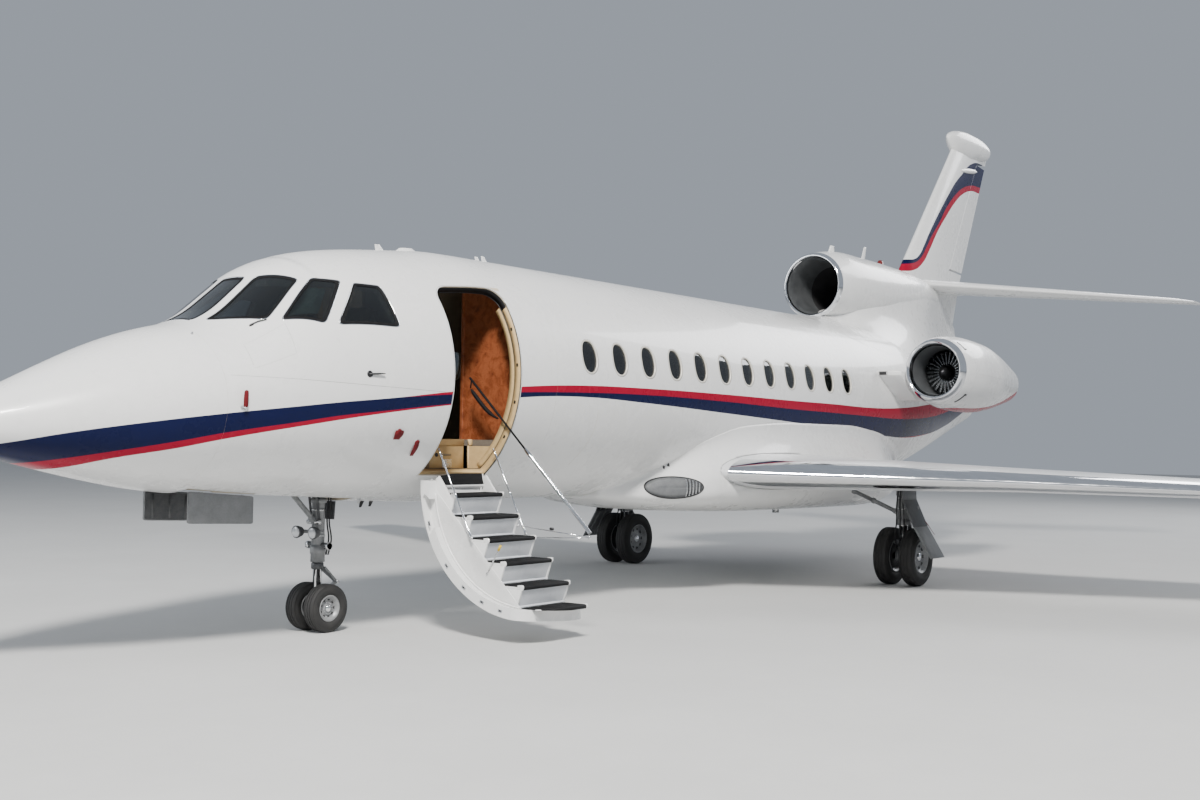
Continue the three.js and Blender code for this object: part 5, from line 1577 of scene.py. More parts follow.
# ------------------------------------------------------------------ engines
def nac_point(d, phi, off=0.0, side=1):
    r = float(_no(d, 1)) + off
    a = rad(phi)
    return np.array([X(NACELLE["s"] + d), side * (NACELLE["y"] + r * math.cos(a)), nacelle_z(NACELLE["s"] + d) + r * math.sin(a)])


def nac_strip(pts, width, out, mat, side=1):
    p = np.array(pts, float)
    arc = np.stack([p[:, 0], np.radians(p[:, 1]) * 490], -1)
    d = np.gradient(arc, axis=0)
    d /= np.linalg.norm(d, axis=1)[:, None]
    nrm = np.stack([-d[:, 1], d[:, 0]], -1) * width / 2
    rows = []
    for sg, off in ((1, -2), (1, out), (-1, out), (-1, -2)):
        q = arc + nrm * sg
        rows.append(np.array([nac_point(a, math.degrees(b / 490), off, side) for a, b in q]))
    return smooth(loft("strip", np.stack(rows, 1), M[mat]), 30)


marks, pods = [], []
for side in (1, -1):
    for d in (330, 1480):
        marks.append(nac_strip([[d, q] for q in np.linspace(0, 360, 90)], 2.5, 0.5, "soft_line", side))
    marks.append(nac_strip([[lerp(330, 1480, k / 20), -4 - 0 * k] for k in range(21)], 2.5, 0.5, "soft_line", side))
    marks.append(nac_strip([[205, q] for q in np.linspace(56, 38, 8)], 22, 3.0, "black", side))
    marks.append(nac_strip([[q, 38] for q in np.linspace(198, 256, 5)], 22, 3.0, "black", side))
    marks.append(nac_strip([[q, lerp(-64, -45, (q - 250) / 22)] for q in np.linspace(250, 272, 8)], 34, 3.0, "black", side))
    marks.append(nac_strip([[q, -43] for q in np.linspace(252, 312, 5)], 30, 3.0, "black", side))
airframe(join(marks, "nacelle_marks"), "black_plastic")

# fans: slim twisted blades round a spinner
M["blade"] = polished("fan_blade_titanium", (0.20, 0.21, 0.22), rough=(0.22, 0.34))
def fan_wheel(name, side):
    s0, z0 = NACELLE["s"] + 480, nacelle_z(NACELLE["s"] + 480)
    y0 = side * NACELLE["y"]
    parts = [turned("spinner", [[-190, 0], [-186, 14], [-165, 40], [-130, 66], [-85, 90], [-30, 108], [30, 118], [80, 120], [88, 112], [88, 0]], "x", [s0, y0, z0], M["dark_metal"], 48)]
    for i in range(26):
        a = i * 2 * math.pi / 26
        er, et = np.array([0, math.cos(a), math.sin(a)]), np.array([0, -math.sin(a), math.cos(a)])
        rings = []
        for k in np.linspace(0, 1, 7):
            r = lerp(104, 318, k)
            tw = rad(lerp(34, 62, k))
            c, w = lerp(58, 74, k) / 2, lerp(5.5, 2.2, k)
            mid = np.array([X(s0 + 20), y0, z0]) + er * r
            ax = np.array([-math.cos(tw), 0, 0]) + et * math.sin(tw) * side
            nn = np.array([math.sin(tw), 0, 0]) + et * math.cos(tw) * side
            rings.append(np.array([mid + ax * c, mid + nn * w + ax * c * 0.2, mid - ax * c, mid - nn * w + ax * c * 0.2]))
        parts.append(smooth(loft("blade", rings, M["blade"]), 50))
    return join(parts, name)


ride(fan_wheel("fan_wheel_left", 1), "fan_left", "engine_metal", "fan_left")
ride(fan_wheel("fan_wheel_right", -1), "fan_right", "engine_metal", "fan_right")

# pylon noses: a squared-off step with a small ram inlet
scoops = []
for side in (1, -1):
    prof = [(13060, 2862), (13052, 2850), (13058, 2800), (13130, 2740), (13330, 2590), (13600, 2450), (13900, 2440), (13900, 2830), (13700, 2856)]
    rings = []
    for y, k in ((1120, 1.0), (1250, 1.0), (1400, 0.97), (1500, 0.9)):
        rings.append([[X(13900 - (13900 - a) * k), side * y, 2650 + (b - 2650) * lerp(1, 0.96, (y - 1120) / 380)] for a, b in prof])
    sc = loft("pylon_step", rings, M["white"])
    scoops.append(bevelled(sc, 14, 3, 25))
    for a, b, dd, mat in ((1190, 1318, 0, "soft_line"), (1200, 1308, -4, "black")):
        h = 8 if mat == "black" else 0
        scoops.append(loft("inlet", [[[X(13040 + dd), side * a, 2852 - h], [X(13040 + dd), side * b, 2852 - h], [X(13050 + dd), side * b, 2790 + h], [X(13050 + dd), side * a, 2790 + h]],
                                      [[X(13120), side * a, 2855 - h], [X(13120), side * b, 2855 - h], [X(13120), side * b, 2790 + h], [X(13120), side * a, 2790 + h]]], M[mat]))
airframe(join(scoops, "pylon_steps"), "white_paint")

# tail jet pipe
pipe_ = turned("tail_jet_pipe", [[0, 452], [260, 420], [420, 386], [424, 376], [420, 372], [200, 372], [0, 400], [0, 452]], "x", [18330, 0, 2960], M["exhaust"], 72)
airframe(pipe_, "engine_metal")
plate = turned("jet_pipe_shroud", [[0, 398], [0, 462], [14, 462], [14, 398], [0, 398]], "x", [18560, 0, 2950], M["dark_metal"], 72)
airframe(plate, "engine_metal")

# fittings on the centre duct and the fin
top = []


def duct_blade(name, s0, L, c, w, mat, sweep=0.45, base=None):
    z0 = float(_do(s0, 2)) + float(_do(s0, 1))
    rings = []
    a = np.arange(24) * 2 * math.pi / 24
    for k in (-0.15, 0, 0.3, 0.6, 0.85, 0.95, 1.0):
        cc = c * lerp(1, 0.6, max(k, 0)) * (1 if k < 0.97 else 0.55)
        ww = w * lerp(1, 0.7, max(k, 0)) * (1 if k < 0.97 else 0.35)
        rings.append(np.stack([X(s0 + sweep * L * max(k, 0)) + cc / 2 * np.cos(a), ww / 2 * np.sin(a), np.full(24, z0 + L * k)], -1))
    return smooth(loft(name, rings, M[mat]), 40)


top.append(duct_blade("antenna_a", 13860, 100, 175, 60, "white", 0.2))
top.append(duct_blade("antenna_b", 14930, 225, 130, 26, "white", 0.35))
z0 = float(_do(15560, 2)) + float(_do(15560, 1))
M["beacon"] = plain("beacon_red", (0.10, 0.008, 0.007), (0.16, 0.014, 0.011), (0.12, 0.2), 0, 30, 0.0, 300, coat=0.6)
top.append(smooth(loft("beacon", [np.stack([X(15560) + r * np.cos(np.arange(32) * math.pi / 16), r * np.sin(np.arange(32) * math.pi / 16), np.full(32, z0 + h)], -1) for h, r in ((-10, 58), (4, 58), (18, 52), (60, 46), (84, 30), (92, 2))], M["beacon"]), 40))
airframe(join(top, "duct_fittings"), "white_paint")
fairings = []
for side in (1, -1):
    rings = []
    for k in np.linspace(0, 1, 15):
        s_, z_ = lerp(18620, 19560, k), lerp(6795, 6925, k)
        w = math.sin(math.pi * min(max(k, 0.004), 0.996)) ** 0.6
        t_ = thick(np.array(min(max((s_ - table_line(FIN, z_, 1)) / (table_line(FIN, z_, 2) - table_line(FIN, z_, 1)), 0.01), 0.99)))
        y_ = float(t_) * table_line(FIN, z_, 3) * 2
        a = np.arange(18) * 2 * math.pi / 18
        rings.append(np.stack([np.full(18, X(s_)), side * (y_ + 26 * w * np.cos(a)), z_ + 46 * w * np.sin(a)], -1))
    fairings.append(smooth(loft("horn_fairing", rings, M["white"]), 50))
ride(join(fairings, "fin_fairings"), "airframe", "tail_skin")

# ------------------------------------------------------------------ doorway, cabin and cockpit
def opened(ob):
    """Turns a piece drawn with the door closed about the hinge to where it stands open."""
    me = ob.data
    co = np.zeros(len(me.vertices) * 3)
    me.vertices.foreach_get("co", co)
    co = co.reshape(-1, 3)
    hy, hz, a = HINGE["y"] * MM, HINGE["z"] * MM, rad(-OPEN)
    dy, dz = co[:, 1] - hy, co[:, 2] - hz
    co[:, 1], co[:, 2] = hy + dy * math.cos(a) - dz * math.sin(a), hz + dy * math.sin(a) + dz * math.cos(a)
    me.vertices.foreach_set("co", co.ravel())
    me.update()
    return ob


def yz_prism(name, pts, s0, s1, mat=None, bevel=0.0, seg=2):
    ob = prism(name, pts, "yz", s0, s1, mat)
    return bevelled(ob, bevel, seg) if bevel else ob


def sz_prism(name, pts, y0, y1, mat=None, bevel=0.0, seg=2):
    ob = prism(name, pts, "sz", y0, y1, mat)
    return bevelled(ob, bevel, seg) if bevel else ob


def burl(name):
    """Reddish burl wood under varnish: swirled figure with dark eyes."""
    t = Tree(name)
    warp = t.node("ShaderNodeTexNoise")
    warp.inputs["Scale"].default_value, warp.inputs["Detail"].default_value = 3.2, 5
    t.link(t.coord.outputs["Object"], warp.inputs["Vector"])
    add = t.node("ShaderNodeVectorMath", operation="MULTIPLY_ADD")
    t.link(warp.outputs["Color"], add.inputs[0])
    add.inputs[1].default_value = (0.35, 0.35, 0.35)
    t.link(t.coord.outputs["Object"], add.inputs[2])
    v = t.node("ShaderNodeTexNoise")
    v.inputs["Scale"].default_value, v.inputs["Detail"].default_value, v.inputs["Roughness"].default_value = 11, 7, 0.68
    t.link(add.outputs[0], v.inputs["Vector"])
    eyes = t.node("ShaderNodeTexVoronoi")
    eyes.inputs["Scale"].default_value = 26
    t.link(add.outputs[0], eyes.inputs["Vector"])
    spots = t.range(eyes.outputs["Distance"], 1.0, 0.0, 0.03, 0.16)
    base = t.ramp(v.outputs["Fac"], (0.28, (0.10, 0.026, 0.011)), (0.46, (0.235, 0.064, 0.024)), (0.58, (0.31, 0.095, 0.038)), (0.75, (0.16, 0.042, 0.017)))
    t.set(Base_Color=t.mix(t.math("MULTIPLY", spots, 0.7), base, (0.05, 0.014, 0.006, 1)), Roughness=t.range(v.outputs["Fac"], 0.16, 0.26, 0.3, 0.7))
    t.bsdf.inputs["Coat Weight"].default_value = 0.6
    t.bsdf.inputs["Coat Roughness"].default_value = 0.06
    t.set(Normal=t.bump(v.outputs["Fac"], 0.08, 0.2 * MM))
    return t.mat


def carpet(name, low, high):
    t = Tree(name)
    v = t.node("ShaderNodeTexVoronoi")
    v.inputs["Scale"].default_value = 320
    t.link(t.coord.outputs["Object"], v.inputs["Vector"])
    n = t.noise(9, 5, 0.6)
    t.set(Base_Color=t.ramp(t.math("ADD", t.math("MULTIPLY", v.outputs["Distance"], 0.6), t.math("MULTIPLY", n, 0.6)), (0.25, low), (0.75, high)), Roughness=t.range(n, 0.86, 0.96))
    t.bsdf.inputs["Sheen Weight"].default_value = 0.3
    t.set(Normal=t.bump(v.outputs["Distance"], 0.7, 1.5 * MM))
    return t.mat


def leather(name, low, high):
    t = Tree(name)
    v = t.node("ShaderNodeTexVoronoi", feature="DISTANCE_TO_EDGE")
    v.inputs["Scale"].default_value = 260
    t.link(t.coord.outputs["Object"], v.inputs["Vector"])
    n = t.noise(7, 5, 0.6)
    t.set(Base_Color=t.ramp(n, (0.3, low), (0.7, high)), Roughness=t.range(n, 0.42, 0.56))
    t.set(Normal=t.bump(t.range(v.outputs["Distance"], 0, 1, 0, 0.12), 0.35, 0.5 * MM))
    return t.mat


M["burl"] = burl("burl_wood_varnished")
M["carpet"] = carpet("cabin_carpet", (0.09, 0.07, 0.05), (0.16, 0.13, 0.095))
M["leather"] = leather("seat_leather_tan", (0.20, 0.155, 0.105), (0.29, 0.23, 0.16))
M["trim"] = plain("doorway_trim_gold", (0.50, 0.345, 0.16), (0.62, 0.44, 0.22), (0.42, 0.55), 0, 16, 0.35, 340, spec=0.3)
# painted shade: a darker copy of the gold trim for its parts that lie in shadow
M["trim_shaded"] = plain("doorway_trim_painted_shade", (0.20, 0.15, 0.09), (0.29, 0.22, 0.13), (0.5, 0.62), 0, 16, 0.35, 340)
M["tread"] = plain("tread_pad_black", (0.004, 0.004, 0.0045), (0.013, 0.013, 0.014), (0.6, 0.78), 0, 40, 0.8, 420, stretch=(0.15, 1, 1), spec=0.2)
M["yellow"] = plain("yellow_paint", (0.62, 0.42, 0.02), (0.74, 0.52, 0.03), (0.35, 0.5), 0, 20, 0.2, 300)
M["grey_riser"] = plain("riser_grey_paint", (0.50, 0.52, 0.55), (0.60, 0.62, 0.65), (0.25, 0.38), 0, 9, 0.15, 240, coat=0.3)
M["lamp"] = plain("lamp_lens", (0.55, 0.56, 0.58), (0.7, 0.71, 0.72), (0.05, 0.1), 0.2, 30, 0.0, 300, coat=0.8)
M["panel_grey"] = plain("cockpit_panel_grey", (0.07, 0.073, 0.078), (0.11, 0.115, 0.12), (0.5, 0.65), 0, 14, 0.3, 300)
M["screen"] = plain("display_glass", (0.006, 0.008, 0.012), (0.012, 0.016, 0.022), (0.08, 0.14), 0, 6, 0.0, 300, coat=0.7)

# doorway: white edge strip, black seal, then the trim ring that faces out just inside the opening
def door_outline(k, n=14, low=None):
    """Edge of the doorway grown inwards by k mm, as (s, angle), lower front corner first, up and over, down to the lower rear corner."""
    a0 = (DOOR["low"] if low is None else low) + DOOR_MM(k)
    a1, r = DOOR["high"] - DOOR_MM(k), DOOR["corner"] - k * 0.6
    s0, s1 = DOOR["front"] + k, DOOR["aft"] - k
    front = [[s0, lerp(a0, a1 - DOOR_MM(r), i / 40)] for i in range(41)]
    c1 = [[s0 + r - r * math.cos(rad(t)), a1 - DOOR_MM(r) + DOOR_MM(r) * math.sin(rad(t))] for t in np.linspace(6, 90, n)]
    top = [[lerp(s0 + r, s1 - r, i / 10), a1] for i in range(1, 11)]
    c2 = [[s1 - r + r * math.sin(rad(t)), a1 - DOOR_MM(r) + DOOR_MM(r) * math.cos(rad(t))] for t in np.linspace(6, 90, n)]
    back = [[s1, lerp(a1 - DOOR_MM(r), a0, i / 40)] for i in range(1, 41)]
    return front + c1 + top + c2 + back


ring = []
for nm, a, b, up_, dp, mat in (("edge", -7, 0, 1.0, 12, "white"), ("gap", -11, -7, 0.3, 4, "line"), ("reveal", -1, 3.0, -15, 80, "trim"), ("gasket", -2, 4.5, -80.2, 86, "black"), ("inner", -60, -2, -81, 85, "trim")):
    ring.append(skin_band(nm, door_outline(b), door_outline(a), up_, dp, M[mat]))
    if nm == "reveal":
        # its head is black: a rubber seal, darkened over the whole head as painted shade
        ring[-1].data.materials.append(M["rubber_seal"])
        ring[-1].data.polygons.foreach_set("material_index", [1 if p.center[2] > 3.07 else 0 for p in ring[-1].data.polygons])
# latches along the front and aft sides
outline_mid = door_outline(2.2)
for i in list(range(8, 40, 9)) + list(range(84, len(outline_mid) - 3, 8)):
    s_, a_ = outline_mid[i]
    P, n, f, up = skin_frame(s_, a_, 50)
    blk = np.array([P + f * q + up * w for q, w in ((-1.8, -16), (1.8, -16), (1.8, 16), (-1.8, 16))])
    ring.append(bevelled(loft("latch", [blk - n * 10, blk + n * 12], M["dark_metal"]), 1))
o1, o2 = (np.array(door_outline(k)[78:]) for k in (-1, -34))
ring.append(smooth(loft("jamb", np.stack([skin(o1[:, 0], o1[:, 1], 86.4), skin(o1[:, 0], o1[:, 1], 150.0), skin(o2[:, 0], o2[:, 1], 150.0), skin(o2[:, 0], o2[:, 1], 86.4)], 1), M["trim"]), 40))
ring = join(ring, "doorway_trim")
airframe(ring, "cabin_trim")

# wall of the stair well under the floor's edge
well = box("well", 4236, 5162, 553, 573, 1380, 1735)
carve(well, tube_of("r", s_rows(4100, 5300), WALL + 5, 96), "INTERSECT")
paint(well, "trim")
slot_room = lambda: box("slot", 5078, 5152, 240, 700, 1300, 2100)
nosing = box("nosing", 4200, 5200, 548, 582, 1732, 1793, M["trim"], 6)
well_parts = [smooth(paint(carve(well, slot_room()), "trim"), 30), smooth(paint(carve(nosing, slot_room()), "trim"), 40)]
for s0 in (4226, 5158):
    e = box("end", s0, s0 + 12, 553, 1200, 1380, 1728)
    carve(e, tube_of("r", s_rows(4100, 5300), WALL + 5, 96), "INTERSECT")
    well_parts.append(paint(e, "trim"))
well_parts += [turned("port", [[0, 0], [0, 20], [5, 20], [7, 14], [7, 0]], "y", [4700, 573, 1640], M["black"], 28)]
# plates on the well wall, two of them in the darker trim as painted shade
for s0, s1, z0, z1, mat in ((4790, 4900, 1632, 1650, "trim_shaded"), (4780, 4910, 1490, 1600, "brushed"), (4400, 4600, 1500, 1660, "trim_shaded")):
    well_parts.append(box("well_plate", s0, s1, 573, 580, z0, z1, M[mat], 3))
airframe(join(well_parts, "stair_well"), "cabin_trim")

# floor and walls
def inner_room(name, extra, s0=2100, s1=12900):
    return tube_of(name, s_rows(s0, s1), WALL + 6 + extra, 96)


fl_ = box("cabin_floor_skin", 2500, 12300, -1300, 1300, 1730, 1790)
carve(fl_, [inner_room("r", 0)], "INTERSECT")
carve(fl_, [box("c", 4190, 5205, 560, 1300, 1500, 2100), box("c2", 5080, 5150, 240, 700, 1500, 2100)])
paint(fl_, "carpet")
airframe(fl_, "carpet", "cabin_floor")


def bulkhead(name, s0, s1, y0, y1, top, mat, frame_mat, extra=()):
    b = box(name, s0, s1, -1300, 1300, 1791, 3700)
    carve(b, [inner_room("r", 0)], "INTERSECT")
    carve(b, [box("d", s0 - 50, s1 + 50, y0, y1, 1700, top)])
    paint(b, mat)
    parts = [b]
    for a0, a1, z0, z1 in ((y0 - 34, y0 + 4, 1791, top + 30), (y1 - 4, y1 + 34, 1791, top + 30), (y0 - 34, y1 + 34, top - 4, top + 34)):
        parts.append(box("frame", s0 - 10, s1 + 10, a0, a1, z0, z1, M[frame_mat], 5))
    return join(parts + list(extra), name)


airframe(bulkhead("cockpit_bulkhead_skin", 3960, 4000, -300, 300, 3350, "lining", "trim"), "cabin_trim", "cockpit_bulkhead")
airframe(bulkhead("entry_partition_skin", 5330, 5370, -290, 290, 3400, "burl", "burl"), "burl_wood", "entry_partition")

# instrument panel with screens, glareshield and pedestal
ip = prism("instrument_panel_skin", [[2560, 1791], [2760, 1791], [2760, 2250], [2900, 2330], [2880, 2640], [2600, 2660], [2330, 2560], [2330, 2300], [2560, 2250]], "sz", -760, 760)
carve(ip, [inner_room("r", 0)], "INTERSECT")
paint(ip, "panel_grey")
smooth(ip, 30)
ip_parts = [ip]
cap = prism("glareshield", [[2330, 2566], [2602, 2664], [2886, 2646], [2930, 2640], [2934, 2658], [2900, 2668], [2602, 2692], [2322, 2590]], "sz", -730, 730)
carve(cap, [inner_room("r", 4)], "INTERSECT")
paint(cap, "black")
ip_parts.append(smooth(cap, 40))
for y0, y1 in ((-640, -345), (-320, -25), (25, 320), (345, 640)):
    a_, b_ = np.array([2901.5, 2348]), np.array([2883.5, 2618])
    for g, o, mat in ((0, 2, "black"), (12, 5, "screen")):
        n_ = np.array([1, (2900 - 2880) / 310])
        pts = [a_ + (b_ - a_) * k for k in ((0.06 + g / 270), (0.94 - g / 270))]
        ip_parts.append(loft("screen", [[[X(pts[0][0] - 10), y0 + g, pts[0][1]], [X(pts[0][0] - 10), y1 - g, pts[0][1]], [X(pts[1][0] - 10), y1 - g, pts[1][1]], [X(pts[1][0] - 10), y0 + g, pts[1][1]]],
                                         [[X(pts[0][0] + o), y0 + g, pts[0][1]], [X(pts[0][0] + o), y1 - g, pts[0][1]], [X(pts[1][0] + o), y1 - g, pts[1][1]], [X(pts[1][0] + o), y0 + g, pts[1][1]]]], M[mat]))
ped = prism("pedestal", [[2760, 1795], [3330, 1795], [3330, 2080], [3180, 2140], [2780, 2240]], "sz", -130, 130, M["panel_grey"])
ip_parts.append(bevelled(ped, 14, 3))
for k, y in enumerate((-60, 0, 60)):
    ip_parts.append(bar("lever", [2990, y, 2150], [2960, y, 2270], 7, 7, M["brushed"], 12))
    ip_parts.append(rod("knob", [2962, y, 2262], [2955, y, 2300], [(0, 8), (0.2, 16), (0.8, 17), (1, 8)], M["black"], 16))
for y in (-430, 430):
    col = spline([[2890, y, 2050], [3000, y, 2200], [3040, y, 2330], [3035, y, 2420]], 14)
    ip_parts.append(pipe("yoke_column", col, 17, M["black"], 14))
    w = spline([[3035, y - 160, 2520], [3032, y - 150, 2430], [3035, y - 60, 2405], [3035, y + 60, 2405], [3032, y + 150, 2430], [3035, y + 160, 2520]], 26)
    ip_parts.append(pipe("yoke", w, 13, M["black"], 12))
airframe(join(ip_parts, "instrument_panel_skin"), "black_plastic", "instrument_panel")

# pilots' seats: shaped cushions on frames
def cushion(name, s0, s1, y0, y1, z0, z1, puff=26, n=14, mat="leather", lean=0.0):
    """Soft block: a superellipsoid shell."""
    rings = []
    c = np.array([(s0 + s1) / 2, (y0 + y1) / 2, (z0 + z1) / 2])
    h = np.array([(s1 - s0) / 2, (y1 - y0) / 2, (z1 - z0) / 2])
    a = np.arange(40) * 2 * math.pi / 40
    e1, e2 = 0.34, 0.42
    for t in np.linspace(-math.pi / 2 * 0.985, math.pi / 2 * 0.985, n * 2):
        ct, st = abs(math.cos(t)) ** e1, math.copysign(abs(math.sin(t)) ** e1, t)
        ca, sa = np.sign(np.cos(a)) * np.abs(np.cos(a)) ** e2, np.sign(np.sin(a)) * np.abs(np.sin(a)) ** e2
        px, py, pz = c[0] + h[0] * ct * ca, c[1] + h[1] * ct * sa, np.full(40, c[2] + h[2] * st)
        px = px + lean * (pz - c[2])
        rings.append(np.stack([X(px), py, pz], -1))
    return smooth(loft(name, rings, M[mat]), 60)


seats, pads_ = [], []
for y in (-430, 430):
    pads_.append(cushion("base", 3262, 3660, y - 222, y + 222, 2092, 2208))
    for q in (-1, 1):
        pads_.append(cushion("thigh", 3270, 3600, y + q * 215 - 22, y + q * 215 + 22, 2110, 2222, mat="leather"))
    pads_.append(cushion("back", 3640, 3752, y - 205, y + 205, 2205, 2800, lean=0.14))
    for q in (-1, 1):
        pads_.append(cushion("wing", 3622, 3730, y + q * 196 - 26, y + q * 196 + 26, 2260, 2690, lean=0.14))
    pads_.append(cushion("head", 3740, 3838, y - 130, y + 130, 2800, 2985, lean=0.14))
    seats.append(sz_prism("shell", [[3700, 2110], [3748, 2110], [3862, 2930], [3842, 2960], [3820, 2950]], y - 190, y + 190, M["panel_grey"], 8))
    seats.append(bevelled(box("pan", 3270, 3720, y - 215, y + 215, 2066, 2094, M["panel_grey"]), 8))
    seats.append(box("post", 3330, 3640, y - 100, y + 100, 1850, 2068, M["panel_grey"], 14))
    for q in (-1, 1):
        seats.append(box("rail", 3270, 3720, y + q * 150 - 16, y + q * 150 + 16, 1796, 1852, M["brushed"], 4))
        seats.append(pipe("arm_post", spline([[3720, y + q * 232, 2190], [3700, y + q * 236, 2330], [3640, y + q * 236, 2372]], 8), 11, M["panel_grey"], 10))
        pads_.append(cushion("arm", 3400, 3680, y + q * 236 - 27, y + q * 236 + 27, 2366, 2410))
seat_frames = join(seats, "crew_seat_frames")
airframe(seat_frames, "black_plastic")
seat_pads = join(pads_, "crew_seat_cushions")
airframe(seat_pads, "seat_leather", "cockpit_seats")

# overhead panel, side consoles and a sunshade in the left side pane
over = [bevelled(box("overhead", 2980, 3500, -170, 170, 3290, 3330, M["panel_grey"]), 8)]
for y in (-1, 1):
    c_ = box("console", 2760, 3900, y * 700 if y > 0 else -1100, 1100 if y > 0 else y * 700, 1795, 2260)
    carve(c_, [inner_room("r", 6)], "INTERSECT")
    paint(c_, "panel_grey")
    over.append(smooth(c_, 30))
M["shade"] = plain("sunshade_green", (0.30, 0.36, 0.30), (0.38, 0.44, 0.37), (0.6, 0.75), 0, 12, 0.2, 200)
sp = np.array(densify([[2700, 42.4], [3020, 52.6], [3170, 49.2], [2965, 36.2]], 6))
over.append(smooth(loft("sunshade", [skin(sp[:, 0], sp[:, 1], o) for o in (70, 73)], M["shade"]), 30))
airframe(join(over, "cockpit_fittings"), "black_plastic")

# ------------------------------------------------------------------ door, stair and rails, drawn where they stand open
def opened_custom(ob):
    """The same for a piece with its own normals."""
    me = ob.data
    ln = np.array([c.vector[:] for c in me.corner_normals])
    opened(ob)
    a = rad(-OPEN)
    y, z = ln[:, 1].copy(), ln[:, 2].copy()
    ln[:, 1], ln[:, 2] = y * math.cos(a) - z * math.sin(a), y * math.sin(a) + z * math.cos(a)
    me.normals_split_custom_set(ln.tolist())
    me.update()
    return ob


def door(ob, slot_=None, *nodes):
    return ride(ob, "passenger_door", slot_, *nodes)


shell_ = door_block("passenger_door_skin", DOOR["gap"], 0, DOOR["wall"], DOOR["low"] + 0.6)
pocket = lambda s0, s1: carve(box("p", s0, s1, 845, 1095, 1585, 1875), tube_of("t", s_rows(4000, 5400), 15, 96), "INTERSECT")
carve(shell_, [pocket(4190, 4352), pocket(5032, 5200)])
paint(shell_, "stripe_door", "white")
skin_shade(shell_, inner=1)
opened_custom(shell_)
door(shell_, "white_paint", "passenger_door")

STAIR = dict(front=4360, aft=5030, web=22, y=1150, z=1290, run=205, rise=195, count=6, depth=245, thick=34)
web_steps = [[860, 1395], [935, 1450], [STAIR["y"] - 60, STAIR["z"] - 34]]
for i in range(STAIR["count"] - 1):
    y, z = STAIR["y"] + i * STAIR["run"], STAIR["z"] - i * STAIR["rise"]
    web_steps += [[y - 12, z - STAIR["thick"]], [y - 76, z - STAIR["rise"] - STAIR["thick"]]]
web_shape = web_steps + [[STAIR["y"] + 5 * STAIR["run"] - 12, STAIR["z"] - 5 * STAIR["rise"] - STAIR["thick"]], [2110, 262], [2140, 235], [1900, 120], [1300, 300], [850, 900]]


def swung(ob):
    return opened(ob)


def shell_room(k=0.5):
    return swung(door_block("room", -60, 300, DOOR["wall"] + k, DOOR["low"] - 12))


def wall_room():
    w = tube_of("w", s_rows(3900, 5500), -8, 128)
    carve(w, [tube_of("i", s_rows(3880, 5520), WALL + 12, 128), door_block("d", 7, 100, WALL + 100)])
    return swung(w)


stair_bits, pads = [], []
for s0 in (STAIR["front"], STAIR["aft"] - STAIR["web"]):
    w = yz_prism("web", web_shape, s0, s0 + STAIR["web"])
    carve(w, [shell_room(), wall_room()])
    stair_bits.append(bevelled(paint(w, "white"), 2.5, 2))
# the broad side plate under the slanted line, proud of the step plates, and a rolled rim where it meets the door
k_ = STAIR["rise"] / STAIR["run"]
line_at = lambda y: STAIR["z"] - 60 - (y - STAIR["y"] + 150) * k_
broad = [[880, line_at(880)], [2060, line_at(2060)], [2110, 250], [1900, 120], [1300, 300], [850, 900]]
for s0, s1 in ((STAIR["front"] - 5, STAIR["front"] + 1),):
    b = yz_prism("broad", broad, s0, s1)
    carve(b, [shell_room(), wall_room()])
    stair_bits.append(bevelled(paint(b, "white"), 2, 2))
aa = np.linspace(DOOR["low"] + 7, 36, 60)
for s0, sgn in ((STAIR["front"] - 26, 1), (STAIR["aft"] + 6, -1)):
    rows = []
    for q in np.arange(12) * 2 * math.pi / 12:
        rows.append(skin(np.full(60, s0 + 10 + 12 * math.cos(q)), aa, DOOR["wall"] + 8 + 9 * math.sin(q)))
    rim = loft("rim", np.stack(rows, 1), M["white"])
    stair_bits.append(smooth(swung(rim), 60))
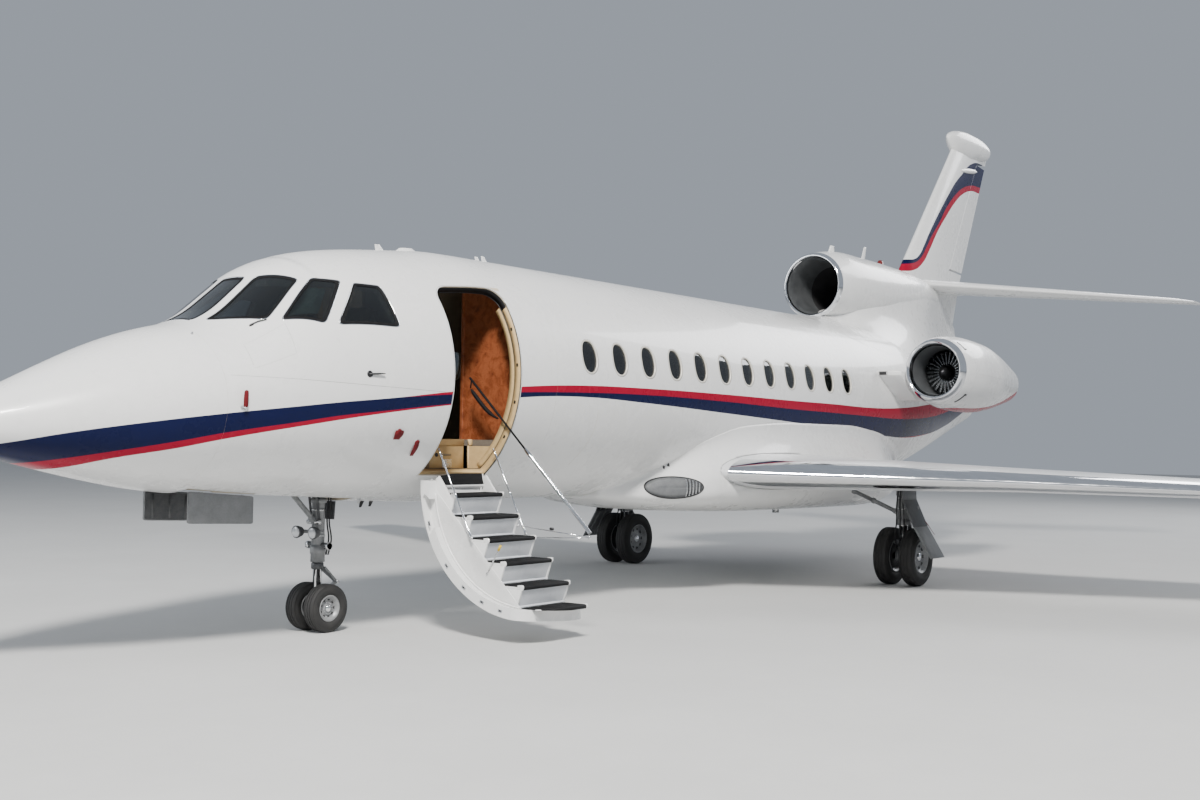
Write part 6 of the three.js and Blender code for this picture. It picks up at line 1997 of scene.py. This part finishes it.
for i in range(STAIR["count"]):
    y, z = STAIR["y"] + i * STAIR["run"], STAIR["z"] - i * STAIR["rise"]
    y0 = y - STAIR["depth"]
    tray = box("tray", STAIR["front"] + 4, STAIR["aft"] - 4, y0, y - 16, z - STAIR["thick"], z - 12)
    riser = yz_prism("riser", [[y - 22, z - 24], [y - 9, z - 24], [y - 66, z - STAIR["rise"] + 16], [y - 48, z - STAIR["rise"] + 8], [y - 48, z - STAIR["rise"] + 1], [y - 84, z - STAIR["rise"] + 1]], STAIR["front"] + 6, STAIR["aft"] - 6)
    for b, mat in ((tray, "white"), (riser, "grey_riser")):
        carve(b, [shell_room()] + ([wall_room()] if i < 2 or i > 3 else []))
        if len(b.data.polygons):
            stair_bits.append(bevelled(paint(b, mat), 2, 2))
    # ribbed pad with a round nose
    prof = [[y0 + 6, z - 12], [y0 + 6, z - 1], [y - 34, z], [y - 22, z + 1], [y - 8, z - 2], [y, z - 10], [y + 2, z - 20], [y, z - 30], [y - 8, z - 37], [y - 18, z - 38], [y - 18, z - 12]]
    pad = yz_prism("pad", prof, STAIR["front"] + 14, STAIR["aft"] - 14)
    carve(pad, [shell_room()] + ([wall_room()] if i > 3 else []))
    pads.append(bevelled(paint(pad, "tread"), 2, 2))
    for j in range(7):
        yy = y - 22 - j * 30
        if yy > y0 + 20:
            pads.append(bevelled(box("rib", STAIR["front"] + 22, STAIR["aft"] - 22, yy - 4, yy + 4, z - 2, z + 2.2, M["tread"]), 1.5, 1))
    # white end pieces that curl up over the pad's nose
    for s0 in (STAIR["front"] + 1, STAIR["aft"] - 14):
        lip_ = [[y - 60, z - 30], [y - 60, z + 4], [y - 20, z + 9], [y - 2, z + 8], [y + 7, z - 4], [y + 7, z - 22], [y - 2, z - 38], [y - 14, z - 42], [y - 30, z - 38]]
        lp = yz_prism("lip", lip_, s0, s0 + 13)
        if i > 3:
            carve(lp, wall_room())
        if len(lp.data.polygons):
            stair_bits.append(bevelled(paint(lp, "white"), 4 if i < 4 else 2, 2))
# top plate: a sloped black pad in a white frame
fr = yz_prism("top_frame", [[812, 1452], [872, 1484], [884, 1478], [914, 1352], [905, 1330], [884, 1336]], STAIR["front"] + 10, STAIR["aft"] - 6)
carve(fr, [shell_room(), wall_room()])
stair_bits.append(bevelled(paint(fr, "white"), 3, 2))
a_, b_ = np.array([876.0, 1474.0]), np.array([908.0, 1356.0])
n_ = np.array([b_[1] - a_[1], -(b_[0] - a_[0])])
n_ /= -np.linalg.norm(n_)
tp = [a_ + (b_ - a_) * 0.06, a_ + (b_ - a_) * 0.94]
quad = [tp[0], tp[1], tp[1] + n_ * 9, tp[0] + n_ * 9]
top_pad = yz_prism("top_pad", [list(q) for q in quad], STAIR["front"] + 26, STAIR["aft"] - 26)
carve(top_pad, wall_room())
pads.append(bevelled(paint(top_pad, "tread"), 2, 2))
door(join(stair_bits, "air_stair_skin"), "white_paint", "air_stair")
door(join(pads, "tread_pads"), "black_plastic")

# fittings on the door's edge: latches with their bolts, hinge arms, a lever with a yellow tip, braces to the handrail's foot
fit = []
for a_deg in (-30, -8, 6, 18, 29):
    for s0, sg in ((DOOR["front"] + DOOR["gap"], -1), (DOOR["aft"] - DOOR["gap"], 1)):
        P = skin(s0 + sg * 0.5, a_deg, 52)
        up = skin(s0, a_deg + 1, 52) - skin(s0, a_deg, 52)
        up /= np.linalg.norm(up)
        n = skin_normal(skin(s0, a_deg)[None, :])[0]
        quad = np.array([P + up * u_ + n * v_ for u_, v_ in ((-24, -12), (24, -12), (24, 12), (-24, 12))])
        x_ = np.array([-sg, 0, 0.0])
        fit.append(opened(loft("latch_plate", [quad + x_ * -0.5, quad + x_ * 2.0], M["brushed"])))
        small_ = np.array([P + up * u_ + n * v_ for u_, v_ in ((-12, -6), (12, -6), (12, 6), (-12, 6))])
        fit.append(opened(loft("latch_bolt", [small_ + x_ * 1.9, small_ + x_ * 2.6], M["black"])))
for s0 in (4392, 4980):
    arm = spline([[s0, 800, 1395], [s0, 842, 1440], [s0, 878, 1420], [s0, 900, 1330], [s0, 902, 1250]], 18)
    arm = pipe("hinge_arm", arm, 9, M["white"], 12)
    carve(arm, wall_room())
    fit.append(smooth(paint(arm, "white"), 40))
fit.append(bar("lever", [4350, 1712, 845], [4350, 1560, 590], 7, 6, M["brushed"], 14))
fit.append(bar("lever_tip", [4350, 1718, 855], [4350, 1690, 808], 11, 11, M["yellow"], 16))
fit.append(bar("bracket", [4350, 1560, 590], [4362, 1560, 590], 16, 16, M["brushed"], 20))
fit += [bar("brace", [5036, 1330, 985], [5104, 2122, 912], 5, 5, M["chrome"], 12), bar("brace", [5036, 1520, 885], [5100, 2130, 905], 5, 5, M["chrome"], 12),
        rod("knob", [5065, 1690, 972], [5069, 1738, 970], [(0, 5), (0.15, 13), (0.85, 13), (1, 5)], M["black"], 18),
        bar("foot", [5112, 2136, 925], [5104, 2118, 895], 11, 9, M["chrome"], 16),
        bar("brace_end", [5028, 1330, 985], [5042, 1330, 985], 12, 12, M["brushed"], 16), bar("brace_end", [5028, 1520, 885], [5042, 1520, 885], 12, 12, M["brushed"], 16)]
door(join(fit, "door_fittings"), "polished_metal")

# stays with eyes at both ends
STAY = dict(top=(975, 1700), low=(1400, 905), front=4310, aft=5068, r=8)
for nm, s0 in (("door_stay_front", STAY["front"]), ("door_stay_rear", STAY["aft"])):
    A, B = [s0, *STAY["top"]], [s0, *STAY["low"]]
    parts = [rod("stay", A, B, [(0, 8), (0.02, 8), (0.03, 10.5), (0.09, 10.5), (0.10, 7.5), (0.5, 7.5), (0.505, 9.5), (0.54, 9.5), (0.545, 7.5), (0.9, 7.5), (0.91, 10), (0.97, 10), (0.98, 8), (1, 8)], M["chrome"], 20)]
    parts.append(rod("eye", [s0 - 7, *STAY["top"]], [s0 + 7, *STAY["top"]], [(0, 9), (1, 9)], M["brushed"], 20))
    parts.append(rod("eye", [s0 - 7, *STAY["low"]], [s0 + 7, *STAY["low"]], [(0, 14), (1, 14)], M["brushed"], 20))
    ride(join(parts, nm + "_skin"), "door_stays", "polished_metal", nm)

# handrail: a bright tube, and the black rod that slides in it with its padded grip
RAIL = dict(s=5112, top=(610, 2400), low=(2130, 950), split=0.52, r=17, rod=10)
rail_at = lambda t, off=0.0: [RAIL["s"], lerp(RAIL["low"][0], RAIL["top"][0], t) - off * 0.69, lerp(RAIL["low"][1], RAIL["top"][1], t) - off * 0.724]
tube_profile = [(0.012, 12.6), (0.0, 12.6), (0.0, 16), (0.02, 17), (0.47, 17), (0.475, 20), (0.505, 20), (0.51, 17), (0.5199, 16.5), (0.5199, 12.6), (0.0162, 12.6)]
tube_ = rod("handrail_tube_skin", rail_at(0), rail_at(1), tube_profile, M["chrome"], 28)
ride(tube_, "handrail", "polished_metal", "handrail_tube")
rod_ = [rod("rod", rail_at(0.47), rail_at(1), [(0, 9.8), (0.5, 9.8), (0.51, 12), (0.98, 12), (1, 9)], M["rubber_seal"], 22)]
grip = spline([rail_at(0.738, 31), rail_at(0.762, 50), rail_at(0.80, 68), rail_at(0.90, 76), rail_at(0.955, 70)], 26)
rod_.append(pipe("grip", grip, np.concatenate([np.linspace(9, 16, 6), np.full(17, 20.0), np.linspace(17, 9, 3)]), M["rubber_seal"], 18))
rod_.append(pipe("grip_post", [rail_at(0.984, 0), rail_at(0.962, 66)], 7, M["rubber_seal"], 12))
ride(join(rod_, "handrail_rod_skin"), "handrail_rod", "polished_metal", "handrail_rod")


# ------------------------------------------------------------------ landing gear
def rubber(name):
    t = Tree(name)
    n = t.noise(14, 5, 0.6)
    t.set(Base_Color=t.ramp(n, (0.3, (0.010, 0.010, 0.0105)), (0.7, (0.030, 0.029, 0.028))), Roughness=t.range(n, 0.62, 0.86, 0.3, 0.7))
    t.set(Normal=t.bump(t.noise(320, 3, 0.6), 0.4, 0.5 * MM))
    return t.mat


M["rubber"] = rubber("tyre_rubber_worn")
# painted shade: the gear's white paint given as a mid grey, the legs standing in the shadow of the fuselage and wings
M["gear_white_shaded"] = plain("gear_paint_painted_shade", (0.17, 0.175, 0.18), (0.28, 0.285, 0.29), (0.30, 0.48), 0.0, 14, 0.25, 240, detail=7)
M["gear_dark"] = plain("gear_dark_grey", (0.055, 0.057, 0.06), (0.11, 0.113, 0.118), (0.38, 0.55), 0.3, 18, 0.3, 260, detail=7)
M["hub"] = plain("wheel_hub_grey", (0.20, 0.205, 0.21), (0.34, 0.345, 0.35), (0.32, 0.5), 0.35, 18, 0.3, 260, detail=7)
M["leg_door_low"] = plain("leg_door_grey", (0.12, 0.125, 0.13), (0.19, 0.195, 0.20), (0.38, 0.55), 0.0, 12, 0.3, 240)
M["hose"] = plain("hydraulic_hose", (0.010, 0.010, 0.011), (0.03, 0.03, 0.032), (0.45, 0.6), 0.0, 30, 0.3, 300)
M["cable"] = plain("brake_carbon", (0.02, 0.02, 0.021), (0.05, 0.05, 0.052), (0.6, 0.8), 0.2, 22, 0.4, 260)


def tyre(name, s, y, z, r, w, rim, grooves=3):
    """Tyre with round shoulders and tread grooves."""
    h = w / 2
    p = [[-h * 0.60, rim + 1.5], [-h * 0.74, rim + 3], [-h * 0.80, rim + 10]]
    for t in np.linspace(0, 1, 9):
        p.append([-h * (0.80 + 0.19 * math.cos(rad(-80 + 160 * t))), lerp(rim + 12, r - (r - rim) * 0.20, t)])
    p += [[-h * 0.84, r - (r - rim) * 0.125], [-h * 0.74, r - (r - rim) * 0.06], [-h * 0.60, r - (r - rim) * 0.022]]
    top = []
    gs = np.linspace(-0.42, 0.42, grooves) * h
    for g in gs:
        k = lambda q: r - 0.9 - (abs(q) / h) ** 2 * 4
        top += [[g - 4.6, k(g)], [g - 3.6, k(g) - 6], [g + 3.6, k(g) - 6], [g + 4.6, k(g)]]
    p += top
    p += [[-a, b] for a, b in p[: len(p) - len(top)][::-1]]
    p.append(p[0])
    return turned(name, p, "y", [s, y, z], M["rubber"], 96)


def wheel_half(s, y, z, half, rim, axle, out, mat="hub", holes=9, depth=0.45):
    """One wheel: rim with flanges, a dished disc with round openings, a hub cap and a ring of bolts. out is the side its face looks to."""
    parts = []
    b = half * 0.92
    prof = [[-b, rim - 10], [-b - 2, rim + 1], [-b + 3, rim + 5], [-b + 7, rim + 1], [-b + 14, rim - 7], [b - 14, rim - 7], [b - 7, rim + 1], [b - 3, rim + 5], [b + 2, rim + 1], [b, rim - 10],
            [b * 0.55, rim - 24], [b * 0.30, rim * 0.62], [b * 0.44, rim * 0.40], [b * 0.5, axle + 6], [b * 0.5, axle], [-b * 0.2, axle], [-b * 0.2, rim * 0.5], [-b * 0.4, rim - 22], [-b, rim - 10]]
    w = turned("wheel", [[a * out, r] for a, r in prof], "y", [s, y, z], M[mat], 72)
    parts.append(w)
    for i in range(holes):
        a = i * 2 * math.pi / holes
        rr = rim * 0.70
        c = [s + rr * math.cos(a), y, z + rr * math.sin(a)]
        parts.append(turned("opening", [[0, 0], [0, rim * 0.115], [3.5, rim * 0.105], [4.0, rim * 0.085], [1.5, rim * 0.08], [1.5, 0]] if out > 0 else [[0, 0], [0, rim * 0.115], [-3.5, rim * 0.105], [-4.0, rim * 0.085], [-1.5, rim * 0.08], [-1.5, 0]], "y", [c[0], y + out * (b * 0.40), c[2]], M["black"], 20))
    for i in range(holes * 2):
        a = (i + 0.5) * math.pi / holes
        rr = rim * 0.44
        parts.append(turned("bolt", [[0, 0], [0, 5.5], [6, 5.5], [7, 3.5], [7, 0]] if out > 0 else [[0, 0], [0, 5.5], [-6, 5.5], [-7, 3.5], [-7, 0]], "y", [s + rr * math.cos(a), y + out * (b * 0.44), z + rr * math.sin(a)], M["chrome"], 10))
    cap = [[0, axle * 1.25], [8, axle * 1.25], [14, axle * 1.1], [20, axle * 0.9], [22, 0]]
    parts.append(turned("cap", [[(b * 0.5 + a) * out, r] for a, r in [[-6, 0], [-6, axle * 1.25]] + cap[1:]], "y", [s, y, z], M["polished"], 40))
    return parts


def wheels(name, body, s, y, z, track, width, r, rim, axle, half, nodes):
    parts = []
    for side in (1, -1):
        parts += wheel_half(s, y + side * track, z, half, rim, axle, side)
        # inner face of each wheel
        parts.append(turned("inner", [[a * -side, q] for a, q in ((half * 0.2, axle + 2), (half * 0.62, axle + 4), (half * 0.66, rim * 0.72), (half * 0.3, rim * 0.8), (half * 0.2, axle + 2))], "y", [s, y + side * track, z], M["cable"], 48))
    parts.append(turned("axle", [[-track - half * 0.3, 0], [-track - half * 0.3, axle - 2], [track + half * 0.3, axle - 2], [track + half * 0.3, 0]], "y", [s, y, z], M["chrome"], 32))
    hubs = join(parts, name + "_hubs_skin")
    ride(hubs, body, "polished_metal", nodes[0])
    for side, node in ((1, nodes[1]), (-1, nodes[2])):
        ride(tyre(node + "_skin", s, y + side * track, z, r, width, rim), body, "tyre_rubber", node)


NS, NZ = NOSE_GEAR["s"], NOSE_GEAR["wheel"]
wheels("nose_wheel", "nose_wheels", NS, 0, NZ, NOSE_GEAR["track"], NOSE_GEAR["width"], NZ, 118, 28, 62, ("nose_wheel_hubs", "nose_tyre_left", "nose_tyre_right"))
MS, MY, MZ = MAIN_GEAR["s"], MAIN_GEAR["y"], MAIN_GEAR["wheel"]
wheels("main_wheel_left", "main_wheels_left", MS, MY, MZ, MAIN_GEAR["track"], MAIN_GEAR["width"], MZ, 205, 44, 88, ("main_wheel_hubs_left", "main_tyre_outer_left", "main_tyre_inner_left"))
wheels("main_wheel_right", "main_wheels_right", MS, -MY, MZ, MAIN_GEAR["track"], MAIN_GEAR["width"], MZ, 205, 44, 88, ("main_wheel_hubs_right", "main_tyre_inner_right", "main_tyre_outer_right"))


def steps_of(*rows):
    """Turned profile with sharp shoulders from (share, radius) rows."""
    out = []
    for i, (k, r) in enumerate(rows):
        out.append((k, r))
        if i + 1 < len(rows):
            out.append((rows[i + 1][0] - 0.0015, r))
    return out


def plate_link(name, a, b, w0, w1, t, mat):
    """Flat tapered link between two points of one fore-and-aft plane, w0 and w1 wide sideways."""
    A, B = np.array([X(a[0]), a[1], a[2]]), np.array([X(b[0]), b[1], b[2]])
    d = (B - A) / np.linalg.norm(B - A)
    n = np.cross(d, [0, 1.0, 0])
    n /= np.linalg.norm(n)
    rings = []
    for k, w in ((0, w0), (0.12, w0), (0.88, w1), (1, w1)):
        P = A + (B - A) * k
        rings.append(np.array([P + n * t / 2 + [0, w / 2, 0], P - n * t / 2 + [0, w / 2, 0], P - n * t / 2 - [0, w / 2, 0], P + n * t / 2 - [0, w / 2, 0]]))
    return bevelled(loft(name, rings, mat), 4, 2)


# nose leg: barrel with collars, drag brace, lamps, hoses
leg = [rod("leg", [NS, 0, 1729], [NS, 0, 636], steps_of((0, 66), (0.12, 72), (0.20, 62), (0.44, 62), (0.46, 74), (0.50, 60), (0.84, 60), (0.86, 72), (0.93, 66), (1.0, 54)), M["gear_white_shaded"], 48)]
leg.append(bevelled(box("trunnion", NS - 130, NS + 130, -110, 110, 1480, 1729, M["gear_white_shaded"]), 26, 3))
leg.append(rod("drag_brace", [NS - 700, 0, 1640], [NS - 40, 0, 1010], steps_of((0, 24), (0.05, 34), (0.12, 26), (0.5, 26), (0.52, 33), (0.56, 24), (0.9, 24), (0.93, 34), (1, 30)), M["gear_white_shaded"], 28))
leg.append(bar("pin", [NS - 50, -84, 1010], [NS - 50, 84, 1010], 22, 22, M["brushed"], 24))
leg.append(bar("cross", [NS, -200, 1560], [NS, 200, 1560], 40, 40, M["gear_white_shaded"], 28))
for y in (-52, 52):
    leg.append(rod("side_link", [NS - 30, y, 1000], [NS - 110, y, 1500], [(0, 17), (0.06, 17), (0.08, 12), (0.92, 12), (0.94, 17), (1, 17)], M["gear_dark"], 18))
# steering actuators round the barrel, two lamps on their bracket
leg.append(bar("actuator", [NS + 10, -150, 790], [NS + 10, 150, 790], 30, 30, M["gear_dark"], 26))
for y in (-150, 118):
    leg.append(bar("actuator_cap", [NS + 10, y, 790], [NS + 10, y + 32, 790], 35, 35, M["brushed"], 26))
leg.append(bevelled(box("lamp_bracket", NS - 105, NS - 60, -150, 150, 905, 935, M["gear_white_shaded"]), 6))
for y in (-112, 112):
    leg.append(rod("lamp_body", [NS - 92, y, 920], [NS - 172, y, 916], [(0, 30), (0.2, 44), (0.75, 57), (0.98, 58), (1, 52)], M["gear_dark"], 36))
    leg.append(rod("lamp_glass", [NS - 168, y, 916], [NS - 180, y, 916], [(0, 51), (0.6, 48), (1, 30)], M["lamp"], 36))
for k, (y0, z0) in enumerate(((58, 1440), (-50, 1440), (30, 1420))):
    pts = spline([[NS + 60, y0, z0], [NS + 86, y0 * 1.2, 1240], [NS + 78, y0 * 1.1, 1000], [NS + 96, y0 * 1.3, 840], [NS + 74, y0, 700]], 22)
    leg.append(pipe("hose", pts, 7.5, M["hose"], 10))
for z0 in (1300, 1120, 880):
    leg.append(rod("clamp", [NS, 0, z0 + 8], [NS, 0, z0 - 8], [(0, 66), (1, 66)], M["brushed"], 40))
# dark tilted plate behind the leg
leg.append(bevelled(yz_prism("shield", [[-96, 1030], [96, 1030], [110, 1200], [-110, 1200]], NS + 104, NS + 112, M["gear_dark"]), 3))
airframe(join(leg, "nose_gear_leg_skin"), "gear_paint", "nose_gear_leg")

fork = [rod("piston", [NS, 0, 636], [NS, 0, NZ + 40], steps_of((0, 44), (0.05, 40), (0.70, 40), (0.72, 50), (1, 52)), M["chrome"], 40)]
fork.append(turned("boss", [[-54, 30], [-54, 58], [-46, 62], [46, 62], [54, 58], [54, 30], [-54, 30]], "y", [NS, 0, NZ], M["gear_white_shaded"], 44))
fork.append(rod("fork_neck", [NS, 0, 330], [NS, 0, NZ + 30], [(0, 50), (0.4, 56), (1, 50)], M["gear_white_shaded"], 36))
fork.append(plate_link("torque_link", [NS + 36, 0, 306], [NS + 226, 0, 440], 92, 44, 22, M["gear_white_shaded"]))
fork.append(plate_link("torque_link", [NS + 226, 0, 444], [NS + 56, 0, 586], 44, 92, 22, M["gear_white_shaded"]))
fork.append(bar("link_pin", [NS + 228, -32, 441], [NS + 228, 32, 441], 15, 15, M["brushed"], 20))
fork.append(rod("steering_collar", [NS, 0, 632], [NS, 0, 572], [(0, 50), (0.1, 58), (0.9, 58), (1, 50)], M["gear_dark"], 40))
fork.append(bar("tow_pin", [NS - 70, -50, NZ], [NS - 70, 50, NZ], 12, 12, M["brushed"], 18))
fork.append(bevelled(box("tow_lug", NS - 84, NS - 40, -40, 40, NZ - 16, NZ + 16, M["gear_white_shaded"]), 5))
ride(join(fork, "nose_gear_fork_skin"), "nose_fork", "gear_paint", "nose_gear_fork")

# nose doors: outer face painted, inner face a dark plate with its pressed frame, the dark plate being painted shade
ND = dict(y=303, s0=2080, s1=2740, t0=1333, t1=1279, l0=1068, l1=1042, t=22)
for side, nm in ((1, "left"), (-1, "right")):
    y0, y1 = side * (ND["y"] - 11), side * (ND["y"] + 11)
    lo, hi = min(y0, y1), max(y0, y1)
    p = sz_prism("door", rounded([[ND["s0"], ND["l0"]], [ND["s1"], ND["l1"]], [ND["s1"], ND["t1"]], [ND["s0"], ND["t0"]]], 0.06, 5), lo, hi, M["leg_door_low"], 3)
    parts = [p]
    yi = lo - 5 if side > 0 else hi
    yp = lo - 1.5 if side > 0 else hi
    # dark plate on the inner face: painted shade
    parts.append(sz_prism("inner_face", rounded([[ND["s0"] + 8, ND["l0"] + 8], [ND["s1"] - 8, ND["l1"] + 8], [ND["s1"] - 8, ND["t1"] - 16], [ND["s0"] + 8, ND["t0"] - 16]], 0.06, 5), yp, yp + 1.5, M["gear_dark"]))
    for k in (0.12, 0.38, 0.62, 0.88):
        s_ = lerp(ND["s0"], ND["s1"], k)
        parts.append(box("rib", s_ - 12, s_ + 12, yi, yi + 5, lerp(ND["l0"], ND["l1"], k) + 24, lerp(ND["t0"], ND["t1"], k) - 30, M["gear_dark"], 2, 1))
    for k in (0.2, 0.8):
        s_ = lerp(ND["s0"], ND["s1"], k)
        zt = lerp(ND["t0"], ND["t1"], k)
        parts.append(box("hinge", s_ - 26, s_ + 26, lo + 2, hi - 2, zt - 14, zt + 3, M["brushed"], 3, 1))
    ride(join(parts, "nose_gear_door_skin_" + nm), "nose_door_" + nm, "white_composite", "nose_gear_door_" + nm)

# main legs
for side, nm in ((1, "left"), (-1, "right")):
    q = lambda y: side * y
    leg = [rod("leg", [MS, q(MY), 1400], [MS, q(MY), 770], steps_of((0, 88), (0.30, 96), (0.40, 84), (0.86, 84), (0.88, 97), (1, 90)), M["gear_white_shaded"], 48)]
    wroom = wing_solid("wr", WING, 2.0)
    carve(leg[0], wroom)
    smooth(paint(leg[0], "gear_white_shaded"), 35)
    leg.append(rod("piston", [MS, q(MY), 790], [MS, q(MY), MZ + 60], steps_of((0, 60), (0.12, 56), (0.86, 56), (0.88, 68), (1, 70)), M["chrome"], 44))
    leg.append(turned("boss", [[-76, 46], [-76, 82], [-66, 88], [66, 88], [76, 82], [76, 46], [-76, 46]], "y", [MS, q(MY), MZ], M["gear_white_shaded"], 44))
    leg.append(rod("neck", [MS, q(MY), 520], [MS, q(MY), MZ + 50], [(0, 66), (0.3, 74), (1, 66)], M["gear_white_shaded"], 40))
    brace = rod("side_brace", [MS, q(MY - 60), 924], [MS, q(MY - 720), 1190], steps_of((0, 36), (0.1, 28), (0.5, 28), (0.52, 38), (0.57, 26), (0.92, 26), (0.94, 36), (1, 36)), M["gear_white_shaded"], 28)
    leg.append(brace)
    leg.append(bar("pin", [MS - 60, q(MY - 70), 928], [MS + 60, q(MY - 70), 928], 20, 20, M["brushed"], 22))
    leg.append(plate_link("torque_link", [MS + 66, q(MY), 436], [MS + 296, q(MY), 600], 118, 56, 28, M["gear_white_shaded"]))
    leg.append(plate_link("torque_link", [MS + 296, q(MY), 604], [MS + 76, q(MY), 806], 56, 118, 28, M["gear_white_shaded"]))
    leg.append(bar("link_pin", [MS + 298, q(MY) - 40, 602], [MS + 298, q(MY) + 40, 602], 18, 18, M["brushed"], 20))
    # door that follows the leg, bent outwards half way down; its upper part dark grey as painted shade, its lower half
    # lighter
    outer_line = [[MY + 148, 1290], [MY + 160, 1110], [MY + 315, 775], [MY + 550, 395]]
    inner_line = [[MY + 105, 1290], [MY + 115, 1100], [MY + 270, 760], [MY + 497, 372]]
    for k, mat in ((0, "gear_dark"), (1, "gear_dark"), (2, "leg_door_low")):
        m0 = [[(a[0] + b[0]) / 2, (a[1] + b[1]) / 2] for a, b in zip(outer_line, inner_line)]
        d = 13
        quad = [[m0[k][0] + d, m0[k][1]], [m0[k + 1][0] + d, m0[k + 1][1]], [m0[k + 1][0] - d, m0[k + 1][1]], [m0[k][0] - d, m0[k][1]]]
        leg.append(bevelled(yz_prism("leg_door", [[q(a), b] for a, b in quad], MS - 330, MS + 70, M[mat]), 4, 2))
    mids = [[(a[0] + b[0]) / 2, (a[1] + b[1]) / 2] for a, b in zip(outer_line, inner_line)]
    for k in (1, 2):
        for ds in (-250, -120, 10):
            A, B = np.array(mids[k]), np.array(mids[k + 1])
            leg.append(bar("stiffener", [MS + ds, q(A[0] - 20), A[1] - 12], [MS + ds, q(B[0] - 20), B[1] + 16], 9, 9, M["gear_white_shaded"], 10))
    leg.append(bar("door_link", [MS, q(MY), 1000], [MS, q(MY + 208), 1000], 26, 22, M["gear_white_shaded"], 24))
    leg.append(bar("door_link", [MS - 10, q(MY + 60), 820], [MS - 10, q(MY + 270), 830], 15, 15, M["gear_white_shaded"], 18))
    for z0 in (1120, 980, 840):
        leg.append(rod("clamp", [MS, q(MY), z0 + 9], [MS, q(MY), z0 - 9], [(0, 90), (1, 90)], M["brushed"], 40))
    for k, dy in enumerate((-46, 0, 46)):
        pts = spline([[MS - 92, q(MY) + dy * 0.6, 1240], [MS - 112, q(MY) + dy, 1000], [MS - 98, q(MY) + dy * 1.1, 800], [MS - 122, q(MY) + dy * 1.3, 640], [MS - 88, q(MY) + dy, 470]], 22)
        leg.append(pipe("hose", pts, 8.5, M["hose"], 10))
    # red tag on its pin
    if side > 0:
        rows = []
        for t in np.linspace(0, 1, 12):
            c_ = np.array([X(lerp(11584, 11674, t)) , lerp(2541, 2638, t) + 3 * math.sin(t * 6), lerp(844, 667, t)])
            k_s = 15 + 3 * math.sin(t * 7)
            rows.append([c_ + [k_s, 0, 4], c_ + [k_s, 2, 4], c_ + [-k_s, 2, -4], c_ + [-k_s, 0, -4]])
        leg.append(smooth(loft("tag", rows, M["red_cover"]), 50))
    airframe(join(leg, "main_gear_leg_skin_" + nm), "gear_paint", "main_gear_leg_" + nm)

# bay walls over the nose wheel, dark inside
bay = box("bay_liner", 2066, 3894, -274, 274, 1200, 1716)
carve(bay, box("in", 2078, 3882, -262, 262, 1100, 1704))
carve(bay, tube_of("t", s_rows(1800, 4300), WALL + 4, 96), "INTERSECT")
paint(bay, "gear_dark")
carve(bay, [box("legroom", NS - 142, NS + 142, -122, 122, 1100, 1740), bar("crossroom", [NS, -300, 1560], [NS, 300, 1560], 48, 48, None, 20), bar("bracer", [NS - 760, 0, 1694], [NS, 0, 1010], 44, 44, None, 20)])
airframe(bay, "gear_paint")

# the CAD engine blocks that stay take the near-black painted shade of the deep ducts
for nm_, mat in (("engine_left", "duct_deep_shade"), ("engine_right", "duct_deep_shade"), ("engine_centre", "duct_deep_shade")):
    for sl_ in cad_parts[nm_].material_slots:
        sl_.material = M[mat]



# ------------------------------------------------------------------ floor, light and camera
def camera():
    C = Vector((14.869, 9.701, 1.781))
    yaw, pitch, roll = rad(37.135), rad(1.789), rad(0.805)
    f = Vector((-math.cos(yaw) * math.cos(pitch), -math.sin(yaw) * math.cos(pitch), math.sin(pitch)))
    r = Vector((-math.sin(yaw), math.cos(yaw), 0))
    u = Vector((math.cos(yaw) * math.sin(pitch), math.sin(yaw) * math.sin(pitch), math.cos(pitch)))
    rr = r * math.cos(roll) + u * math.sin(roll)
    uu = -r * math.sin(roll) + u * math.cos(roll)
    cam = bpy.data.cameras.new("camera")
    cam.lens, cam.sensor_width = 40.74, 36.0
    cam.clip_start, cam.clip_end = 0.05, 500
    ob = bpy.data.objects.new("camera", cam)
    m = Matrix.Identity(4)
    for i in range(3):
        m[i][0], m[i][1], m[i][2], m[i][3] = rr[i], uu[i], -f[i], C[i]
    ob.matrix_world = m
    bpy.context.scene.collection.objects.link(ob)
    bpy.context.scene.camera = ob


camera()
floor = make("floor", [[-90, -90, 0], [90, -90, 0], [90, 90, 0], [-90, 90, 0]], [(0, 1, 2, 3)], plain("floor_pale", (0.52, 0.52, 0.51), (0.56, 0.56, 0.55), (0.75, 0.85), 0, 0.6), scale=1.0)


def light(name, at, to, size, power, colour=(1, 1, 1)):
    l = bpy.data.lights.new(name, "AREA")
    l.shape, l.size, l.size_y, l.energy, l.color = "RECTANGLE", size[0], size[1], power, colour
    ob = bpy.data.objects.new(name, l)
    ob.location = at
    d = Vector(to) - Vector(at)
    ob.rotation_euler = d.to_track_quat("-Z", "Y").to_euler()
    bpy.context.scene.collection.objects.link(ob)


light("key", (20, 13.8, 22), (1, 0, 2), (4.5, 4.5), 16000, (1.0, 0.975, 0.94))
light("fill", (22, -16, 12), (2, 0, 2), (16, 10), 2600, (0.93, 0.97, 1.0))
light("back", (-26, 6, 16), (-4, 0, 3), (16, 8), 3600, (0.97, 0.98, 1.0))
world = bpy.data.worlds.new("studio")
bpy.context.scene.world = world
world.use_nodes = True
bg = world.node_tree.nodes["Background"]
bg.inputs[0].default_value = (0.80, 0.88, 1.0, 1)
bg.inputs[1].default_value = 0.42
